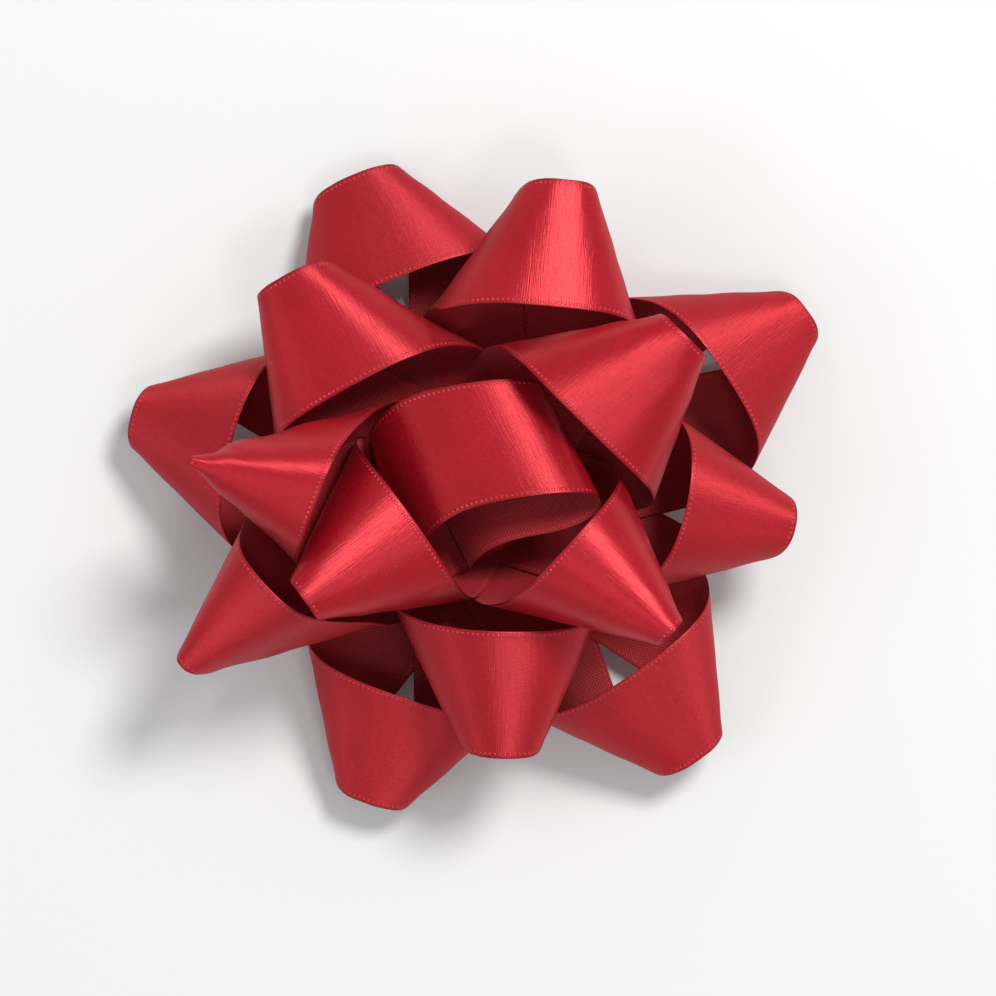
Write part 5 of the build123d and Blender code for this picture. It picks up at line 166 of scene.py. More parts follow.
        ((-40.927, 11.418, 4.289), (-38.539, 15.394, 5.070), (-35.376, 19.930, 7.993), (-32.036, 22.591, 12.559), (-29.332, 23.531, 16.244)),
        ((-43.925, 13.181, 4.426), (-41.547, 17.028, 5.717), (-38.332, 20.743, 9.596), (-34.771, 22.117, 14.600), (-31.913, 22.440, 18.298)),
        ((-46.551, 14.701, 4.686), (-44.178, 18.237, 6.682), (-40.798, 20.647, 11.370), (-37.017, 21.149, 16.366), (-33.931, 20.836, 19.898)),
        ((-48.910, 16.002, 5.147), (-46.501, 18.850, 8.001), (-42.880, 19.989, 13.013), (-38.803, 19.662, 17.769), (-35.498, 18.921, 21.043)),
        ((-51.083, 17.014, 5.933), (-48.525, 18.700, 9.503), (-44.606, 18.809, 14.394), (-40.205, 17.836, 18.767), (-36.736, 16.874, 21.811)),
        ((-53.109, 17.435, 7.170), (-50.304, 17.947, 10.927), (-45.988, 17.134, 15.405), (-41.336, 15.822, 19.422), (-37.756, 14.754, 22.299)),
        ((-54.983, 16.941, 8.648), (-51.786, 16.410, 12.054), (-47.116, 15.082, 16.044), (-42.298, 13.626, 19.810), (-38.645, 12.510, 22.576)),
        ((-56.590, 15.101, 9.819), (-52.999, 14.027, 12.679), (-48.118, 12.534, 16.348), (-43.203, 11.027, 19.966), (-39.507, 9.893, 22.666)),
        ((-57.734, 11.890, 10.039), (-54.027, 10.754, 12.722), (-49.085, 9.238, 16.300), (-44.142, 7.723, 19.876), (-40.435, 6.586, 22.559)),
        ((-58.226, 8.871, 9.463), (-54.651, 7.715, 12.310), (-49.774, 6.199, 15.975), (-44.862, 4.685, 19.595), (-41.169, 3.549, 22.297)),
        ((-57.718, 6.899, 8.190), (-54.736, 5.404, 11.500), (-50.098, 3.819, 15.433), (-45.282, 2.293, 19.174), (-41.629, 1.155, 21.930)),
        ((-56.359, 5.911, 6.796), (-54.228, 3.640, 10.290), (-50.131, 1.746, 14.651), (-45.505, 0.160, 18.600), (-41.927, -0.992, 21.446)),
        ((-54.414, 5.678, 5.850), (-53.055, 2.455, 8.855), (-49.762, -0.110, 13.525), (-45.511, -1.896, 17.792), (-42.069, -3.096, 20.781)),
        ((-52.152, 5.766, 5.313), (-51.329, 1.758, 7.493), (-48.830, -1.657, 12.060), (-45.201, -3.911, 16.657), (-42.004, -5.241, 19.856)),
        ((-49.580, 5.978, 4.989), (-48.975, 1.581, 6.457), (-47.302, -2.898, 10.372), (-44.349, -5.791, 15.092), (-41.574, -7.431, 18.531)),
        ((-46.583, 6.267, 4.777), (-46.057, 1.700, 5.749), (-44.981, -3.676, 8.664), (-42.766, -7.426, 13.125), (-40.494, -9.533, 16.679)),
        ((-43.088, 6.620, 4.647), (-42.590, 1.979, 5.272), (-41.781, -3.877, 7.289), (-40.365, -8.710, 10.946), (-38.589, -11.374, 14.384)),
        ((-39.043, 7.036, 4.586), (-38.556, 2.362, 4.952), (-37.850, -3.715, 6.319), (-36.889, -9.282, 8.984), (-35.744, -12.776, 11.892)),
        ((-34.269, 7.527, 4.575), (-33.785, 2.842, 4.743), (-33.119, -3.339, 5.637), (-32.352, -9.278, 7.482), (-31.596, -13.387, 9.628)),
        ((-29.416, 8.023, 4.985), (-28.923, 3.340, 4.675), (-28.271, -2.884, 5.218), (-27.574, -8.983, 6.530), (-26.970, -13.375, 8.100)),
        ((-24.137, 8.560, 6.018), (-23.652, 3.878, 5.424), (-23.005, -2.361, 4.948), (-22.338, -8.540, 5.865), (-21.800, -13.075, 7.013)),
        ((-18.669, 9.130, 5.375), (-18.184, 4.444, 5.158), (-17.540, -1.805, 4.930), (-16.887, -8.023, 5.418), (-16.378, -12.631, 6.261)),
        ((-13.517, 9.657, 4.988), (-13.031, 4.976, 5.045), (-12.387, -1.276, 4.923), (-11.739, -7.513, 5.122), (-11.243, -12.157, 5.753)),
        ((-7.316, 10.282, 5.464), (-6.827, 5.612, 5.237), (-6.183, -0.637, 5.076), (-5.537, -6.885, 5.096), (-5.048, -11.553, 5.318)),
        ((-1.327, 10.888, 5.387), (-0.840, 6.228, 5.067), (-0.195, -0.021, 4.999), (0.449, -6.272, 5.078), (0.934, -10.951, 5.197)),
        ((4.834, 11.508, 5.519), (5.323, 6.859, 5.155), (5.968, 0.614, 5.045), (6.612, -5.638, 4.930), (7.096, -10.323, 4.894)),
    ],
    "lower_loop_5": [
        ((8.395, 9.284, 5.588), (3.954, 7.736, 5.561), (-1.979, 5.664, 5.515), (-7.912, 3.592, 5.549), (-12.359, 2.041, 5.617)),
        ((10.482, 3.324, 5.378), (6.038, 1.774, 5.469), (0.104, -0.299, 5.420), (-5.828, -2.370, 5.546), (-10.268, -3.915, 5.699)),
        ((12.638, -2.837, 5.182), (8.190, -4.387, 5.356), (2.256, -6.460, 5.478), (-3.670, -8.528, 5.734), (-8.094, -10.058, 5.955)),
        ((14.555, -8.319, 5.032), (10.105, -9.872, 5.101), (4.171, -11.943, 5.407), (-1.739, -14.004, 5.767), (-6.130, -15.512, 6.314)),
        ((16.079, -12.700, 4.835), (11.636, -14.257, 5.144), (5.706, -16.325, 5.025), (-0.188, -18.369, 5.721), (-4.531, -19.833, 6.815)),
        ((17.850, -17.784, 4.799), (13.402, -19.346, 5.748), (7.494, -21.400, 5.777), (1.652, -23.397, 6.293), (-2.599, -24.762, 7.795)),
        ((19.813, -23.425, 4.631), (15.363, -24.973, 5.660), (9.523, -26.996, 7.043), (3.807, -28.851, 7.462), (-0.227, -29.951, 9.559)),
        ((21.503, -28.208, 4.658), (17.064, -29.757, 4.986), (11.315, -31.674, 7.185), (5.895, -33.155, 9.084), (2.259, -33.687, 11.915)),
        ((22.779, -31.860, 4.643), (18.355, -33.397, 5.103), (12.721, -35.184, 7.157), (7.773, -36.026, 10.783), (4.651, -35.713, 14.196)),
        ((24.012, -35.379, 4.687), (19.625, -36.883, 5.478), (14.226, -38.376, 8.267), (9.984, -38.126, 12.856), (7.315, -36.965, 16.495)),
        ((25.137, -38.564, 4.821), (20.837, -39.980, 6.103), (15.947, -40.756, 9.904), (12.349, -39.336, 14.876), (9.966, -37.543, 18.488)),
        ((26.147, -41.358, 5.089), (22.046, -42.540, 7.060), (17.904, -42.102, 11.708), (14.688, -39.831, 16.607), (12.526, -37.376, 19.983)),
        ((27.117, -43.859, 5.573), (23.447, -44.442, 8.424), (19.948, -42.796, 13.375), (17.034, -39.636, 17.943), (14.956, -36.742, 21.026)),
        ((28.171, -46.044, 6.432), (25.171, -45.524, 10.006), (22.106, -42.819, 14.750), (19.330, -38.977, 18.872), (17.258, -35.841, 21.719)),
        ((29.595, -47.592, 7.826), (27.155, -45.937, 11.498), (24.355, -42.240, 15.723), (21.587, -38.023, 19.474), (19.494, -34.756, 22.154)),
        ((31.602, -48.216, 9.435), (29.496, -45.459, 12.611), (26.723, -41.208, 16.319), (23.918, -36.803, 19.819), (21.800, -33.464, 22.389)),
        ((34.384, -47.433, 10.547), (32.280, -44.132, 13.176), (29.447, -39.662, 16.571), (26.601, -35.170, 19.925), (24.463, -31.794, 22.429)),
        ((37.812, -45.308, 10.626), (35.669, -41.926, 13.118), (32.811, -37.417, 16.439), (29.953, -32.907, 19.759), (27.810, -29.524, 22.249)),
        ((40.433, -43.135, 9.962), (38.397, -39.817, 12.623), (35.590, -35.347, 16.040), (32.756, -30.858, 19.408), (30.623, -27.485, 21.920)),
        ((41.468, -41.265, 8.607), (40.095, -38.065, 11.763), (37.502, -33.688, 15.455), (34.744, -29.246, 18.946), (32.641, -25.896, 21.514)),
        ((41.035, -39.675, 7.134), (40.898, -36.424, 10.502), (38.930, -32.154, 14.656), (36.344, -27.781, 18.360), (34.302, -24.463, 21.016)),
        ((39.672, -38.327, 6.178), (40.756, -34.846, 9.030), (39.905, -30.577, 13.535), (37.718, -26.289, 17.572), (35.796, -23.016, 20.370)),
        ((37.893, -37.050, 5.667), (39.834, -33.329, 7.685), (40.210, -28.912, 12.064), (38.834, -24.668, 16.477), (37.164, -21.451, 19.492)),
        ((35.838, -35.692, 5.367), (38.126, -31.837, 6.725), (39.818, -27.137, 10.388), (39.451, -22.835, 14.944), (38.312, -19.657, 18.232)),
        ((33.430, -34.146, 5.174), (35.856, -30.224, 6.089), (38.499, -25.245, 8.741), (39.310, -20.753, 12.996), (38.933, -17.541, 16.430)),
        ((30.571, -32.330, 5.052), (33.054, -28.374, 5.667), (36.120, -23.228, 7.478), (38.246, -18.419, 10.831), (38.670, -15.091, 14.125)),
        ((27.186, -30.188, 4.998), (29.693, -26.214, 5.387), (32.932, -20.982, 6.611), (35.786, -15.928, 8.954), (37.284, -12.354, 11.607)),
        ((23.049, -27.574, 5.003), (25.565, -23.592, 5.210), (28.879, -18.315, 6.016), (32.035, -13.127, 7.592), (34.148, -9.350, 9.432)),
        ((18.453, -24.671, 5.176), (20.962, -20.679, 5.139), (24.305, -15.381, 5.647), (27.580, -10.129, 6.722), (29.927, -6.249, 7.992)),
        ((13.989, -21.839, 6.486), (16.511, -17.853, 5.479), (19.853, -12.552, 5.448), (23.174, -7.270, 6.216), (25.609, -3.344, 7.142)),
        ((9.454, -18.981, 6.035), (11.976, -14.992, 5.758), (15.326, -9.687, 5.390), (18.668, -4.389, 5.892), (21.145, -0.438, 6.583)),
        ((5.138, -16.254, 5.428), (7.652, -12.270, 5.558), (11.009, -6.957, 5.404), (14.360, -1.652, 5.685), (16.857, 2.314, 6.199)),
        ((0.003, -13.001, 6.030), (2.510, -9.020, 5.864), (5.866, -3.707, 5.754), (9.219, 1.607, 5.717), (11.726, 5.584, 5.868)),
        ((-5.368, -9.596, 6.176), (-2.864, -5.623, 5.896), (0.492, -0.311, 5.747), (3.848, 5.003, 5.820), (6.362, 8.985, 5.975)),
        ((-10.922, -6.072, 6.139), (-8.425, -2.105, 5.951), (-5.072, 3.205, 5.845), (-1.715, 8.519, 5.782), (0.801, 12.503, 5.805)),
    ],
    "middle_loop_1": [
        ((-12.428, 1.218, 6.499), (-8.567, -1.423, 6.413), (-3.377, -4.959, 6.297), (1.818, -8.497, 6.286), (5.713, -11.151, 6.235)),
        ((-9.095, 6.142, 6.334), (-5.223, 3.494, 6.302), (-0.030, -0.044, 6.196), (5.165, -3.582, 6.212), (9.058, -6.235, 6.241)),
        ((-6.369, 9.995, 7.105), (-2.426, 7.586, 6.576), (2.775, 4.079, 6.218), (7.968, 0.535, 6.291), (11.856, -2.117, 6.290)),
        ((-3.655, 13.830, 8.595), (0.292, 11.430, 7.672), (5.535, 8.099, 7.057), (10.747, 4.642, 6.502), (14.616, 1.946, 6.371)),
        ((-0.775, 17.949, 10.023), (3.168, 15.512, 9.126), (8.408, 12.183, 8.166), (13.612, 8.753, 7.543), (17.458, 6.060, 7.462)),
        ((2.374, 22.442, 11.617), (6.312, 19.976, 10.805), (11.542, 16.617, 9.928), (16.706, 13.122, 9.466), (20.487, 10.376, 9.499)),
        ((5.660, 27.118, 13.326), (9.592, 24.629, 12.578), (14.797, 21.210, 11.884), (19.871, 17.589, 11.805), (23.499, 14.708, 12.248)),
        ((8.671, 31.394, 14.928), (12.595, 28.880, 14.256), (17.742, 25.359, 13.873), (22.625, 21.554, 14.349), (25.927, 18.468, 15.360)),
        ((11.283, 35.099, 16.335), (15.187, 32.537, 15.807), (20.212, 28.864, 15.887), (24.697, 24.797, 17.102), (27.362, 21.422, 18.767)),
        ((13.514, 38.259, 17.577), (17.374, 35.617, 17.293), (22.146, 31.731, 18.005), (25.846, 27.293, 20.083), (27.633, 23.602, 22.196)),
        ((15.507, 41.072, 18.767), (19.264, 38.302, 18.872), (23.468, 34.091, 20.439), (25.976, 29.213, 23.196), (27.148, 25.326, 25.414)),
        ((17.218, 43.481, 19.950), (20.735, 40.519, 20.616), (23.872, 35.864, 23.058), (25.484, 30.697, 26.010), (26.288, 26.694, 28.205)),
        ((18.576, 45.416, 21.149), (21.565, 42.177, 22.509), (23.574, 37.135, 25.394), (24.643, 31.795, 28.312), (24.859, 27.592, 30.309)),
        ((19.589, 46.986, 22.491), (21.674, 43.394, 24.468), (22.984, 38.132, 27.412), (23.267, 32.524, 30.059), (23.091, 28.164, 31.744)),
        ((20.072, 48.242, 24.140), (21.307, 44.373, 26.347), (21.797, 38.837, 29.071), (21.527, 33.005, 31.264), (21.192, 28.562, 32.713)),
        ((19.869, 49.271, 26.008), (20.338, 45.154, 28.092), (20.053, 39.314, 30.261), (19.568, 33.364, 32.109), (19.174, 28.878, 33.416)),
        ((18.604, 50.102, 27.885), (18.278, 45.662, 29.342), (17.752, 39.680, 31.076), (17.208, 33.678, 32.742), (16.796, 29.172, 33.974)),
        ((15.313, 50.572, 28.852), (14.897, 46.059, 30.059), (14.342, 40.042, 31.667), (13.788, 34.025, 33.275), (13.372, 29.512, 34.481)),
        ((11.677, 50.788, 28.883), (11.247, 46.334, 30.282), (10.693, 40.342, 31.980), (10.140, 34.334, 33.622), (9.724, 29.825, 34.840)),
        ((9.336, 50.454, 27.670), (8.591, 46.313, 29.744), (7.959, 40.461, 31.848), (7.394, 34.507, 33.668), (6.978, 30.018, 34.960)),
        ((7.854, 49.594, 25.830), (6.498, 45.909, 28.424), (5.507, 40.389, 31.197), (4.853, 34.564, 33.374), (4.417, 30.125, 34.820)),
        ((6.783, 48.352, 23.790), (4.891, 45.056, 26.519), (3.258, 40.014, 29.887), (2.319, 34.454, 32.604), (1.802, 30.120, 34.317)),
        ((6.482, 46.342, 21.751), (3.475, 43.892, 24.324), (1.334, 39.215, 27.925), (-0.138, 34.062, 31.196), (-0.860, 29.938, 33.288)),
        ((6.686, 43.510, 20.025), (2.560, 42.070, 21.777), (-0.439, 38.010, 25.464), (-2.389, 33.253, 29.024), (-3.436, 29.531, 31.513)),
        ((7.050, 39.995, 18.445), (2.451, 39.161, 19.264), (-2.084, 36.319, 22.493), (-4.406, 32.109, 26.144), (-5.516, 29.195, 28.808)),
        ((7.464, 36.032, 16.925), (2.769, 35.459, 17.166), (-2.926, 33.753, 19.263), (-6.143, 30.969, 22.631), (-6.917, 29.419, 24.898)),
        ((7.854, 32.243, 15.566), (3.152, 31.781, 15.517), (-2.953, 30.653, 16.677), (-7.245, 29.387, 18.886), (-8.841, 28.071, 20.705)),
        ((8.229, 28.569, 14.273), (3.532, 28.158, 14.080), (-2.696, 27.308, 14.642), (-7.923, 26.703, 15.616), (-10.648, 25.604, 16.848)),
        ((8.635, 24.580, 12.878), (3.944, 24.195, 12.613), (-2.322, 23.500, 12.772), (-8.220, 22.847, 13.220), (-11.931, 22.035, 13.905)),
        ((9.144, 19.569, 11.142), (4.456, 19.198, 10.832), (-1.811, 18.607, 10.699), (-8.024, 17.810, 11.140), (-12.439, 17.002, 11.764)),
        ((9.694, 14.112, 9.274), (5.012, 13.756, 8.920), (-1.248, 13.223, 8.628), (-7.515, 12.524, 8.779), (-12.142, 11.791, 9.361)),
        ((10.115, 9.919, 7.922), (5.436, 9.574, 7.705), (-0.816, 9.087, 7.407), (-7.062, 8.562, 7.037), (-11.659, 8.273, 7.487)),
        ((10.498, 5.986, 7.130), (5.825, 5.670, 6.830), (-0.427, 5.202, 6.574), (-6.683, 4.699, 6.676), (-11.343, 4.303, 6.854)),
        ((10.934, 1.180, 6.615), (6.241, 0.796, 6.595), (-0.023, 0.285, 6.521), (-6.287, -0.226, 6.664), (-10.969, -0.614, 6.742)),
        ((11.442, -5.085, 6.570), (6.751, -5.470, 6.568), (0.487, -5.980, 6.613), (-5.778, -6.491, 6.561), (-10.471, -6.875, 6.585)),
    ],
    "middle_loop_2": [
        ((8.966, -8.385, 8.304), (7.629, -4.112, 7.267), (5.709, 1.847, 7.021), (3.776, 7.826, 8.069), (2.331, 12.304, 8.788)),
        ((3.447, -10.245, 7.984), (2.092, -5.917, 7.201), (0.167, 0.054, 6.961), (-1.766, 6.034, 7.614), (-3.206, 10.504, 8.497)),
        ((-0.674, -11.555, 7.970), (-2.357, -7.369, 7.181), (-4.298, -1.390, 7.013), (-6.227, 4.588, 7.237), (-7.657, 9.046, 8.041)),
        ((-4.125, -12.623, 9.178), (-5.922, -8.471, 8.089), (-8.011, -2.582, 7.680), (-9.935, 3.394, 7.404), (-11.318, 7.859, 7.823)),
        ((-8.594, -14.039, 10.766), (-10.346, -9.814, 9.595), (-12.429, -3.919, 8.909), (-14.299, 2.071, 8.772), (-15.475, 6.610, 9.161)),
        ((-13.885, -15.673, 12.758), (-15.595, -11.398, 11.729), (-17.631, -5.480, 11.126), (-19.401, 0.537, 11.174), (-20.395, 5.075, 11.854)),
        ((-19.598, -17.438, 14.894), (-21.256, -13.107, 14.043), (-23.207, -7.150, 13.660), (-24.762, -1.105, 14.142), (-25.571, 3.380, 15.005)),
        ((-24.685, -19.004, 16.830), (-26.286, -14.620, 16.160), (-28.124, -8.624, 16.052), (-29.275, -2.599, 17.219), (-29.671, 1.755, 18.548)),
        ((-29.633, -20.514, 18.760), (-31.162, -16.083, 18.294), (-32.744, -10.048, 18.719), (-33.244, -4.164, 20.758), (-32.882, -0.048, 22.894)),
        ((-34.162, -21.884, 20.615), (-35.615, -17.417, 20.348), (-36.684, -11.410, 21.631), (-36.307, -5.847, 24.474), (-35.238, -2.048, 27.019)),
        ((-38.241, -23.114, 22.315), (-39.499, -18.604, 22.476), (-39.740, -12.807, 24.768), (-38.361, -7.714, 28.145), (-36.761, -4.194, 30.793)),
        ((-41.959, -24.231, 23.947), (-42.758, -19.733, 24.896), (-41.803, -14.427, 28.081), (-39.619, -9.758, 31.615), (-37.768, -6.367, 34.271)),
        ((-44.910, -25.125, 25.482), (-44.865, -20.853, 27.404), (-42.872, -16.078, 30.921), (-40.327, -11.595, 34.455), (-38.147, -8.362, 37.063)),
        ((-46.871, -25.803, 26.965), (-45.877, -21.949, 29.482), (-43.395, -17.434, 33.017), (-40.358, -13.178, 36.449), (-37.782, -10.100, 38.888)),
        ((-48.024, -26.459, 28.458), (-46.368, -22.959, 31.113), (-43.394, -18.673, 34.553), (-39.847, -14.600, 37.723), (-37.034, -11.580, 39.971)),
        ((-48.625, -27.271, 29.917), (-46.456, -24.026, 32.506), (-42.848, -19.964, 35.617), (-39.014, -15.944, 38.518), (-36.099, -12.928, 40.642)),
        ((-48.620, -28.383, 31.262), (-45.766, -25.358, 33.446), (-41.859, -21.333, 36.243), (-37.934, -17.305, 39.012), (-34.987, -14.283, 41.083)),
        ((-47.538, -29.704, 31.682), (-44.600, -26.692, 33.779), (-40.668, -22.662, 36.537), (-36.736, -18.632, 39.292), (-33.786, -15.609, 41.358)),
        ((-46.039, -30.476, 30.902), (-43.145, -27.922, 33.581), (-39.290, -24.028, 36.624), (-35.389, -20.028, 39.467), (-32.449, -17.013, 41.558)),
        ((-44.582, -30.531, 29.538), (-41.574, -28.524, 32.522), (-37.714, -25.141, 36.119), (-33.878, -21.339, 39.299), (-30.980, -18.388, 41.534)),
        ((-42.912, -30.225, 27.865), (-39.798, -28.688, 30.886), (-35.812, -25.886, 34.844), (-31.952, -22.533, 38.477), (-29.082, -19.784, 40.991)),
        ((-40.913, -28.914, 25.681), (-37.476, -28.599, 28.624), (-33.395, -26.194, 32.677), (-29.409, -23.390, 36.639), (-26.489, -21.016, 39.466)),
        ((-38.382, -26.200, 23.562), (-34.654, -27.769, 25.583), (-30.338, -26.213, 29.717), (-26.271, -23.725, 33.776), (-23.257, -21.712, 36.787)),
        ((-35.368, -22.833, 21.624), (-31.709, -25.607, 22.332), (-26.966, -25.735, 26.229), (-22.760, -23.764, 30.369), (-19.721, -21.919, 33.418)),
        ((-32.149, -19.245, 19.678), (-28.658, -22.397, 19.620), (-23.640, -24.425, 22.501), (-19.235, -23.458, 26.675), (-16.349, -22.052, 29.760)),
        ((-28.771, -15.488, 17.681), (-25.377, -18.735, 17.306), (-20.398, -22.083, 18.852), (-16.122, -22.745, 22.531), (-14.274, -22.473, 25.283)),
        ((-25.617, -11.985, 15.837), (-22.265, -15.259, 15.343), (-17.461, -19.199, 15.917), (-13.596, -21.558, 18.217), (-11.730, -22.054, 20.360)),
        ((-22.699, -8.746, 14.131), (-19.372, -12.033, 13.568), (-14.700, -16.205, 13.596), (-10.702, -19.545, 14.565), (-8.113, -20.532, 16.135)),
        ((-19.557, -5.258, 12.285), (-16.246, -8.556, 11.654), (-11.649, -12.818, 11.397), (-7.166, -16.585, 11.855), (-4.016, -18.212, 12.959)),
        ((-16.043, -1.368, 10.280), (-12.758, -4.681, 9.571), (-8.224, -8.999, 9.138), (-3.471, -12.962, 9.553), (0.102, -15.183, 10.577)),
        ((-13.169, 1.824, 8.796), (-9.901, -1.494, 8.354), (-5.403, -5.841, 7.885), (-0.798, -10.009, 7.947), (2.354, -12.923, 9.274)),
        ((-10.570, 4.709, 7.883), (-7.250, 1.436, 7.462), (-2.681, -2.868, 7.343), (1.892, -7.124, 7.711), (5.212, -10.131, 8.663)),
        ((-7.908, 7.609, 8.080), (-4.479, 4.409, 7.564), (0.111, 0.119, 7.308), (4.696, -4.159, 7.525), (8.071, -7.249, 8.224)),
        ((-3.917, 11.867, 8.924), (-0.492, 8.672, 8.623), (4.098, 4.382, 7.789), (8.688, 0.094, 7.309), (12.103, -3.076, 7.559)),
    ],
    "middle_loop_3": [
        ((-0.191, 12.408, 9.632), (-2.374, 8.335, 8.966), (-5.305, 2.802, 8.035), (-8.241, -2.752, 8.887), (-10.441, -6.882, 9.702)),
        ((4.303, 10.072, 9.122), (2.115, 5.979, 8.642), (-0.818, 0.432, 7.847), (-3.753, -5.113, 8.507), (-5.950, -9.204, 9.604)),
        ((8.211, 7.982, 8.417), (6.155, 3.851, 8.204), (3.225, -1.703, 7.780), (0.291, -7.230, 8.258), (-1.901, -11.251, 9.457)),
        ((12.028, 5.982, 8.638), (9.947, 1.835, 8.213), (7.043, -3.727, 8.175), (4.052, -9.198, 8.755), (1.943, -13.140, 10.096)),
        ((16.521, 3.616, 9.244), (14.411, -0.545, 8.602), (11.461, -6.099, 8.780), (8.335, -11.458, 9.832), (5.889, -15.179, 11.135)),
        ((20.621, 1.449, 9.845), (18.493, -2.725, 9.285), (15.473, -8.235, 9.598), (12.312, -13.464, 11.018), (9.878, -16.936, 12.810)),
        ((24.948, -0.849, 10.526), (22.777, -5.025, 10.202), (19.692, -10.461, 10.934), (16.507, -15.339, 13.043), (14.110, -18.413, 15.178)),
        ((28.923, -2.968, 11.200), (26.700, -7.122, 11.192), (23.497, -12.326, 12.623), (20.240, -16.673, 15.429), (17.838, -19.155, 17.967)),
        ((32.646, -4.959, 11.931), (30.367, -9.071, 12.249), (27.019, -13.879, 14.517), (23.484, -17.318, 18.214), (21.016, -19.111, 21.062)),
        ((36.288, -6.910, 12.724), (33.914, -10.872, 13.623), (30.370, -14.967, 16.835), (26.477, -17.255, 21.189), (23.594, -18.217, 24.424)),
        ((39.721, -8.736, 13.675), (37.212, -12.348, 15.359), (33.410, -15.322, 19.439), (29.224, -16.520, 24.013), (25.988, -16.887, 27.364)),
        ((42.741, -10.271, 14.837), (40.045, -13.196, 17.401), (35.964, -14.908, 21.932), (31.586, -15.376, 26.441), (28.188, -15.331, 29.701)),
        ((45.339, -11.377, 16.308), (42.410, -13.278, 19.547), (38.094, -13.993, 24.104), (33.540, -13.891, 28.436), (29.995, -13.474, 31.515)),
        ((47.536, -11.833, 18.081), (44.372, -12.687, 21.531), (39.857, -12.709, 25.904), (35.097, -12.085, 29.957), (31.422, -11.414, 32.830)),
        ((49.374, -11.535, 19.899), (46.023, -11.664, 23.220), (41.266, -11.053, 27.275), (36.317, -10.085, 31.023), (32.537, -9.268, 33.715)),
        ((50.926, -10.630, 21.488), (47.343, -10.142, 24.506), (42.355, -9.122, 28.186), (37.260, -7.977, 31.680), (33.406, -7.090, 34.241)),
        ((52.168, -8.965, 22.647), (48.356, -8.118, 25.283), (43.200, -6.925, 28.668), (38.011, -5.712, 31.997), (34.110, -4.799, 34.476)),
        ((52.984, -6.548, 23.000), (49.067, -5.630, 25.454), (43.844, -4.405, 28.723), (38.620, -3.180, 31.991), (34.701, -2.261, 34.441)),
        ((53.276, -4.099, 22.528), (49.436, -3.160, 25.091), (44.256, -1.929, 28.427), (39.054, -0.703, 31.730), (35.146, 0.216, 34.197)),
        ((52.880, -2.291, 21.331), (49.372, -1.107, 24.233), (44.380, 0.214, 27.808), (39.267, 1.468, 31.236), (35.400, 2.396, 33.763)),
        ((51.843, -1.230, 19.769), (48.827, 0.516, 22.919), (44.204, 2.143, 26.837), (39.271, 3.502, 30.480), (35.485, 4.465, 33.113)),
        ((50.321, -0.702, 18.178), (47.744, 1.661, 21.261), (43.627, 3.864, 25.439), (39.003, 5.488, 29.362), (35.360, 6.547, 32.153)),
        ((48.270, -0.689, 16.736), (46.184, 2.436, 19.424), (42.533, 5.274, 23.629), (38.336, 7.373, 27.789), (34.920, 8.640, 30.771)),
        ((45.678, -1.063, 15.492), (44.004, 2.727, 17.555), (40.886, 6.369, 21.485), (37.106, 9.022, 25.718), (33.995, 10.640, 28.854)),
        ((42.549, -1.693, 14.410), (41.154, 2.531, 15.808), (38.598, 7.071, 19.135), (35.260, 10.374, 23.233), (32.437, 12.378, 26.414)),
        ((38.947, -2.490, 13.472), (37.726, 1.964, 14.287), (35.604, 7.205, 16.835), (32.792, 11.335, 20.519), (30.272, 13.785, 23.614)),
        ((34.910, -3.401, 12.645), (33.801, 1.155, 12.977), (31.973, 6.840, 14.758), (29.616, 11.710, 17.807), (27.462, 14.737, 20.636)),
        ((30.399, -4.419, 11.886), (29.368, 0.174, 11.820), (27.737, 6.112, 12.923), (25.718, 11.522, 15.255), (23.893, 15.085, 17.657)),
        ((25.459, -5.524, 11.141), (24.480, -0.929, 10.788), (22.983, 5.134, 11.319), (21.200, 10.888, 12.977), (19.627, 14.858, 14.885)),
        ((20.181, -6.682, 10.505), (19.250, -2.109, 9.866), (17.850, 4.006, 9.921), (16.227, 9.959, 11.001), (14.832, 14.198, 12.435)),
        ((15.335, -7.736, 9.945), (14.436, -3.188, 9.141), (13.095, 2.937, 8.851), (11.571, 8.987, 9.501), (10.284, 13.378, 10.589)),
        ((11.484, -8.570, 9.729), (10.613, -4.049, 8.908), (9.296, 2.080, 8.572), (7.832, 8.172, 8.783), (6.804, 12.614, 9.553)),
        ((6.628, -9.612, 9.630), (5.783, -5.121, 8.566), (4.515, 0.993, 8.299), (3.159, 7.108, 9.124), (2.127, 11.621, 9.863)),
        ((1.463, -10.785, 9.594), (0.440, -6.318, 8.486), (-0.914, -0.202, 8.157), (-2.268, 5.929, 8.958), (-3.290, 10.488, 9.552)),
        ((-3.477, -11.818, 10.103), (-4.503, -7.387, 9.378), (-5.860, -1.290, 8.724), (-7.212, 4.846, 8.393), (-8.230, 9.429, 8.821)),
    ],
    "middle_loop_4": [
        ((-8.691, -8.989, 10.263), (-4.208, -7.597, 9.859), (1.788, -5.728, 9.076), (7.786, -3.856, 9.107), (12.274, -2.462, 9.366)),
        ((-10.249, -4.026, 9.921), (-5.767, -2.641, 9.393), (0.237, -0.759, 8.872), (6.232, 1.110, 9.066), (10.700, 2.485, 9.415)),
        ((-11.547, 0.171, 9.516), (-7.095, 1.611, 9.055), (-1.082, 3.478, 9.160), (4.904, 5.329, 9.524), (9.338, 6.671, 9.691)),
        ((-12.688, 4.017, 9.723), (-8.259, 5.485, 9.701), (-2.296, 7.399, 9.806), (3.663, 9.247, 10.094), (8.026, 10.552, 10.431)),
        ((-13.966, 8.388, 10.777), (-9.515, 9.837, 10.443), (-3.502, 11.689, 10.923), (2.595, 13.245, 11.452), (7.087, 14.116, 11.793)),
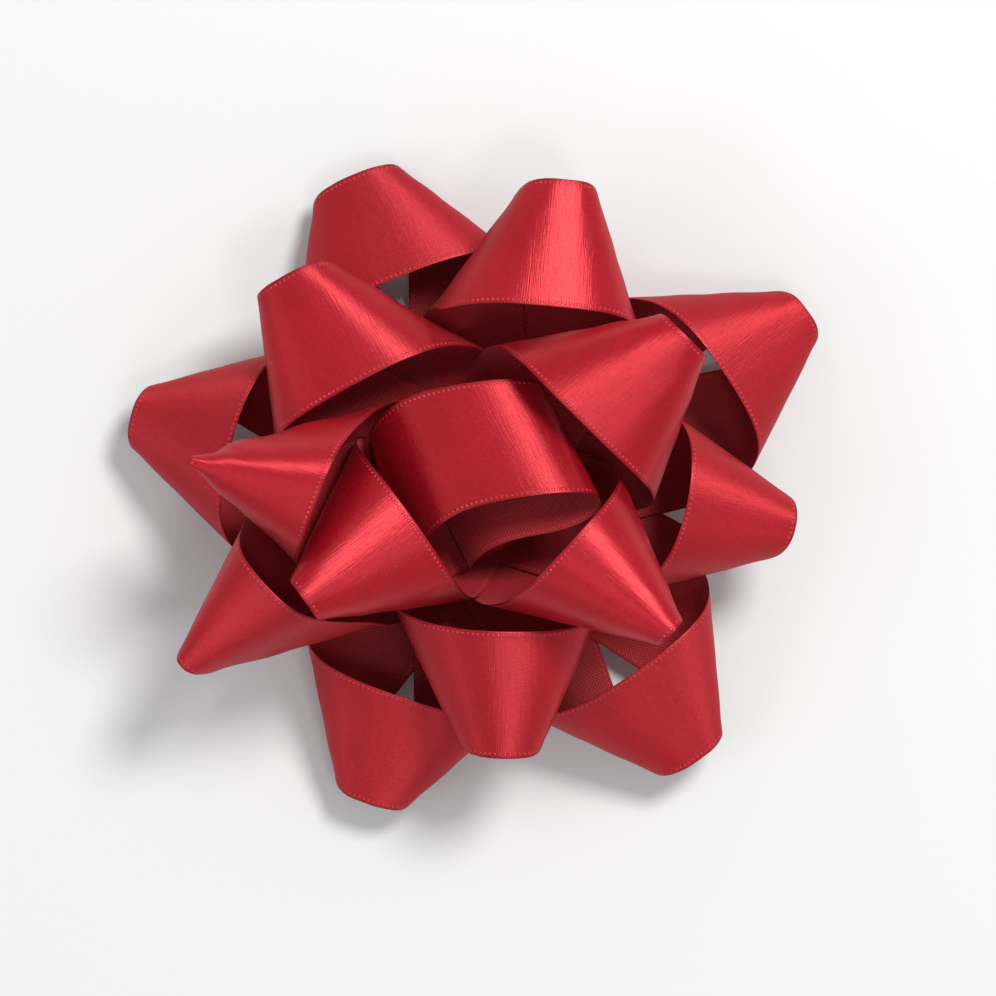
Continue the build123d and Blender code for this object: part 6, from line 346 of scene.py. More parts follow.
        ((-14.994, 11.937, 12.014), (-10.531, 13.367, 11.625), (-4.479, 15.138, 11.574), (1.663, 16.489, 12.535), (6.151, 16.908, 14.036)),
        ((-16.059, 15.615, 13.285), (-11.578, 16.972, 13.289), (-5.485, 18.629, 13.293), (0.621, 19.624, 14.785), (4.944, 19.514, 16.920)),
        ((-17.244, 19.727, 14.789), (-12.752, 20.953, 15.015), (-6.658, 22.314, 15.727), (-0.703, 22.732, 17.852), (3.194, 21.716, 20.494)),
        ((-18.358, 23.614, 16.195), (-13.848, 24.700, 16.583), (-7.892, 25.384, 18.305), (-2.343, 24.825, 21.214), (1.028, 22.875, 23.977)),
        ((-19.406, 27.321, 17.599), (-14.854, 28.267, 18.314), (-9.239, 27.894, 21.137), (-4.455, 25.866, 24.541), (-1.450, 23.324, 27.161)),
        ((-20.301, 30.504, 19.002), (-15.763, 31.117, 20.313), (-10.735, 29.465, 23.864), (-6.640, 26.235, 27.300), (-3.903, 23.268, 29.695)),
        ((-21.069, 33.141, 20.469), (-16.756, 33.030, 22.559), (-12.420, 30.142, 26.250), (-8.766, 26.189, 29.458), (-6.290, 22.794, 31.520)),
        ((-21.818, 35.297, 22.189), (-18.064, 34.012, 24.877), (-14.248, 30.289, 28.313), (-10.963, 25.734, 31.073), (-8.651, 22.047, 32.806)),
        ((-22.787, 36.741, 24.281), (-19.689, 34.318, 27.000), (-16.297, 29.932, 29.935), (-13.238, 24.973, 32.205), (-11.005, 21.118, 33.663)),
        ((-24.231, 37.278, 26.440), (-21.604, 34.119, 28.754), (-18.530, 29.185, 31.055), (-15.571, 24.001, 32.912), (-13.367, 20.057, 34.165)),
        ((-26.156, 37.118, 28.261), (-23.873, 33.373, 29.920), (-20.925, 28.151, 31.685), (-17.991, 22.857, 33.248), (-15.790, 18.869, 34.358)),
        ((-28.789, 36.100, 29.246), (-26.588, 32.122, 30.391), (-23.649, 26.792, 31.820), (-20.707, 21.452, 33.208), (-18.499, 17.445, 34.237)),
        ((-32.003, 34.407, 29.078), (-29.793, 30.398, 30.097), (-26.847, 25.053, 31.455), (-23.900, 19.708, 32.812), (-21.690, 15.699, 33.829)),
        ((-34.519, 32.863, 28.140), (-32.386, 28.868, 29.344), (-29.475, 23.535, 30.810), (-26.544, 18.196, 32.223), (-24.341, 14.191, 33.267)),
        ((-35.686, 31.684, 26.477), (-34.104, 27.659, 28.194), (-31.372, 22.336, 29.972), (-28.501, 17.008, 31.530), (-26.321, 13.009, 32.639)),
        ((-35.545, 30.763, 24.619), (-35.004, 26.625, 26.595), (-32.843, 21.265, 28.874), (-30.129, 15.943, 30.684), (-28.001, 11.949, 31.902)),
        ((-34.508, 29.932, 23.104), (-35.002, 25.703, 24.747), (-33.849, 20.234, 27.361), (-31.547, 14.888, 29.559), (-29.541, 10.896, 30.955)),
        ((-32.975, 29.063, 21.900), (-34.288, 24.804, 22.942), (-34.195, 19.222, 25.458), (-32.685, 13.795, 28.018), (-30.959, 9.786, 29.676)),
        ((-31.070, 28.074, 20.825), (-32.831, 23.839, 21.322), (-33.890, 18.172, 23.296), (-33.275, 12.641, 25.941), (-32.111, 8.575, 27.865)),
        ((-28.752, 26.899, 19.747), (-30.755, 22.705, 19.831), (-32.689, 17.023, 21.052), (-33.160, 11.387, 23.392), (-32.637, 7.245, 25.400)),
        ((-25.985, 25.504, 18.614), (-28.125, 21.353, 18.399), (-30.553, 15.710, 18.959), (-32.081, 10.018, 20.620), (-32.331, 5.796, 22.482)),
        ((-22.789, 23.888, 17.424), (-25.013, 19.780, 16.977), (-27.715, 14.192, 17.039), (-29.871, 8.516, 18.036), (-30.833, 4.251, 19.609)),
        ((-19.314, 22.116, 16.234), (-21.592, 18.054, 15.590), (-24.450, 12.521, 15.292), (-26.932, 6.890, 16.053), (-28.265, 2.632, 17.593)),
        ((-14.982, 19.856, 14.994), (-17.312, 15.879, 14.032), (-20.282, 10.416, 13.411), (-23.011, 4.841, 14.713), (-24.752, 0.608, 15.505)),
        ((-10.572, 17.577, 13.857), (-12.926, 13.635, 12.586), (-15.971, 8.244, 11.649), (-18.855, 2.720, 12.249), (-20.870, -1.480, 12.877)),
        ((-6.921, 15.729, 12.429), (-9.298, 11.806, 11.319), (-12.362, 6.418, 10.383), (-15.309, 0.915, 10.973), (-17.394, -3.298, 11.687)),
        ((-3.349, 13.876, 11.768), (-5.749, 10.002, 10.978), (-8.831, 4.621, 9.898), (-11.804, -0.878, 9.968), (-14.023, -4.974, 10.740)),
        ((1.287, 11.461, 11.350), (-1.145, 7.657, 10.197), (-4.169, 2.216, 9.526), (-7.123, -3.326, 9.999), (-9.320, -7.476, 10.605)),
        ((5.745, 9.293, 10.497), (3.581, 5.201, 9.841), (0.637, -0.338, 9.329), (-2.314, -5.886, 9.913), (-4.520, -10.044, 10.385)),
        ((10.362, 6.790, 10.063), (8.231, 2.714, 9.587), (5.297, -2.818, 9.316), (2.348, -8.367, 9.766), (0.145, -12.528, 10.252)),
    ],
    "middle_loop_5": [
        ((12.262, 2.044, 10.343), (7.886, 3.596, 10.427), (1.974, 5.666, 10.386), (-3.959, 7.735, 10.950), (-8.375, 9.290, 11.331)),
        ((10.835, -2.137, 10.079), (6.441, -0.584, 9.999), (0.517, 1.485, 10.084), (-5.406, 3.554, 10.696), (-9.783, 5.115, 11.244)),
        ((9.608, -5.555, 9.912), (5.210, -4.133, 9.825), (-0.719, -2.064, 10.040), (-6.622, 0.008, 10.413), (-10.944, 1.577, 10.899)),
        ((8.324, -9.126, 10.396), (3.921, -7.785, 10.421), (-2.007, -5.770, 10.296), (-7.867, -3.687, 10.935), (-12.101, -2.103, 11.399)),
        ((6.770, -13.454, 11.308), (2.356, -12.058, 11.226), (-3.562, -9.993, 11.514), (-9.359, -7.614, 11.855), (-13.412, -6.183, 12.444)),
        ((5.408, -17.212, 12.315), (1.003, -15.758, 11.960), (-4.853, -13.543, 12.520), (-10.573, -10.987, 12.965), (-14.514, -8.739, 14.137)),
        ((4.037, -20.964, 13.367), (-0.358, -19.438, 13.084), (-6.026, -17.009, 14.407), (-11.607, -14.238, 15.055), (-15.392, -11.791, 16.688)),
        ((2.500, -25.123, 14.668), (-1.902, -23.515, 14.552), (-7.244, -20.754, 16.216), (-12.266, -17.571, 18.191), (-15.560, -14.834, 20.187)),
        ((1.120, -28.824, 15.908), (-3.251, -27.083, 16.157), (-8.310, -24.028, 18.241), (-12.303, -20.251, 21.285), (-14.731, -17.112, 23.764)),
        ((-0.111, -32.100, 17.170), (-4.362, -30.170, 17.919), (-8.956, -26.755, 20.624), (-11.843, -22.404, 24.213), (-13.413, -18.864, 26.851)),
        ((-1.168, -34.929, 18.476), (-5.149, -32.734, 19.842), (-8.909, -28.830, 23.154), (-10.864, -24.032, 26.815), (-11.815, -20.198, 29.365)),
        ((-2.053, -37.416, 19.930), (-5.520, -34.854, 21.969), (-8.179, -30.390, 25.611), (-9.416, -25.258, 29.072), (-9.897, -21.193, 31.396)),
        ((-2.680, -39.569, 21.639), (-5.300, -36.529, 24.227), (-6.929, -31.578, 27.804), (-7.561, -26.153, 30.914), (-7.742, -21.925, 32.980)),
        ((-2.837, -41.342, 23.637), (-4.428, -37.797, 26.394), (-5.239, -32.459, 29.613), (-5.446, -26.801, 32.330), (-5.452, -22.463, 34.160)),
        ((-2.225, -42.676, 25.763), (-2.955, -38.731, 28.249), (-3.184, -33.084, 30.982), (-3.149, -27.268, 33.343), (-3.062, -22.856, 34.982)),
        ((-0.784, -43.626, 27.635), (-0.914, -39.367, 29.634), (-0.841, -33.520, 31.915), (-0.691, -27.601, 33.998), (-0.560, -23.140, 35.494)),
        ((1.488, -44.197, 28.874), (1.598, -39.760, 30.441), (1.779, -33.801, 32.401), (1.968, -27.820, 34.297), (2.113, -23.329, 35.698)),
        ((4.433, -44.443, 29.203), (4.578, -39.941, 30.570), (4.772, -33.937, 32.390), (4.965, -27.933, 34.209), (5.110, -23.430, 35.573)),
        ((7.423, -44.403, 28.621), (7.588, -39.926, 30.064), (7.792, -33.939, 31.936), (7.990, -27.944, 33.784), (8.137, -23.445, 35.162)),
        ((9.631, -44.053, 27.276), (9.999, -39.717, 29.053), (10.291, -33.810, 31.146), (10.526, -27.856, 33.114), (10.688, -23.376, 34.551)),
        ((10.728, -43.289, 25.410), (11.760, -39.286, 27.603), (12.342, -33.557, 30.071), (12.680, -27.682, 32.244), (12.881, -23.238, 33.780)),
        ((10.819, -42.108, 23.570), (12.793, -38.540, 25.783), (14.027, -33.137, 28.659), (14.602, -27.405, 31.126), (14.887, -23.020, 32.807)),
        ((10.251, -40.572, 22.031), (13.112, -37.433, 23.828), (15.274, -32.458, 26.860), (16.328, -26.970, 29.668), (16.785, -22.686, 31.549)),
        ((9.324, -38.744, 20.717), (12.767, -35.919, 21.966), (15.969, -31.428, 24.737), (17.759, -26.282, 27.778), (18.544, -22.165, 29.892)),
        ((8.141, -36.606, 19.508), (11.912, -33.991, 20.265), (16.019, -29.949, 22.458), (18.695, -25.207, 25.446), (19.994, -21.328, 27.730)),
        ((6.724, -34.116, 18.325), (10.680, -31.648, 18.679), (15.387, -27.943, 20.220), (18.978, -23.631, 22.836), (20.897, -20.035, 25.091)),
        ((5.033, -31.159, 17.116), (9.096, -28.810, 17.119), (14.153, -25.339, 18.087), (18.396, -21.362, 20.179), (21.090, -18.138, 22.079)),
        ((2.951, -27.503, 15.807), (7.071, -25.261, 15.481), (12.313, -21.948, 16.005), (17.039, -18.262, 17.468), (20.436, -15.411, 18.748)),
        ((0.644, -23.370, 14.563), (4.774, -21.232, 13.901), (10.134, -18.064, 13.992), (15.285, -14.678, 14.713), (19.018, -12.027, 15.567)),
        ((-1.396, -19.532, 13.835), (2.689, -17.512, 12.715), (8.132, -14.513, 12.273), (13.475, -11.289, 12.519), (17.331, -8.714, 13.180)),
        ((-3.285, -16.047, 13.592), (0.779, -14.120, 12.080), (6.262, -11.223, 11.110), (11.681, -8.076, 11.027), (15.626, -5.560, 11.381)),
        ((-5.440, -12.277, 12.597), (-1.353, -10.388, 11.731), (4.165, -7.545, 10.700), (9.646, -4.599, 10.215), (13.689, -2.450, 10.679)),
        ((-7.677, -8.246, 12.078), (-3.598, -6.440, 10.912), (1.922, -3.539, 10.278), (7.426, -0.540, 10.387), (11.508, 1.708, 10.666)),
        ((-9.895, -4.482, 11.717), (-5.900, -2.252, 10.850), (-0.404, 0.744, 10.365), (5.114, 3.743, 10.707), (9.225, 5.992, 10.969)),
        ((-12.262, 0.061, 11.464), (-8.326, 2.281, 11.035), (-2.862, 5.273, 11.071), (2.659, 8.273, 10.803), (6.788, 10.522, 11.052)),
    ],
    "upper_loop_1": [
        ((-9.212, 8.450, 11.923), (-7.705, 4.011, 11.558), (-5.679, -1.936, 11.277), (-3.654, -7.895, 12.065), (-2.158, -12.351, 12.646)),
        ((-4.241, 10.154, 11.735), (-2.732, 5.708, 11.509), (-0.705, -0.240, 11.037), (1.320, -6.196, 11.570), (2.829, -10.656, 12.144)),
        ((-0.344, 11.368, 12.318), (1.427, 7.116, 11.619), (3.481, 1.188, 10.958), (5.503, -4.765, 11.022), (7.016, -9.222, 11.550)),
        ((2.456, 12.021, 13.742), (4.595, 8.047, 12.691), (6.999, 2.387, 11.552), (9.057, -3.537, 10.847), (10.534, -8.014, 11.347)),
        ((5.900, 12.876, 15.398), (8.020, 8.887, 14.321), (10.672, 3.423, 13.198), (13.107, -2.205, 12.233), (14.634, -6.631, 12.169)),
        ((9.609, 13.835, 18.093), (11.691, 9.814, 16.747), (14.327, 4.342, 15.192), (16.763, -1.257, 14.096), (18.331, -5.597, 13.959)),
        ((13.741, 14.896, 21.271), (15.782, 10.841, 19.980), (18.367, 5.335, 18.453), (20.639, -0.351, 17.329), (22.008, -4.753, 16.870)),
        ((18.311, 16.060, 24.821), (20.317, 11.977, 23.582), (22.782, 6.398, 22.213), (24.739, 0.576, 21.448), (25.672, -3.925, 21.381)),
        ((22.470, 17.111, 28.087), (24.433, 12.998, 26.908), (26.676, 7.300, 25.815), (28.078, 1.331, 25.584), (28.218, -3.199, 26.045)),
        ((26.072, 18.017, 30.935), (27.955, 13.852, 29.865), (29.812, 8.000, 29.200), (30.234, 1.962, 29.666), (29.188, -2.376, 30.553)),
        ((29.262, 18.812, 33.487), (30.977, 14.555, 32.627), (32.119, 8.554, 32.599), (30.954, 2.728, 33.702), (28.902, -1.269, 34.617)),
        ((32.078, 19.500, 35.822), (33.456, 15.106, 35.338), (33.220, 9.133, 36.101), (30.582, 3.766, 37.324), (28.126, -0.043, 38.131)),
        ((34.366, 20.034, 37.898), (35.088, 15.517, 37.977), (33.112, 9.923, 39.180), (29.799, 4.865, 40.234), (26.768, 1.374, 40.691)),
        ((36.135, 20.423, 39.886), (35.610, 15.993, 40.583), (32.535, 10.819, 41.714), (28.456, 6.194, 42.260), (25.101, 2.937, 42.267)),
        ((37.239, 20.750, 42.067), (35.297, 16.710, 42.976), (31.354, 12.008, 43.614), (26.838, 7.705, 43.511), (23.391, 4.542, 43.230)),
        ((37.193, 21.353, 44.475), (34.259, 17.815, 44.959), (29.713, 13.544, 44.757), (25.100, 9.352, 44.269), (21.636, 6.220, 43.843)),
        ((35.699, 22.865, 46.422), (32.238, 19.727, 46.021), (27.618, 15.558, 45.400), (22.998, 11.392, 44.755), (19.532, 8.268, 44.266)),
        ((33.016, 25.503, 46.789), (29.546, 22.379, 46.340), (24.925, 18.214, 45.693), (20.305, 14.050, 45.035), (16.840, 10.927, 44.539)),
        ((31.186, 27.349, 45.575), (27.478, 24.491, 45.907), (22.793, 20.359, 45.600), (18.157, 16.196, 45.068), (14.686, 13.072, 44.621)),
        ((30.148, 27.971, 43.338), (26.017, 25.945, 44.447), (21.051, 22.160, 44.957), (16.338, 18.051, 44.768), (12.845, 14.936, 44.455)),
        ((29.332, 27.588, 40.858), (24.919, 26.698, 42.172), (19.512, 23.718, 43.513), (14.577, 19.878, 43.968), (11.015, 16.821, 43.925)),
        ((28.422, 26.058, 38.424), (23.897, 26.930, 39.427), (18.196, 24.775, 41.121), (12.873, 21.603, 42.336), (9.138, 18.769, 42.762)),
        ((27.205, 23.883, 35.902), (22.910, 25.930, 36.224), (16.882, 25.465, 38.005), (11.282, 22.942, 39.612), (7.262, 20.610, 40.574)),
        ((25.670, 21.200, 33.120), (21.642, 23.718, 32.939), (15.608, 25.330, 34.139), (9.708, 23.857, 35.989), (5.508, 21.955, 37.197)),
        ((23.940, 18.222, 30.156), (20.083, 20.925, 29.701), (14.363, 23.714, 30.100), (8.214, 24.160, 31.809), (3.818, 22.874, 33.198)),
        ((22.080, 15.035, 27.017), (18.311, 17.815, 26.430), (12.886, 21.109, 26.278), (6.881, 23.123, 27.310), (2.259, 23.099, 28.713)),
        ((20.035, 11.540, 23.591), (16.307, 14.351, 22.944), (11.094, 17.889, 22.444), (5.390, 20.753, 22.797), (0.805, 21.968, 23.776)),
        ((17.838, 7.796, 19.943), (14.126, 10.623, 19.245), (9.047, 14.286, 18.541), (3.612, 17.567, 18.441), (-0.771, 19.511, 18.922)),
        ((15.902, 4.504, 16.755), (12.204, 7.354, 16.015), (7.189, 11.069, 15.379), (1.939, 14.548, 15.448), (-2.226, 16.872, 15.449)),
        ((13.979, 1.244, 14.045), (10.315, 4.113, 13.737), (5.370, 7.887, 13.377), (0.393, 11.621, 13.113), (-3.368, 14.349, 13.021)),
        ((12.430, -1.325, 12.610), (8.782, 1.550, 12.187), (3.789, 5.302, 11.913), (-1.232, 9.028, 12.000), (-4.969, 11.808, 12.246)),
        ((10.565, -4.106, 11.513), (6.806, -1.309, 11.174), (1.736, 2.393, 11.437), (-3.350, 6.081, 11.881), (-7.155, 8.832, 12.225)),
        ((8.530, -6.961, 11.560), (4.720, -4.196, 11.358), (-0.368, -0.507, 11.360), (-5.456, 3.183, 11.823), (-9.265, 5.941, 12.090)),
        ((6.031, -10.402, 12.087), (2.221, -7.640, 12.152), (-2.866, -3.949, 11.786), (-7.957, -0.261, 11.693), (-11.770, 2.502, 11.732)),
        ((5.373, -11.307, 12.157), (1.564, -8.546, 12.344), (-3.524, -4.856, 11.948), (-8.615, -1.168, 11.635), (-12.430, 1.596, 11.619)),
    ],
    "upper_loop_2": [
        ((2.540, -12.239, 12.871), (3.908, -7.758, 12.591), (5.741, -1.744, 11.968), (7.581, 4.265, 14.112), (8.952, 8.694, 15.456)),
        ((-2.181, -10.803, 12.930), (-0.812, -6.320, 12.612), (1.020, -0.304, 11.899), (2.877, 5.715, 13.247), (4.230, 10.091, 15.173)),
        ((-6.258, -9.554, 12.662), (-4.941, -5.066, 12.389), (-3.094, 0.942, 12.074), (-1.256, 6.937, 12.580), (0.113, 11.260, 14.224)),
        ((-8.855, -8.731, 13.273), (-7.637, -4.238, 12.738), (-5.800, 1.767, 12.452), (-3.876, 7.736, 12.755), (-2.525, 12.001, 13.837)),
        ((-11.446, -7.801, 14.491), (-10.323, -3.306, 13.823), (-8.545, 2.695, 13.738), (-6.398, 8.623, 13.776), (-4.433, 12.695, 14.595)),
        ((-14.793, -6.519, 16.413), (-13.639, -2.026, 15.819), (-11.815, 3.988, 15.591), (-9.070, 9.732, 16.291), (-6.235, 13.503, 17.334)),
        ((-18.098, -5.245, 19.574), (-16.946, -0.746, 18.973), (-15.095, 5.295, 18.488), (-11.958, 10.874, 19.400), (-8.548, 14.034, 21.114)),
        ((-22.036, -3.727, 23.515), (-20.860, 0.777, 22.939), (-18.803, 6.790, 22.682), (-15.126, 11.990, 24.126), (-11.207, 14.280, 26.186)),
        ((-25.943, -2.220, 27.429), (-24.855, 2.329, 26.752), (-22.270, 8.164, 27.062), (-17.858, 12.519, 29.192), (-13.611, 13.833, 31.367)),
        ((-29.700, -0.771, 31.185), (-28.653, 3.847, 30.451), (-25.438, 9.394, 31.442), (-20.103, 12.068, 34.215), (-15.760, 12.694, 36.262)),
        ((-33.334, 0.627, 34.753), (-32.115, 5.277, 34.202), (-28.060, 10.102, 36.060), (-22.165, 11.013, 38.922), (-17.751, 10.981, 40.764)),
        ((-36.952, 2.033, 37.989), (-35.104, 6.435, 38.141), (-30.004, 9.420, 40.734), (-24.064, 9.309, 43.210), (-19.656, 8.932, 44.866)),
        ((-39.961, 3.296, 40.971), (-37.540, 7.398, 41.768), (-31.614, 7.967, 44.555), (-25.733, 7.398, 46.727), (-21.327, 6.605, 48.099)),
        ((-42.100, 4.162, 43.474), (-38.928, 7.265, 44.988), (-32.892, 6.538, 47.288), (-27.020, 5.356, 48.997), (-22.620, 4.167, 49.941)),
        ((-43.707, 4.672, 45.376), (-39.732, 6.060, 47.161), (-33.852, 5.016, 48.976), (-27.987, 3.340, 50.073), (-23.587, 1.974, 50.663)),
        ((-44.945, 5.133, 46.940), (-40.500, 5.027, 48.694), (-34.635, 3.338, 49.747), (-28.762, 1.478, 50.380), (-24.353, 0.072, 50.787)),
        ((-45.575, 4.824, 48.559), (-41.172, 3.567, 49.281), (-35.291, 1.691, 49.793), (-29.409, -0.185, 50.285), (-24.998, -1.593, 50.653)),
        ((-45.973, 3.664, 48.274), (-41.764, 2.000, 49.018), (-35.891, 0.115, 49.559), (-30.010, -1.763, 50.060), (-25.603, -3.168, 50.431)),
        ((-44.975, 3.671, 46.895), (-42.096, 0.703, 47.835), (-36.461, -1.499, 48.926), (-30.620, -3.417, 49.595), (-26.235, -4.827, 50.025)),
        ((-43.463, 3.946, 45.526), (-41.869, -0.004, 45.893), (-36.852, -3.007, 47.508), (-31.229, -5.204, 48.634), (-26.938, -6.661, 49.244)),
        ((-41.308, 4.269, 44.080), (-40.863, -0.201, 43.554), (-36.793, -4.172, 45.132), (-31.690, -7.003, 46.721), (-27.753, -8.672, 47.672)),
        ((-38.743, 4.632, 41.810), (-38.799, 0.078, 40.852), (-36.158, -5.056, 41.850), (-31.713, -8.502, 43.549), (-28.629, -10.484, 44.694)),
        ((-35.708, 5.115, 39.073), (-35.902, 0.574, 37.982), (-34.479, -5.245, 38.137), (-31.233, -9.675, 39.565), (-28.812, -11.992, 40.624)),
        ((-32.315, 5.630, 36.186), (-32.723, 1.123, 34.873), (-31.937, -4.938, 34.487), (-29.719, -10.232, 35.357), (-27.826, -13.296, 36.247)),
        ((-28.291, 6.235, 32.817), (-28.799, 1.764, 31.401), (-28.505, -4.361, 30.537), (-26.983, -10.183, 30.832), (-25.155, -14.040, 31.589)),
        ((-23.920, 6.970, 28.891), (-24.462, 2.495, 27.447), (-24.412, -3.642, 26.338), (-23.436, -9.689, 26.144), (-22.019, -13.960, 26.584)),
        ((-19.322, 7.655, 24.966), (-20.012, 3.253, 23.365), (-20.066, -2.885, 22.149), (-19.438, -9.008, 21.628), (-18.322, -13.437, 21.850)),
        ((-14.937, 8.291, 21.184), (-15.672, 3.956, 19.533), (-15.832, -2.157, 18.204), (-15.425, -8.302, 17.570), (-14.505, -12.798, 17.819)),
        ((-11.606, 8.864, 18.342), (-12.330, 4.508, 16.832), (-12.553, -1.599, 15.600), (-12.295, -7.760, 15.385), (-11.630, -12.335, 15.426)),
        ((-7.840, 9.532, 16.098), (-8.672, 5.163, 14.860), (-8.834, -0.983, 13.818), (-8.450, -7.192, 13.428), (-7.856, -11.838, 13.380)),
        ((-5.489, 10.055, 14.519), (-5.935, 5.630, 13.400), (-5.614, -0.575, 12.685), (-5.017, -6.818, 12.801), (-4.568, -11.471, 13.135)),
        ((-3.717, 10.424, 13.861), (-3.583, 5.929, 12.838), (-3.008, -0.302, 12.461), (-2.380, -6.552, 12.939), (-1.906, -11.216, 13.276)),
        ((-0.111, 10.863, 14.401), (0.339, 6.311, 13.202), (0.988, 0.096, 12.399), (1.621, -6.150, 12.931), (2.092, -10.826, 13.248)),
        ((4.868, 11.341, 15.844), (5.337, 6.822, 14.948), (5.959, 0.574, 13.007), (6.598, -5.656, 12.463), (7.072, -10.334, 12.667)),
    ],
    "upper_loop_3": [
        ((5.056, 11.367, 16.276), (1.374, 8.586, 15.205), (-3.636, 4.780, 13.437), (-8.630, 0.984, 14.919), (-12.330, -1.771, 16.112)),
        ((7.545, 8.127, 16.044), (3.843, 5.328, 15.086), (-1.156, 1.525, 13.129), (-6.157, -2.270, 14.201), (-9.848, -5.011, 15.633)),
        ((9.976, 4.882, 15.459), (6.402, 2.003, 14.321), (1.398, -1.831, 13.059), (-3.586, -5.608, 13.589), (-7.244, -8.301, 14.480)),
        ((11.619, 2.537, 15.533), (8.320, -0.576, 13.993), (3.418, -4.480, 13.179), (-1.594, -8.188, 13.819), (-5.177, -10.826, 14.555)),
        ((13.027, 0.384, 16.153), (9.868, -2.883, 14.409), (5.187, -6.945, 14.336), (0.039, -10.488, 14.537), (-3.678, -12.876, 15.037)),
        ((14.725, -2.344, 17.400), (11.550, -5.599, 16.090), (6.790, -9.589, 16.060), (1.374, -12.814, 16.313), (-2.958, -14.500, 16.366)),
        ((16.504, -5.186, 20.129), (13.274, -8.408, 18.956), (8.391, -12.295, 18.172), (2.729, -15.214, 18.629), (-1.793, -16.436, 19.496)),
        ((18.463, -8.310, 23.333), (15.213, -11.543, 22.164), (10.052, -15.146, 21.718), (4.159, -17.513, 22.509), (-0.409, -18.128, 23.799)),
        ((20.537, -11.630, 26.748), (17.166, -14.800, 25.718), (11.723, -18.031, 25.726), (5.642, -19.179, 27.255), (1.133, -19.008, 28.750)),
        ((22.586, -14.909, 30.073), (18.954, -17.851, 29.400), (13.195, -20.375, 30.045), (7.127, -20.214, 32.047), (2.770, -19.106, 33.631)),
        ((24.397, -17.890, 33.297), (20.549, -20.606, 32.937), (14.516, -21.703, 34.441), (8.653, -20.419, 36.552), (4.499, -18.657, 38.036)),
        ((26.045, -20.614, 36.329), (21.848, -22.656, 36.613), (15.844, -22.235, 38.613), (10.289, -19.920, 40.600), (6.302, -17.759, 41.923)),
        ((27.404, -22.910, 39.070), (22.918, -23.824, 40.109), (17.209, -21.938, 42.181), (11.926, -18.980, 43.903), (8.143, -16.362, 44.937)),
        ((28.388, -24.544, 41.596), (23.905, -24.001, 43.132), (18.544, -21.205, 44.936), (13.553, -17.609, 46.210), (9.937, -14.663, 46.874)),
        ((29.105, -25.317, 43.997), (24.915, -23.586, 45.497), (19.894, -20.056, 46.811), (15.119, -16.046, 47.548), (11.587, -12.951, 47.903)),
        ((29.852, -25.241, 46.158), (26.044, -22.684, 47.202), (21.291, -18.634, 47.843), (16.606, -14.467, 48.167), (13.100, -11.327, 48.333)),
        ((30.995, -24.316, 47.760), (27.477, -21.198, 48.011), (22.805, -17.005, 48.175), (18.134, -12.811, 48.304), (14.631, -9.665, 48.395)),
        ((32.503, -22.680, 47.720), (29.015, -19.521, 47.879), (24.348, -15.323, 48.021), (19.678, -11.127, 48.145), (16.175, -7.981, 48.234)),
        ((33.404, -21.473, 46.101), (30.380, -17.984, 46.916), (25.824, -13.695, 47.394), (21.183, -9.475, 47.659), (17.690, -6.320, 47.808)),
        ((33.118, -20.842, 43.914), (31.179, -16.837, 45.030), (27.128, -12.193, 46.123), (22.633, -7.856, 46.724), (19.186, -4.664, 47.022)),
        ((31.733, -20.391, 41.674), (31.304, -15.965, 42.492), (28.093, -10.849, 43.984), (24.024, -6.214, 45.076), (20.726, -2.907, 45.641)),
        ((29.657, -19.857, 39.293), (30.394, -15.313, 39.536), (28.553, -9.670, 41.032), (25.120, -4.652, 42.490), (22.161, -1.115, 43.388)),
        ((27.011, -19.158, 36.651), (28.416, -14.712, 36.371), (28.179, -8.684, 37.410), (25.718, -3.228, 39.004), (23.184, 0.560, 40.119)),
        ((23.893, -18.287, 33.840), (25.717, -14.019, 33.121), (26.657, -7.919, 33.514), (25.561, -2.021, 34.913), (23.671, 2.064, 36.127)),
        ((20.487, -17.326, 30.724), (22.506, -13.186, 29.771), (24.191, -7.192, 29.582), (24.317, -1.081, 30.495), (23.322, 3.314, 31.612)),
        ((16.704, -16.202, 27.468), (18.919, -12.229, 26.252), (21.057, -6.384, 25.629), (22.062, -0.262, 26.003), (21.915, 4.310, 26.848)),
        ((12.938, -15.079, 24.200), (15.234, -11.202, 22.858), (17.691, -5.526, 21.884), (19.253, 0.517, 21.886), (19.720, 5.131, 22.961)),
        ((9.090, -13.952, 20.786), (11.471, -10.172, 19.298), (14.073, -4.582, 18.207), (16.034, 1.344, 18.824), (16.940, 5.930, 20.707)),
        ((5.704, -12.930, 18.203), (8.194, -9.278, 16.825), (10.859, -3.730, 15.619), (13.061, 2.105, 16.938), (14.250, 6.635, 18.044)),
        ((2.652, -12.014, 16.756), (5.198, -8.430, 15.562), (7.919, -2.922, 14.477), (10.198, 2.888, 15.455), (11.753, 7.232, 16.501)),
        ((-0.229, -11.224, 15.230), (1.999, -7.420, 14.168), (4.399, -1.701, 13.849), (6.685, 4.131, 15.450), (8.328, 8.477, 16.453)),
        ((-2.286, -10.604, 14.734), (-0.437, -6.542, 13.826), (1.809, -0.705, 13.630), (4.062, 5.154, 15.476), (5.719, 9.512, 16.464)),
        ((-5.341, -9.481, 14.674), (-3.755, -5.252, 13.924), (-1.517, 0.577, 13.523), (0.716, 6.433, 15.096), (2.402, 10.816, 16.119)),
        ((-9.381, -7.870, 15.507), (-7.805, -3.668, 15.256), (-5.594, 2.156, 14.395), (-3.358, 8.023, 14.165), (-1.661, 12.403, 14.833)),
    ],
    "upper_loop_4": [
        ((8.425, -9.031, 17.264), (7.379, -4.633, 15.671), (5.836, 1.479, 15.503), (4.285, 7.562, 16.493), (3.141, 12.123, 16.538)),
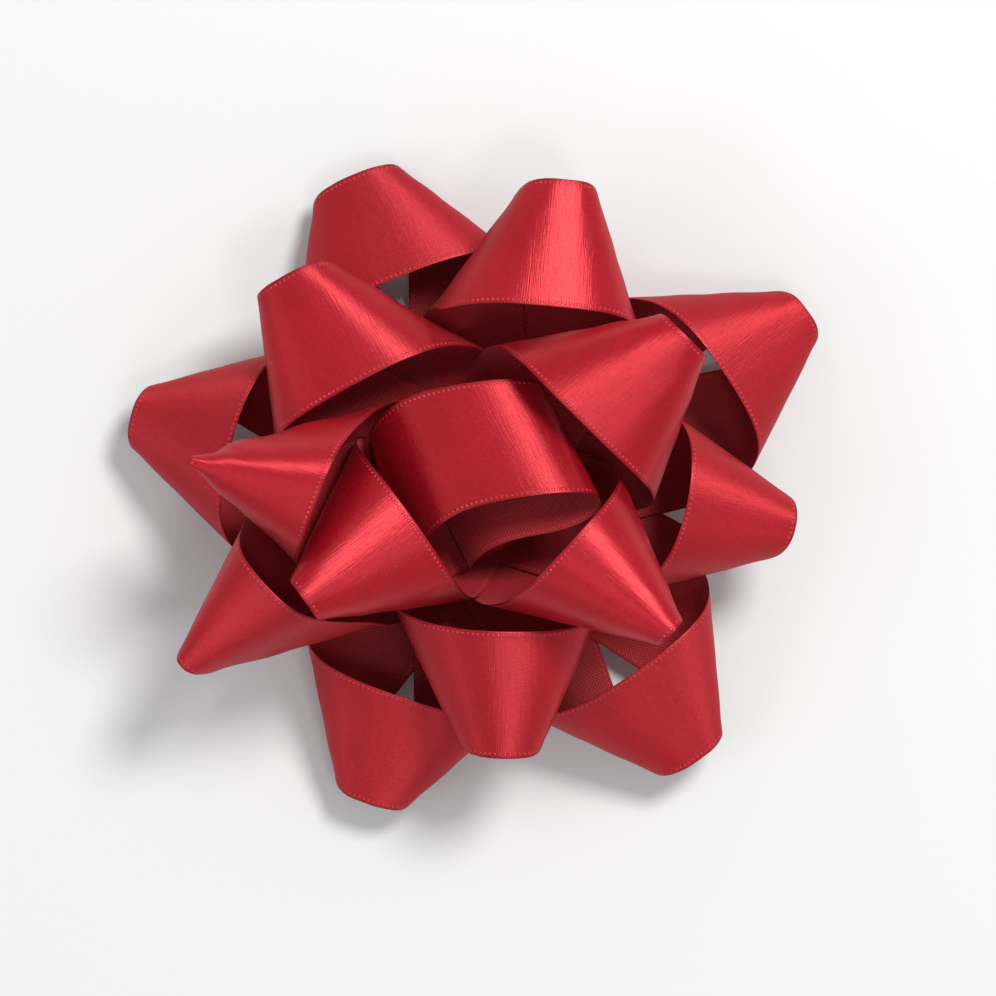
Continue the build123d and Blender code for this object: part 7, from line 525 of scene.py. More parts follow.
        ((4.720, -10.063, 16.820), (3.628, -5.589, 15.159), (2.089, 0.539, 15.030), (0.536, 6.616, 16.252), (-0.604, 11.167, 16.601)),
        ((1.589, -10.822, 16.437), (0.355, -6.416, 14.599), (-1.190, -0.295, 14.484), (-2.731, 5.787, 15.391), (-3.864, 10.329, 15.989)),
        ((-0.845, -11.342, 16.509), (-2.324, -7.073, 14.657), (-3.890, -0.979, 14.674), (-5.420, 5.102, 15.181), (-6.552, 9.631, 16.504)),
        ((-3.184, -11.781, 16.984), (-4.923, -7.645, 15.608), (-6.652, -1.665, 15.352), (-8.217, 4.406, 15.724), (-9.322, 8.870, 17.602)),
        ((-5.818, -12.114, 18.014), (-7.615, -8.024, 17.306), (-9.538, -2.187, 16.998), (-11.231, 3.755, 17.228), (-12.192, 8.250, 18.997)),
        ((-9.533, -12.587, 19.870), (-11.190, -8.387, 19.231), (-12.996, -2.485, 19.233), (-14.850, 3.352, 20.360), (-15.189, 8.082, 21.944)),
        ((-12.709, -12.983, 22.611), (-14.303, -8.719, 21.448), (-15.904, -2.710, 20.902), (-17.498, 3.166, 22.911), (-17.485, 7.953, 24.672)),
        ((-15.992, -13.368, 25.666), (-17.449, -9.008, 24.630), (-18.828, -2.884, 23.898), (-19.325, 3.350, 25.527), (-18.664, 8.083, 26.253)),
        ((-19.037, -13.700, 28.575), (-20.359, -9.257, 27.687), (-21.256, -2.990, 27.326), (-20.729, 3.355, 28.416), (-19.234, 7.868, 28.953)),
        ((-21.721, -13.974, 31.214), (-22.863, -9.440, 30.512), (-23.122, -3.069, 30.630), (-21.484, 3.064, 31.726), (-19.193, 7.208, 32.445)),
        ((-24.161, -14.215, 33.735), (-24.992, -9.557, 33.328), (-24.298, -3.219, 33.979), (-21.452, 2.414, 35.084), (-18.640, 6.216, 35.748)),
        ((-26.252, -14.408, 36.122), (-26.545, -9.637, 36.141), (-24.588, -3.639, 37.152), (-20.893, 1.468, 38.058), (-17.717, 4.980, 38.498)),
        ((-27.961, -14.529, 38.356), (-27.352, -9.793, 38.869), (-24.215, -4.385, 39.838), (-19.969, 0.280, 40.396), (-16.471, 3.475, 40.465)),
        ((-29.229, -14.578, 40.521), (-27.389, -10.223, 41.315), (-23.474, -5.368, 41.956), (-18.779, -1.152, 41.974), (-15.134, 1.852, 41.716)),
        ((-29.795, -14.723, 42.721), (-26.943, -10.961, 43.339), (-22.395, -6.670, 43.381), (-17.513, -2.710, 42.932), (-13.824, 0.207, 42.463)),
        ((-29.504, -15.336, 44.768), (-25.976, -12.186, 44.756), (-21.133, -8.243, 44.199), (-16.207, -4.384, 43.472), (-12.510, -1.501, 42.886)),
        ((-28.260, -16.918, 45.979), (-24.561, -14.039, 45.383), (-19.654, -10.194, 44.550), (-14.726, -6.363, 43.703), (-11.030, -3.489, 43.065)),
        ((-26.690, -19.112, 45.872), (-22.979, -16.241, 45.314), (-18.051, -12.408, 44.493), (-13.122, -8.576, 43.649), (-9.426, -5.703, 43.011)),
        ((-25.617, -20.757, 44.467), (-21.692, -18.168, 44.539), (-16.681, -14.388, 44.049), (-11.726, -10.562, 43.348), (-8.020, -7.689, 42.771)),
        ((-24.983, -21.411, 42.315), (-20.746, -19.632, 42.945), (-15.500, -16.193, 43.078), (-10.459, -12.443, 42.693), (-6.722, -9.587, 42.255)),
        ((-24.441, -21.118, 39.950), (-20.042, -20.494, 40.684), (-14.471, -17.800, 41.414), (-9.240, -14.326, 41.522), (-5.429, -11.547, 41.324)),
        ((-23.778, -19.892, 37.599), (-19.408, -20.781, 38.034), (-13.617, -18.986, 39.034), (-8.111, -16.092, 39.667), (-4.162, -13.528, 39.809)),
        ((-22.868, -18.101, 35.237), (-18.771, -20.123, 35.108), (-12.833, -19.742, 36.106), (-7.114, -17.519, 37.044), (-2.976, -15.364, 37.538)),
        ((-21.714, -15.934, 32.781), (-17.953, -18.580, 32.137), (-12.092, -19.850, 32.737), (-6.205, -18.518, 33.812), (-1.920, -16.807, 34.514)),
        ((-20.402, -13.552, 30.249), (-16.910, -16.507, 29.248), (-11.348, -19.015, 29.230), (-5.358, -19.013, 30.235), (-0.967, -17.740, 31.045)),
        ((-19.009, -11.056, 27.650), (-15.691, -14.162, 26.438), (-10.480, -17.414, 25.855), (-4.580, -18.665, 26.540), (-0.065, -17.978, 27.404)),
        ((-17.558, -8.496, 25.041), (-14.359, -11.686, 23.694), (-9.458, -15.369, 22.681), (-3.776, -17.505, 23.247), (0.811, -17.649, 24.059)),
        ((-16.170, -6.102, 22.698), (-13.070, -9.348, 21.299), (-8.408, -13.278, 20.115), (-2.988, -16.029, 21.237), (1.599, -16.843, 21.866)),
        ((-14.610, -3.342, 20.633), (-11.559, -6.620, 19.656), (-7.059, -10.683, 18.490), (-1.991, -14.049, 19.225), (2.509, -15.524, 20.075)),
        ((-12.659, -0.016, 19.422), (-9.733, -3.350, 18.175), (-5.307, -7.486, 16.311), (-0.389, -11.173, 16.806), (3.401, -13.591, 18.342)),
        ((-11.433, 2.162, 18.149), (-8.442, -1.118, 16.553), (-3.703, -5.047, 15.109), (1.255, -8.772, 16.086), (4.924, -11.404, 17.618)),
        ((-10.222, 4.319, 17.376), (-6.773, 1.321, 15.621), (-1.825, -2.458, 14.813), (3.203, -6.164, 15.770), (6.917, -8.826, 17.276)),
        ((-9.256, 5.807, 17.232), (-5.618, 2.945, 15.426), (-0.594, -0.795, 14.973), (4.440, -4.478, 15.705), (8.181, -7.181, 17.073)),
        ((-7.803, 7.822, 17.200), (-4.058, 5.065, 15.443), (0.977, 1.322, 15.611), (6.011, -2.381, 15.741), (9.766, -5.099, 16.835)),
        ((-5.218, 11.308, 16.360), (-1.474, 8.548, 16.557), (3.569, 4.820, 16.597), (8.610, 1.087, 16.014), (12.385, -1.656, 16.815)),
    ],
    "centre_loop": [
        ((-0.407, 12.021, 17.754), (1.697, 7.803, 17.742), (4.502, 2.177, 17.738), (7.306, -3.448, 17.784), (9.408, -7.666, 17.872)),
        ((-3.832, 10.301, 17.839), (-1.728, 6.082, 17.809), (1.077, 0.457, 17.798), (3.880, -5.168, 17.889), (5.979, -9.387, 18.069)),
        ((-6.716, 8.853, 17.882), (-4.612, 4.634, 17.851), (-1.807, -0.991, 17.841), (0.996, -6.616, 17.918), (3.097, -10.835, 18.107)),
        ((-8.658, 7.709, 18.635), (-6.554, 3.490, 18.621), (-3.750, -2.135, 18.619), (-0.946, -7.760, 18.658), (1.157, -11.979, 18.773)),
        ((-9.886, 6.848, 19.738), (-7.783, 2.630, 19.816), (-4.979, -2.994, 19.927), (-2.175, -8.618, 20.054), (-0.072, -12.836, 20.183)),
        ((-10.497, 6.411, 20.719), (-8.398, 2.201, 21.018), (-5.599, -3.413, 21.420), (-2.801, -9.026, 21.828), (-0.702, -13.236, 22.145)),
        ((-10.364, 6.551, 21.575), (-8.280, 2.372, 22.214), (-5.501, -3.201, 23.067), (-2.723, -8.774, 23.921), (-0.639, -12.954, 24.566)),
        ((-9.328, 7.331, 22.343), (-7.275, 3.214, 23.370), (-4.538, -2.276, 24.740), (-1.801, -7.766, 26.110), (0.252, -11.884, 27.138)),
        ((-7.238, 8.541, 23.202), (-5.224, 4.501, 24.561), (-2.538, -0.885, 26.373), (0.147, -6.272, 28.184), (2.162, -10.311, 29.543)),
        ((-4.336, 9.656, 24.068), (-2.344, 5.661, 25.584), (0.311, 0.334, 27.605), (2.967, -4.992, 29.627), (4.959, -8.987, 31.143)),
        ((-0.506, 10.559, 24.827), (1.478, 6.579, 26.393), (4.124, 1.273, 28.480), (6.769, -4.033, 30.568), (8.754, -8.012, 32.133)),
        ((3.874, 11.363, 25.578), (5.855, 7.390, 27.167), (8.496, 2.094, 29.285), (11.136, -3.202, 31.403), (13.117, -7.174, 32.991)),
        ((7.325, 12.409, 26.354), (9.302, 8.443, 27.964), (11.939, 3.156, 30.110), (14.575, -2.131, 32.257), (16.552, -6.096, 33.866)),
        ((9.607, 13.603, 27.340), (11.583, 9.638, 28.953), (14.219, 4.352, 31.103), (16.854, -0.934, 33.252), (18.831, -4.898, 34.865)),
        ((10.918, 14.848, 28.732), (12.895, 10.884, 30.345), (15.531, 5.598, 32.494), (18.166, 0.312, 34.644), (20.143, -3.653, 36.257)),
        ((11.349, 16.028, 30.462), (13.325, 12.063, 32.074), (15.961, 6.777, 34.224), (18.596, 1.491, 36.374), (20.573, -2.474, 37.986)),
        ((10.973, 16.967, 32.214), (12.950, 13.003, 33.826), (15.585, 7.717, 35.976), (18.221, 2.431, 38.126), (20.197, -1.534, 39.738)),
        ((9.614, 17.513, 33.808), (11.590, 13.549, 35.420), (14.226, 8.263, 37.570), (16.862, 2.976, 39.720), (18.838, -0.988, 41.332)),
        ((7.094, 17.706, 35.182), (9.071, 13.742, 36.794), (11.707, 8.456, 38.944), (14.342, 3.170, 41.094), (16.319, -0.795, 42.707)),
        ((3.608, 17.588, 36.151), (5.585, 13.624, 37.764), (8.220, 8.338, 39.913), (10.856, 3.052, 42.063), (12.833, -0.913, 43.676)),
        ((-0.250, 17.169, 36.492), (1.726, 13.205, 38.105), (4.362, 7.918, 40.255), (6.997, 2.632, 42.404), (8.974, -1.332, 44.017)),
        ((-4.462, 16.470, 36.233), (-2.485, 12.506, 37.846), (0.150, 7.220, 39.996), (2.786, 1.934, 42.145), (4.762, -2.031, 43.758)),
        ((-8.406, 15.578, 35.570), (-6.456, 11.616, 37.214), (-3.824, 6.330, 39.368), (-1.188, 1.044, 41.518), (0.789, -2.920, 43.131)),
        ((-11.549, 14.378, 34.473), (-9.693, 10.423, 36.235), (-7.083, 5.139, 38.416), (-4.447, -0.147, 40.565), (-2.470, -4.111, 42.178)),
        ((-14.060, 12.799, 32.928), (-12.292, 8.850, 34.795), (-9.700, 3.567, 36.998), (-7.065, -1.719, 39.148), (-5.088, -5.684, 40.760)),
        ((-16.065, 10.944, 31.105), (-14.257, 6.976, 32.886), (-11.656, 1.689, 35.072), (-9.021, -3.597, 37.221), (-7.044, -7.561, 38.834)),
        ((-17.145, 9.140, 28.964), (-15.433, 5.077, 30.624), (-12.856, -0.231, 32.783), (-10.220, -5.517, 34.933), (-8.244, -9.482, 36.545)),
        ((-16.958, 7.651, 26.444), (-15.766, 3.320, 27.997), (-13.309, -2.050, 30.133), (-10.673, -7.336, 32.283), (-8.697, -11.301, 33.896)),
        ((-16.318, 6.357, 24.080), (-15.339, 1.883, 25.443), (-13.001, -3.575, 27.474), (-10.358, -8.878, 29.572), (-8.373, -12.853, 31.149)),
        ((-15.564, 5.183, 22.904), (-14.368, 0.650, 23.736), (-11.961, -4.973, 25.144), (-9.239, -10.424, 26.694), (-7.176, -14.500, 27.887)),
        ((-14.757, 4.694, 21.986), (-13.223, 0.203, 22.234), (-10.668, -5.508, 22.857), (-7.864, -11.076, 23.692), (-5.669, -15.201, 24.464)),
        ((-13.651, 5.013, 20.727), (-11.831, 0.636, 20.586), (-9.171, -5.068, 20.639), (-6.311, -10.658, 20.971), (-3.929, -14.723, 21.632)),
        ((-11.840, 6.126, 19.170), (-9.887, 1.826, 18.886), (-7.164, -3.843, 18.739), (-4.277, -9.424, 18.914), (-1.898, -13.493, 19.475)),
        ((-10.650, 6.855, 18.431), (-8.659, 2.579, 18.164), (-5.912, -3.076, 18.031), (-3.031, -8.660, 18.206), (-0.715, -12.762, 18.695)),
        ((-8.922, 7.829, 17.788), (-6.887, 3.577, 17.582), (-4.115, -2.065, 17.484), (-1.261, -7.663, 17.633), (0.963, -11.814, 18.006)),
        ((-6.724, 8.937, 17.491), (-4.652, 4.704, 17.378), (-1.861, -0.928, 17.330), (0.962, -6.542, 17.428), (3.104, -10.735, 17.701)),
        ((-3.843, 10.359, 17.508), (-1.747, 6.137, 17.488), (1.055, 0.511, 17.485), (3.861, -5.112, 17.524), (5.965, -9.325, 17.751)),
        ((-0.433, 12.076, 17.408), (1.670, 7.856, 17.415), (4.474, 2.231, 17.418), (7.278, -3.394, 17.427), (9.378, -7.611, 17.542)),
    ],
}

# ---------------------------------------------------------------- ribbon meshes
def hermite(t, P, q):
    """Smooth curve through P (n x ...) given at t, read at q."""
    t = np.asarray(t, float)
    d = np.diff(P, axis=0) / np.diff(t)[:, None, None]
    h = np.diff(t)
    m = np.empty_like(P)
    m[1:-1] = (d[:-1] * h[1:, None, None] + d[1:] * h[:-1, None, None]) / (h[1:] + h[:-1])[:, None, None]
    m[0] = 2 * d[0] - m[1] if len(P) > 2 else d[0]
    m[-1] = 2 * d[-1] - m[-2] if len(P) > 2 else d[-1]
    i = np.clip(np.searchsorted(t, q, side="right") - 1, 0, len(t) - 2)
    s = ((q - t[i]) / h[i])[:, None, None]
    hh = h[i][:, None, None]
    return ((2 * s**3 - 3 * s**2 + 1) * P[i] + (s**3 - 2 * s**2 + s) * hh * m[i]
            + (-2 * s**3 + 3 * s**2) * P[i + 1] + (s**3 - s**2) * hh * m[i + 1])


def fine_grid(stations, per=7, cols=25):
    P = np.array(stations, float)
    step = np.linalg.norm(np.diff(P, axis=0), axis=2).mean(axis=1)
    t = np.concatenate([[0], np.cumsum(step)])
    q = np.concatenate([np.linspace(t[i], t[i + 1], per, endpoint=False) for i in range(len(t) - 1)] + [[t[-1]]])
    G = hermite(t, P, q)
    # narrow end columns for the plain lip and the picot line
    v = np.concatenate([[-11, -10.7, -10.3, -9.9], np.linspace(-9.3, 9.3, cols - 8), [9.9, 10.3, 10.7, 11]])
    G = hermite(ACROSS, np.swapaxes(G, 0, 1), v)
    return np.swapaxes(G, 0, 1), q, v


def grid_normals(G):
    n = np.cross(np.gradient(G, axis=0), np.gradient(G, axis=1))
    return n / np.maximum(np.linalg.norm(n, axis=-1, keepdims=True), 1e-9)


def ribbon_object(name, stations):
    G, s, v = fine_grid(stations)
    N = grid_normals(G)
    rows, cols = G.shape[:2]
    # the satin side is the outside of the loop, whichever way the stations run
    mid = G[:, cols // 2]
    centre = mid.mean(axis=0)
    k = rows // 2
    out = 1.0 if ((mid[rows // 4:3 * rows // 4] - centre) * N[rows // 4:3 * rows // 4, cols // 2]).sum() > 0 else -1.0
    # pressed selvedge: the picot line stands a hair proud of the lip
    prof = 0.020 * np.exp(-((np.abs(v) - 10.3) / 0.16) ** 2) - 0.018 * (np.abs(v) > 10.6)
    half = THICKNESS / 2
    face = G + N * out * (half + prof)[None, :, None]
    back = G - N * out * (half + 0.5 * prof)[None, :, None]
    verts = np.concatenate([face.reshape(-1, 3), back.reshape(-1, 3)]) / 1000.0
    nv = rows * cols
    faces, mats, uvs, cells = [], [], [], []
    U = s / 1000.0
    W = (v + 11.0) / 1000.0
    # the hole pierced for the rivet: cells inside it go, and its rim is drawn out to the radius
    r = np.hypot(G[..., 0], G[..., 1])
    inner = ((r < HOLE) & (G[..., 2] < HOLE_TOP)).reshape(-1)
    rr = np.maximum(r.reshape(-1), 0.05)
    for k0 in (0, nv):
        idx = np.nonzero(inner)[0]
        verts[k0 + idx, :2] *= (HOLE / rr[idx])[:, None]
    gone = set()
    for i in range(rows - 1):
        for j in range(cols - 1):
            a, b, c, d = i * cols + j, (i + 1) * cols + j, (i + 1) * cols + j + 1, i * cols + j + 1
            if inner[[a, b, c, d]].sum() >= 3:
                top = (a, b, c, d) if out > 0 else (d, c, b, a)
                gone |= {(top[q], top[(q + 1) % 4]) for q in range(4)}
                continue
            ua = ((U[i], W[j]), (U[i + 1], W[j]), (U[i + 1], W[j + 1]), (U[i], W[j + 1]))
            ub = tuple((x, y + 0.05) for x, y in ua)
            if out > 0:
                faces += [(a, b, c, d), (nv + d, nv + c, nv + b, nv + a)]
                uvs += [ua, ub[::-1]]
            else:
                faces += [(d, c, b, a), (nv + a, nv + b, nv + c, nv + d)]
                uvs += [ua[::-1], ub]
            mats += [0, 1]
            cells.append((i, j))
    for i, j in cells:
        a, b, c, d = i * cols + j, (i + 1) * cols + j, (i + 1) * cols + j + 1, i * cols + j + 1
        top = (a, b, c, d) if out > 0 else (d, c, b, a)
        for q in range(4):
            x, y = top[q], top[(q + 1) % 4]
            if (y, x) in gone:
                faces.append((y, x, nv + x, nv + y))
                uvs.append(tuple((U[z // cols], W[z % cols]) for z in (y, x, x, y)))
                mats.append(0)
    for i in range(rows - 1):
        for j, flip in ((0, False), (cols - 1, True)):
            a, b = i * cols + j, (i + 1) * cols + j
            f = (a, nv + a, nv + b, b)
            w = ((U[i], W[j]), (U[i], W[j]), (U[i + 1], W[j]), (U[i + 1], W[j]))
            if flip != (out < 0):
                f, w = f[::-1], w[::-1]
            faces.append(f); uvs.append(w); mats.append(0)
    for j in range(cols - 1):
        for i, flip in ((0, True), (rows - 1, False)):
            a, b = i * cols + j, i * cols + j + 1
            f = (a, nv + a, nv + b, b)
            w = ((U[i], W[j]), (U[i], W[j]), (U[i], W[j + 1]), (U[i], W[j + 1]))
            if flip != (out < 0):
                f, w = f[::-1], w[::-1]
            faces.append(f); uvs.append(w); mats.append(1)
    me = bpy.data.meshes.new(name)
    me.from_pydata(verts.tolist(), [], faces)
    uv = me.uv_layers.new(name="UVMap")
    flat = np.array([c for f in uvs for c in f], dtype=np.float32).ravel()
    uv.data.foreach_set("uv", flat)
    me.polygons.foreach_set("material_index", mats)
    me.polygons.foreach_set("use_smooth", [True] * len(faces))
    me.validate()
    me.update()
    ob = bpy.data.objects.new(name, me)
    bpy.context.scene.collection.objects.link(ob)
    length = float(np.linalg.norm(np.diff(mid, axis=0), axis=1).sum()) / 1000.0
    return ob, length


# ------------------------------------------------------------------- materials
class Nodes:
    """Short names for building a material."""

    def __init__(self, name):
        self.mat = bpy.data.materials.new(name)
        self.mat.use_nodes = True
        self.t = self.mat.node_tree
        self.bsdf = self.t.nodes["Principled BSDF"]

    def new(self, kind, **props):
        n = self.t.nodes.new(kind)
        for k, x in props.items():
            setattr(n, k, x)
        return n

    def link(self, a, b):
        self.t.links.new(a, b)

    def put(self, socket, x):
        if isinstance(x, (int, float)):
            socket.default_value = x
        else:
            self.link(x, socket)

    def math(self, op, a, b=0.0, c=None):
        n = self.new("ShaderNodeMath", operation=op)
        self.put(n.inputs[0], a)
        self.put(n.inputs[1], b)
        if c is not None:
            self.put(n.inputs[2], c)
        return n.outputs[0]

    def noise(self, vec, scale, detail=2.0, rough=0.5):
        n = self.new("ShaderNodeTexNoise")
        n.inputs["Scale"].default_value = scale
        n.inputs["Detail"].default_value = detail
        n.inputs["Roughness"].default_value = rough
        self.link(vec, n.inputs["Vector"])
        return n.outputs["Fac"]

    def xyz(self, x, y, z=0.0):
        n = self.new("ShaderNodeCombineXYZ")
        for i, a in enumerate((x, y, z)):
            self.put(n.inputs[i], a)
        return n.outputs[0]

    def mix(self, f, a, b):
        n = self.new("ShaderNodeMix", data_type="RGBA")
        self.put(n.inputs[0], f)
        for i, c in ((6, a), (7, b)):
            if isinstance(c, tuple):
                n.inputs[i].default_value = (*c, 1.0)
            else:
                self.link(c, n.inputs[i])
        return n.outputs[2]

    def ramp(self, x, lo, hi, a=0.0, b=1.0):
        n = self.new("ShaderNodeMapRange", clamp=True)
        self.put(n.inputs[0], x)
        for i, q in enumerate((lo, hi, a, b)):
            n.inputs[i + 1].default_value = q
        return n.outputs[0]


def ribbon_coords(m, offset):
    """Millimetres along the ribbon, across it from its middle, and distance from its middle line."""
    uv = m.new("ShaderNodeUVMap", uv_map="UVMap")
    sep = m.new("ShaderNodeSeparateXYZ")
    m.link(uv.outputs[0], sep.inputs[0])
    u = m.math("MULTIPLY", sep.outputs[0], 1000.0)
    v = m.math("SUBTRACT", m.math("MULTIPLY", sep.outputs[1], 1000.0), 11.0 + offset)
    return u, v, m.math("ABSOLUTE", v)


def picots(m, u, va):
    """Round woven dots on the selvedge line."""
    fu = m.math("MULTIPLY", m.math("SUBTRACT", m.math("FRACT", m.math("DIVIDE", u, 0.85)), 0.5), 0.85)
    fv = m.math("SUBTRACT", va, 10.3)
    d = m.math("SQRT", m.math("ADD", m.math("MULTIPLY", fu, fu), m.math("MULTIPLY", fv, fv)))
    return m.ramp(d, 0.30, 0.16)


def satin_face():
    m = Nodes("ribbon_satin_face")
    u, v, va = ribbon_coords(m, 0.0)
    obj = m.new("ShaderNodeTexCoord").outputs["Object"]
    streak = m.noise(m.xyz(m.math("MULTIPLY", u, 0.50), m.math("MULTIPLY", v, 1.9)), 1.6, 3.0, 0.65)
    weft = m.noise(m.xyz(m.math("MULTIPLY", u, 3.5), m.math("MULTIPLY", v, 0.12)), 1.4, 2.0, 0.6)
    cloud = m.noise(obj, 55.0, 2.0)
    dots = picots(m, u, va)
    lip = m.ramp(va, 10.55, 10.7)
    col = m.mix(m.ramp(streak, 0.32, 0.68), FACE_DARK, FACE_LIGHT)
    col = m.mix(m.math("MULTIPLY", m.ramp(cloud, 0.35, 0.7), 0.30), col, FACE_DEEP)
    col = m.mix(m.math("MULTIPLY", m.ramp(weft, 0.55, 0.75), 0.22), col, FACE_BRIGHT)
    col = m.mix(m.math("MULTIPLY", lip, 0.45), col, FACE_DEEP)
    col = m.mix(m.math("MULTIPLY", dots, 0.36), col, FACE_DOT)
    m.link(col, m.bsdf.inputs["Base Color"])
    b = m.bsdf.inputs
    m.link(m.ramp(m.math("ADD", m.math("MULTIPLY", streak, 0.6), m.math("MULTIPLY", weft, 0.4)), 0.3, 0.7, 0.36, 0.48), b["Roughness"])
    b["Specular IOR Level"].default_value = 0.80
    b["Metallic"].default_value = 0.45
    b["Anisotropic Rotation"].default_value = 0.25
    b["Specular Tint"].default_value = (1.0, 0.62, 0.63, 1.0)
    b["Anisotropic"].default_value = 0.90
    b["Sheen Weight"].default_value = 0.02
    b["Sheen Roughness"].default_value = 0.35
    b["Sheen Tint"].default_value = (1.0, 0.35, 0.40, 1.0)
    tan = m.new("ShaderNodeTangent", direction_type="UV_MAP", uv_map="UVMap")
    m.link(tan.outputs[0], b["Tangent"])
    height = m.math("ADD", m.math("ADD", m.math("MULTIPLY", streak, 0.5), m.math("MULTIPLY", weft, 0.7)), m.math("MULTIPLY", dots, 2.2))
    height = m.math("SUBTRACT", height, m.math("MULTIPLY", lip, 0.6))
    bump = m.new("ShaderNodeBump")
    bump.inputs["Strength"].default_value = 0.75
    bump.inputs["Distance"].default_value = 0.00006
    m.link(height, bump.inputs["Height"])
    m.link(bump.outputs[0], b["Normal"])
    return m.mat


def satin_back():
    m = Nodes("ribbon_matte_back")
    u, v, va = ribbon_coords(m, 50.0)
    obj = m.new("ShaderNodeTexCoord").outputs["Object"]
    # staggered net of tiny float points
    row = m.math("DIVIDE", v, 0.30)
    odd = m.math("MULTIPLY", m.math("FRACT", m.math("MULTIPLY", m.math("FLOOR", row), 0.5)), 0.6)
    fu = m.math("SUBTRACT", m.math("FRACT", m.math("DIVIDE", m.math("ADD", u, odd), 0.60)), 0.5)
    fv = m.math("MULTIPLY", m.math("SUBTRACT", m.math("FRACT", row), 0.5), 0.5)
    d = m.math("SQRT", m.math("ADD", m.math("MULTIPLY", fu, fu), m.math("MULTIPLY", fv, fv)))
    net = m.ramp(d, 0.26, 0.12)
    cloud = m.noise(obj, 60.0, 2.0)
    dots = picots(m, u, va)
    lip = m.ramp(va, 10.55, 10.7)
    col = m.mix(m.ramp(cloud, 0.35, 0.7), BACK_DARK, BACK_LIGHT)
    col = m.mix(m.math("MULTIPLY", net, 0.55), col, BACK_NET)
    col = m.mix(m.math("MULTIPLY", dots, 0.6), col, BACK_DOT)
    col = m.mix(m.math("MULTIPLY", lip, 0.35), col, BACK_DARK)
    m.link(col, m.bsdf.inputs["Base Color"])
    b = m.bsdf.inputs
    m.link(m.ramp(net, 0.0, 1.0, 0.74, 0.55), b["Roughness"])
    b["Specular IOR Level"].default_value = 0.35
    b["Sheen Weight"].default_value = 0.20
    b["Sheen Roughness"].default_value = 0.5
    b["Sheen Tint"].default_value = (1.0, 0.30, 0.32, 1.0)
    bump = m.new("ShaderNodeBump")
    bump.inputs["Strength"].default_value = 0.5
    bump.inputs["Distance"].default_value = 0.00006
    m.link(m.math("ADD", net, m.math("MULTIPLY", dots, 1.5)), bump.inputs["Height"])
    m.link(bump.outputs[0], b["Normal"])
    return m.mat


def plain_stock(name, light, dark, scale, rough, bump_mm, spec=0.4, stretch=(1.0, 1.0, 1.0)):
    """Paper, foam and moulded plastic: speckled colour, uneven gloss, fine relief."""
    m = Nodes(name)
    obj = m.new("ShaderNodeTexCoord").outputs["Object"]
    mp = m.new("ShaderNodeMapping")
    mp.inputs["Scale"].default_value = stretch
    m.link(obj, mp.inputs["Vector"])
    fine = m.noise(mp.outputs[0], scale, 4.0, 0.6)
    broad = m.noise(obj, scale / 9.0, 2.0)
    col = m.mix(m.ramp(fine, 0.35, 0.68), dark, light)
    col = m.mix(m.math("MULTIPLY", m.ramp(broad, 0.4, 0.7), 0.25), col, dark)
    m.link(col, m.bsdf.inputs["Base Color"])
    m.link(m.ramp(fine, 0.3, 0.7, rough - 0.07, rough + 0.07), m.bsdf.inputs["Roughness"])
    m.bsdf.inputs["Specular IOR Level"].default_value = spec
    bump = m.new("ShaderNodeBump")
    bump.inputs["Strength"].default_value = 0.4
    bump.inputs["Distance"].default_value = bump_mm / 1000.0
    m.link(fine, bump.inputs["Height"])
    m.link(bump.outputs[0], m.bsdf.inputs["Normal"])
    return m.mat


FACE_LIGHT = (0.480, 0.0085, 0.0200)
FACE_DARK = (0.370, 0.0048, 0.0135)
FACE_DEEP = (0.230, 0.0022, 0.0070)
FACE_BRIGHT = (0.500, 0.0180, 0.034)
FACE_DOT = (0.640, 0.0650, 0.085)
BACK_LIGHT = (0.360, 0.0034, 0.0090)
BACK_DARK = (0.240, 0.0020, 0.0058)
BACK_NET = (0.580, 0.0700, 0.090)
BACK_DOT = (0.420, 0.0300, 0.042)

face_mat, back_mat = satin_face(), satin_back()
tiers = {"lower": "lower_tier", "middle": "middle_tier", "upper": "upper_tier", "centre": "centre"}
for node, stations in PATHS.items():
    ob, length = ribbon_object("ribbon_" + node, stations)
    ob.data.materials.append(face_mat)
    ob.data.materials.append(back_mat)
    tier = node.split("_")[0]
    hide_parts(node)
    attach(ob, tiers[tier])

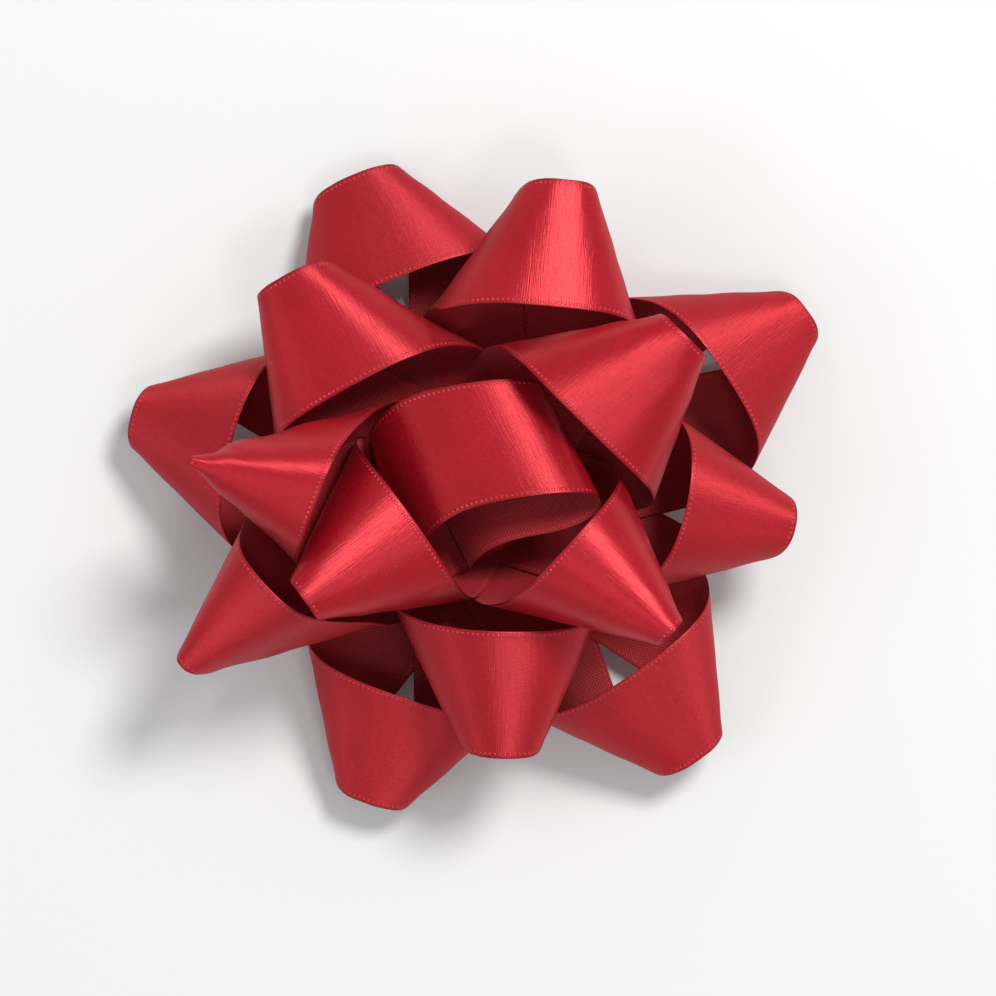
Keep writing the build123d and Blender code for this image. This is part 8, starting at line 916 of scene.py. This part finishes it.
stock = {
    "base_card": plain_stock("paperboard_card", (0.74, 0.70, 0.62), (0.62, 0.57, 0.48), 900.0, 0.82, 0.05, 0.3),
    "adhesive_pad": plain_stock("foam_pad", (0.84, 0.84, 0.81), (0.70, 0.70, 0.66), 2200.0, 0.90, 0.15, 0.25),
    "release_liner": plain_stock("waxed_liner", (0.80, 0.77, 0.66), (0.72, 0.68, 0.56), 700.0, 0.42, 0.03, 0.5, (1.0, 3.0, 1.0)),
    "rivet_post": plain_stock("nylon_rivet", (0.78, 0.78, 0.76), (0.68, 0.68, 0.66), 1500.0, 0.45, 0.02, 0.5),
    "rivet_cap": plain_stock("nylon_cap", (0.78, 0.78, 0.76), (0.68, 0.68, 0.66), 1500.0, 0.45, 0.02, 0.5),
}
for node, mat in stock.items():
    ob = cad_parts[node]
    if not ob.material_slots:
        ob.data.materials.append(mat)
    for sl in ob.material_slots:
        sl.material = mat

# ------------------------------------------------------------------ floor, light
me = bpy.data.meshes.new("floor")
me.from_pydata([(-3, -3, -0.0003), (3, -3, -0.0003), (3, 3, -0.0003), (-3, 3, -0.0003)], [], [(0, 1, 2, 3)])
floor = bpy.data.objects.new("floor", me)
bpy.context.scene.collection.objects.link(floor)
fm = Nodes("floor_paper")
fm.bsdf.inputs["Base Color"].default_value = (0.685, 0.688, 0.695, 1.0)
fm.bsdf.inputs["Roughness"].default_value = 0.9
fm.bsdf.inputs["Specular IOR Level"].default_value = 0.1
me.materials.append(fm.mat)


def area(name, loc, size, power, colour=(1, 1, 1)):
    li = bpy.data.lights.new(name, "AREA")
    li.shape = "DISK"
    li.size = size
    li.energy = power
    li.color = colour
    ob = bpy.data.objects.new(name, li)
    ob.location = loc
    ob.rotation_euler = (Vector((0, 0, 0.02)) - Vector(loc)).to_track_quat("-Z", "Y").to_euler()
    bpy.context.scene.collection.objects.link(ob)
    return ob


area("key", (0.36, 0.44, 0.92), 0.30, 9.4, (1.0, 0.985, 0.965))
area("fill", (-0.80, -0.30, 0.80), 0.60, 1.4, (0.96, 0.98, 1.0))
area("top", (0.25, -0.35, 1.20), 0.25, 1.8)
world = bpy.data.worlds.new("studio")
world.use_nodes = True
world.node_tree.nodes["Background"].inputs[0].default_value = (1.0, 1.0, 1.0, 1.0)
world.node_tree.nodes["Background"].inputs[1].default_value = 0.56
bpy.context.scene.world = world
bpy.context.scene.view_settings.view_transform = "Standard"

cam = bpy.data.cameras.new("photo")
cam.sensor_width = 36.0
cam.lens = 5310.0 / 996.0 * 36.0
cam.clip_start = 0.01
ob = bpy.data.objects.new("photo", cam)
ob.location = (0.003833, -0.001667, 0.900)
ob.rotation_euler = (0.0, 0.0, 0.0)
bpy.context.scene.collection.objects.link(ob)
bpy.context.scene.camera = ob
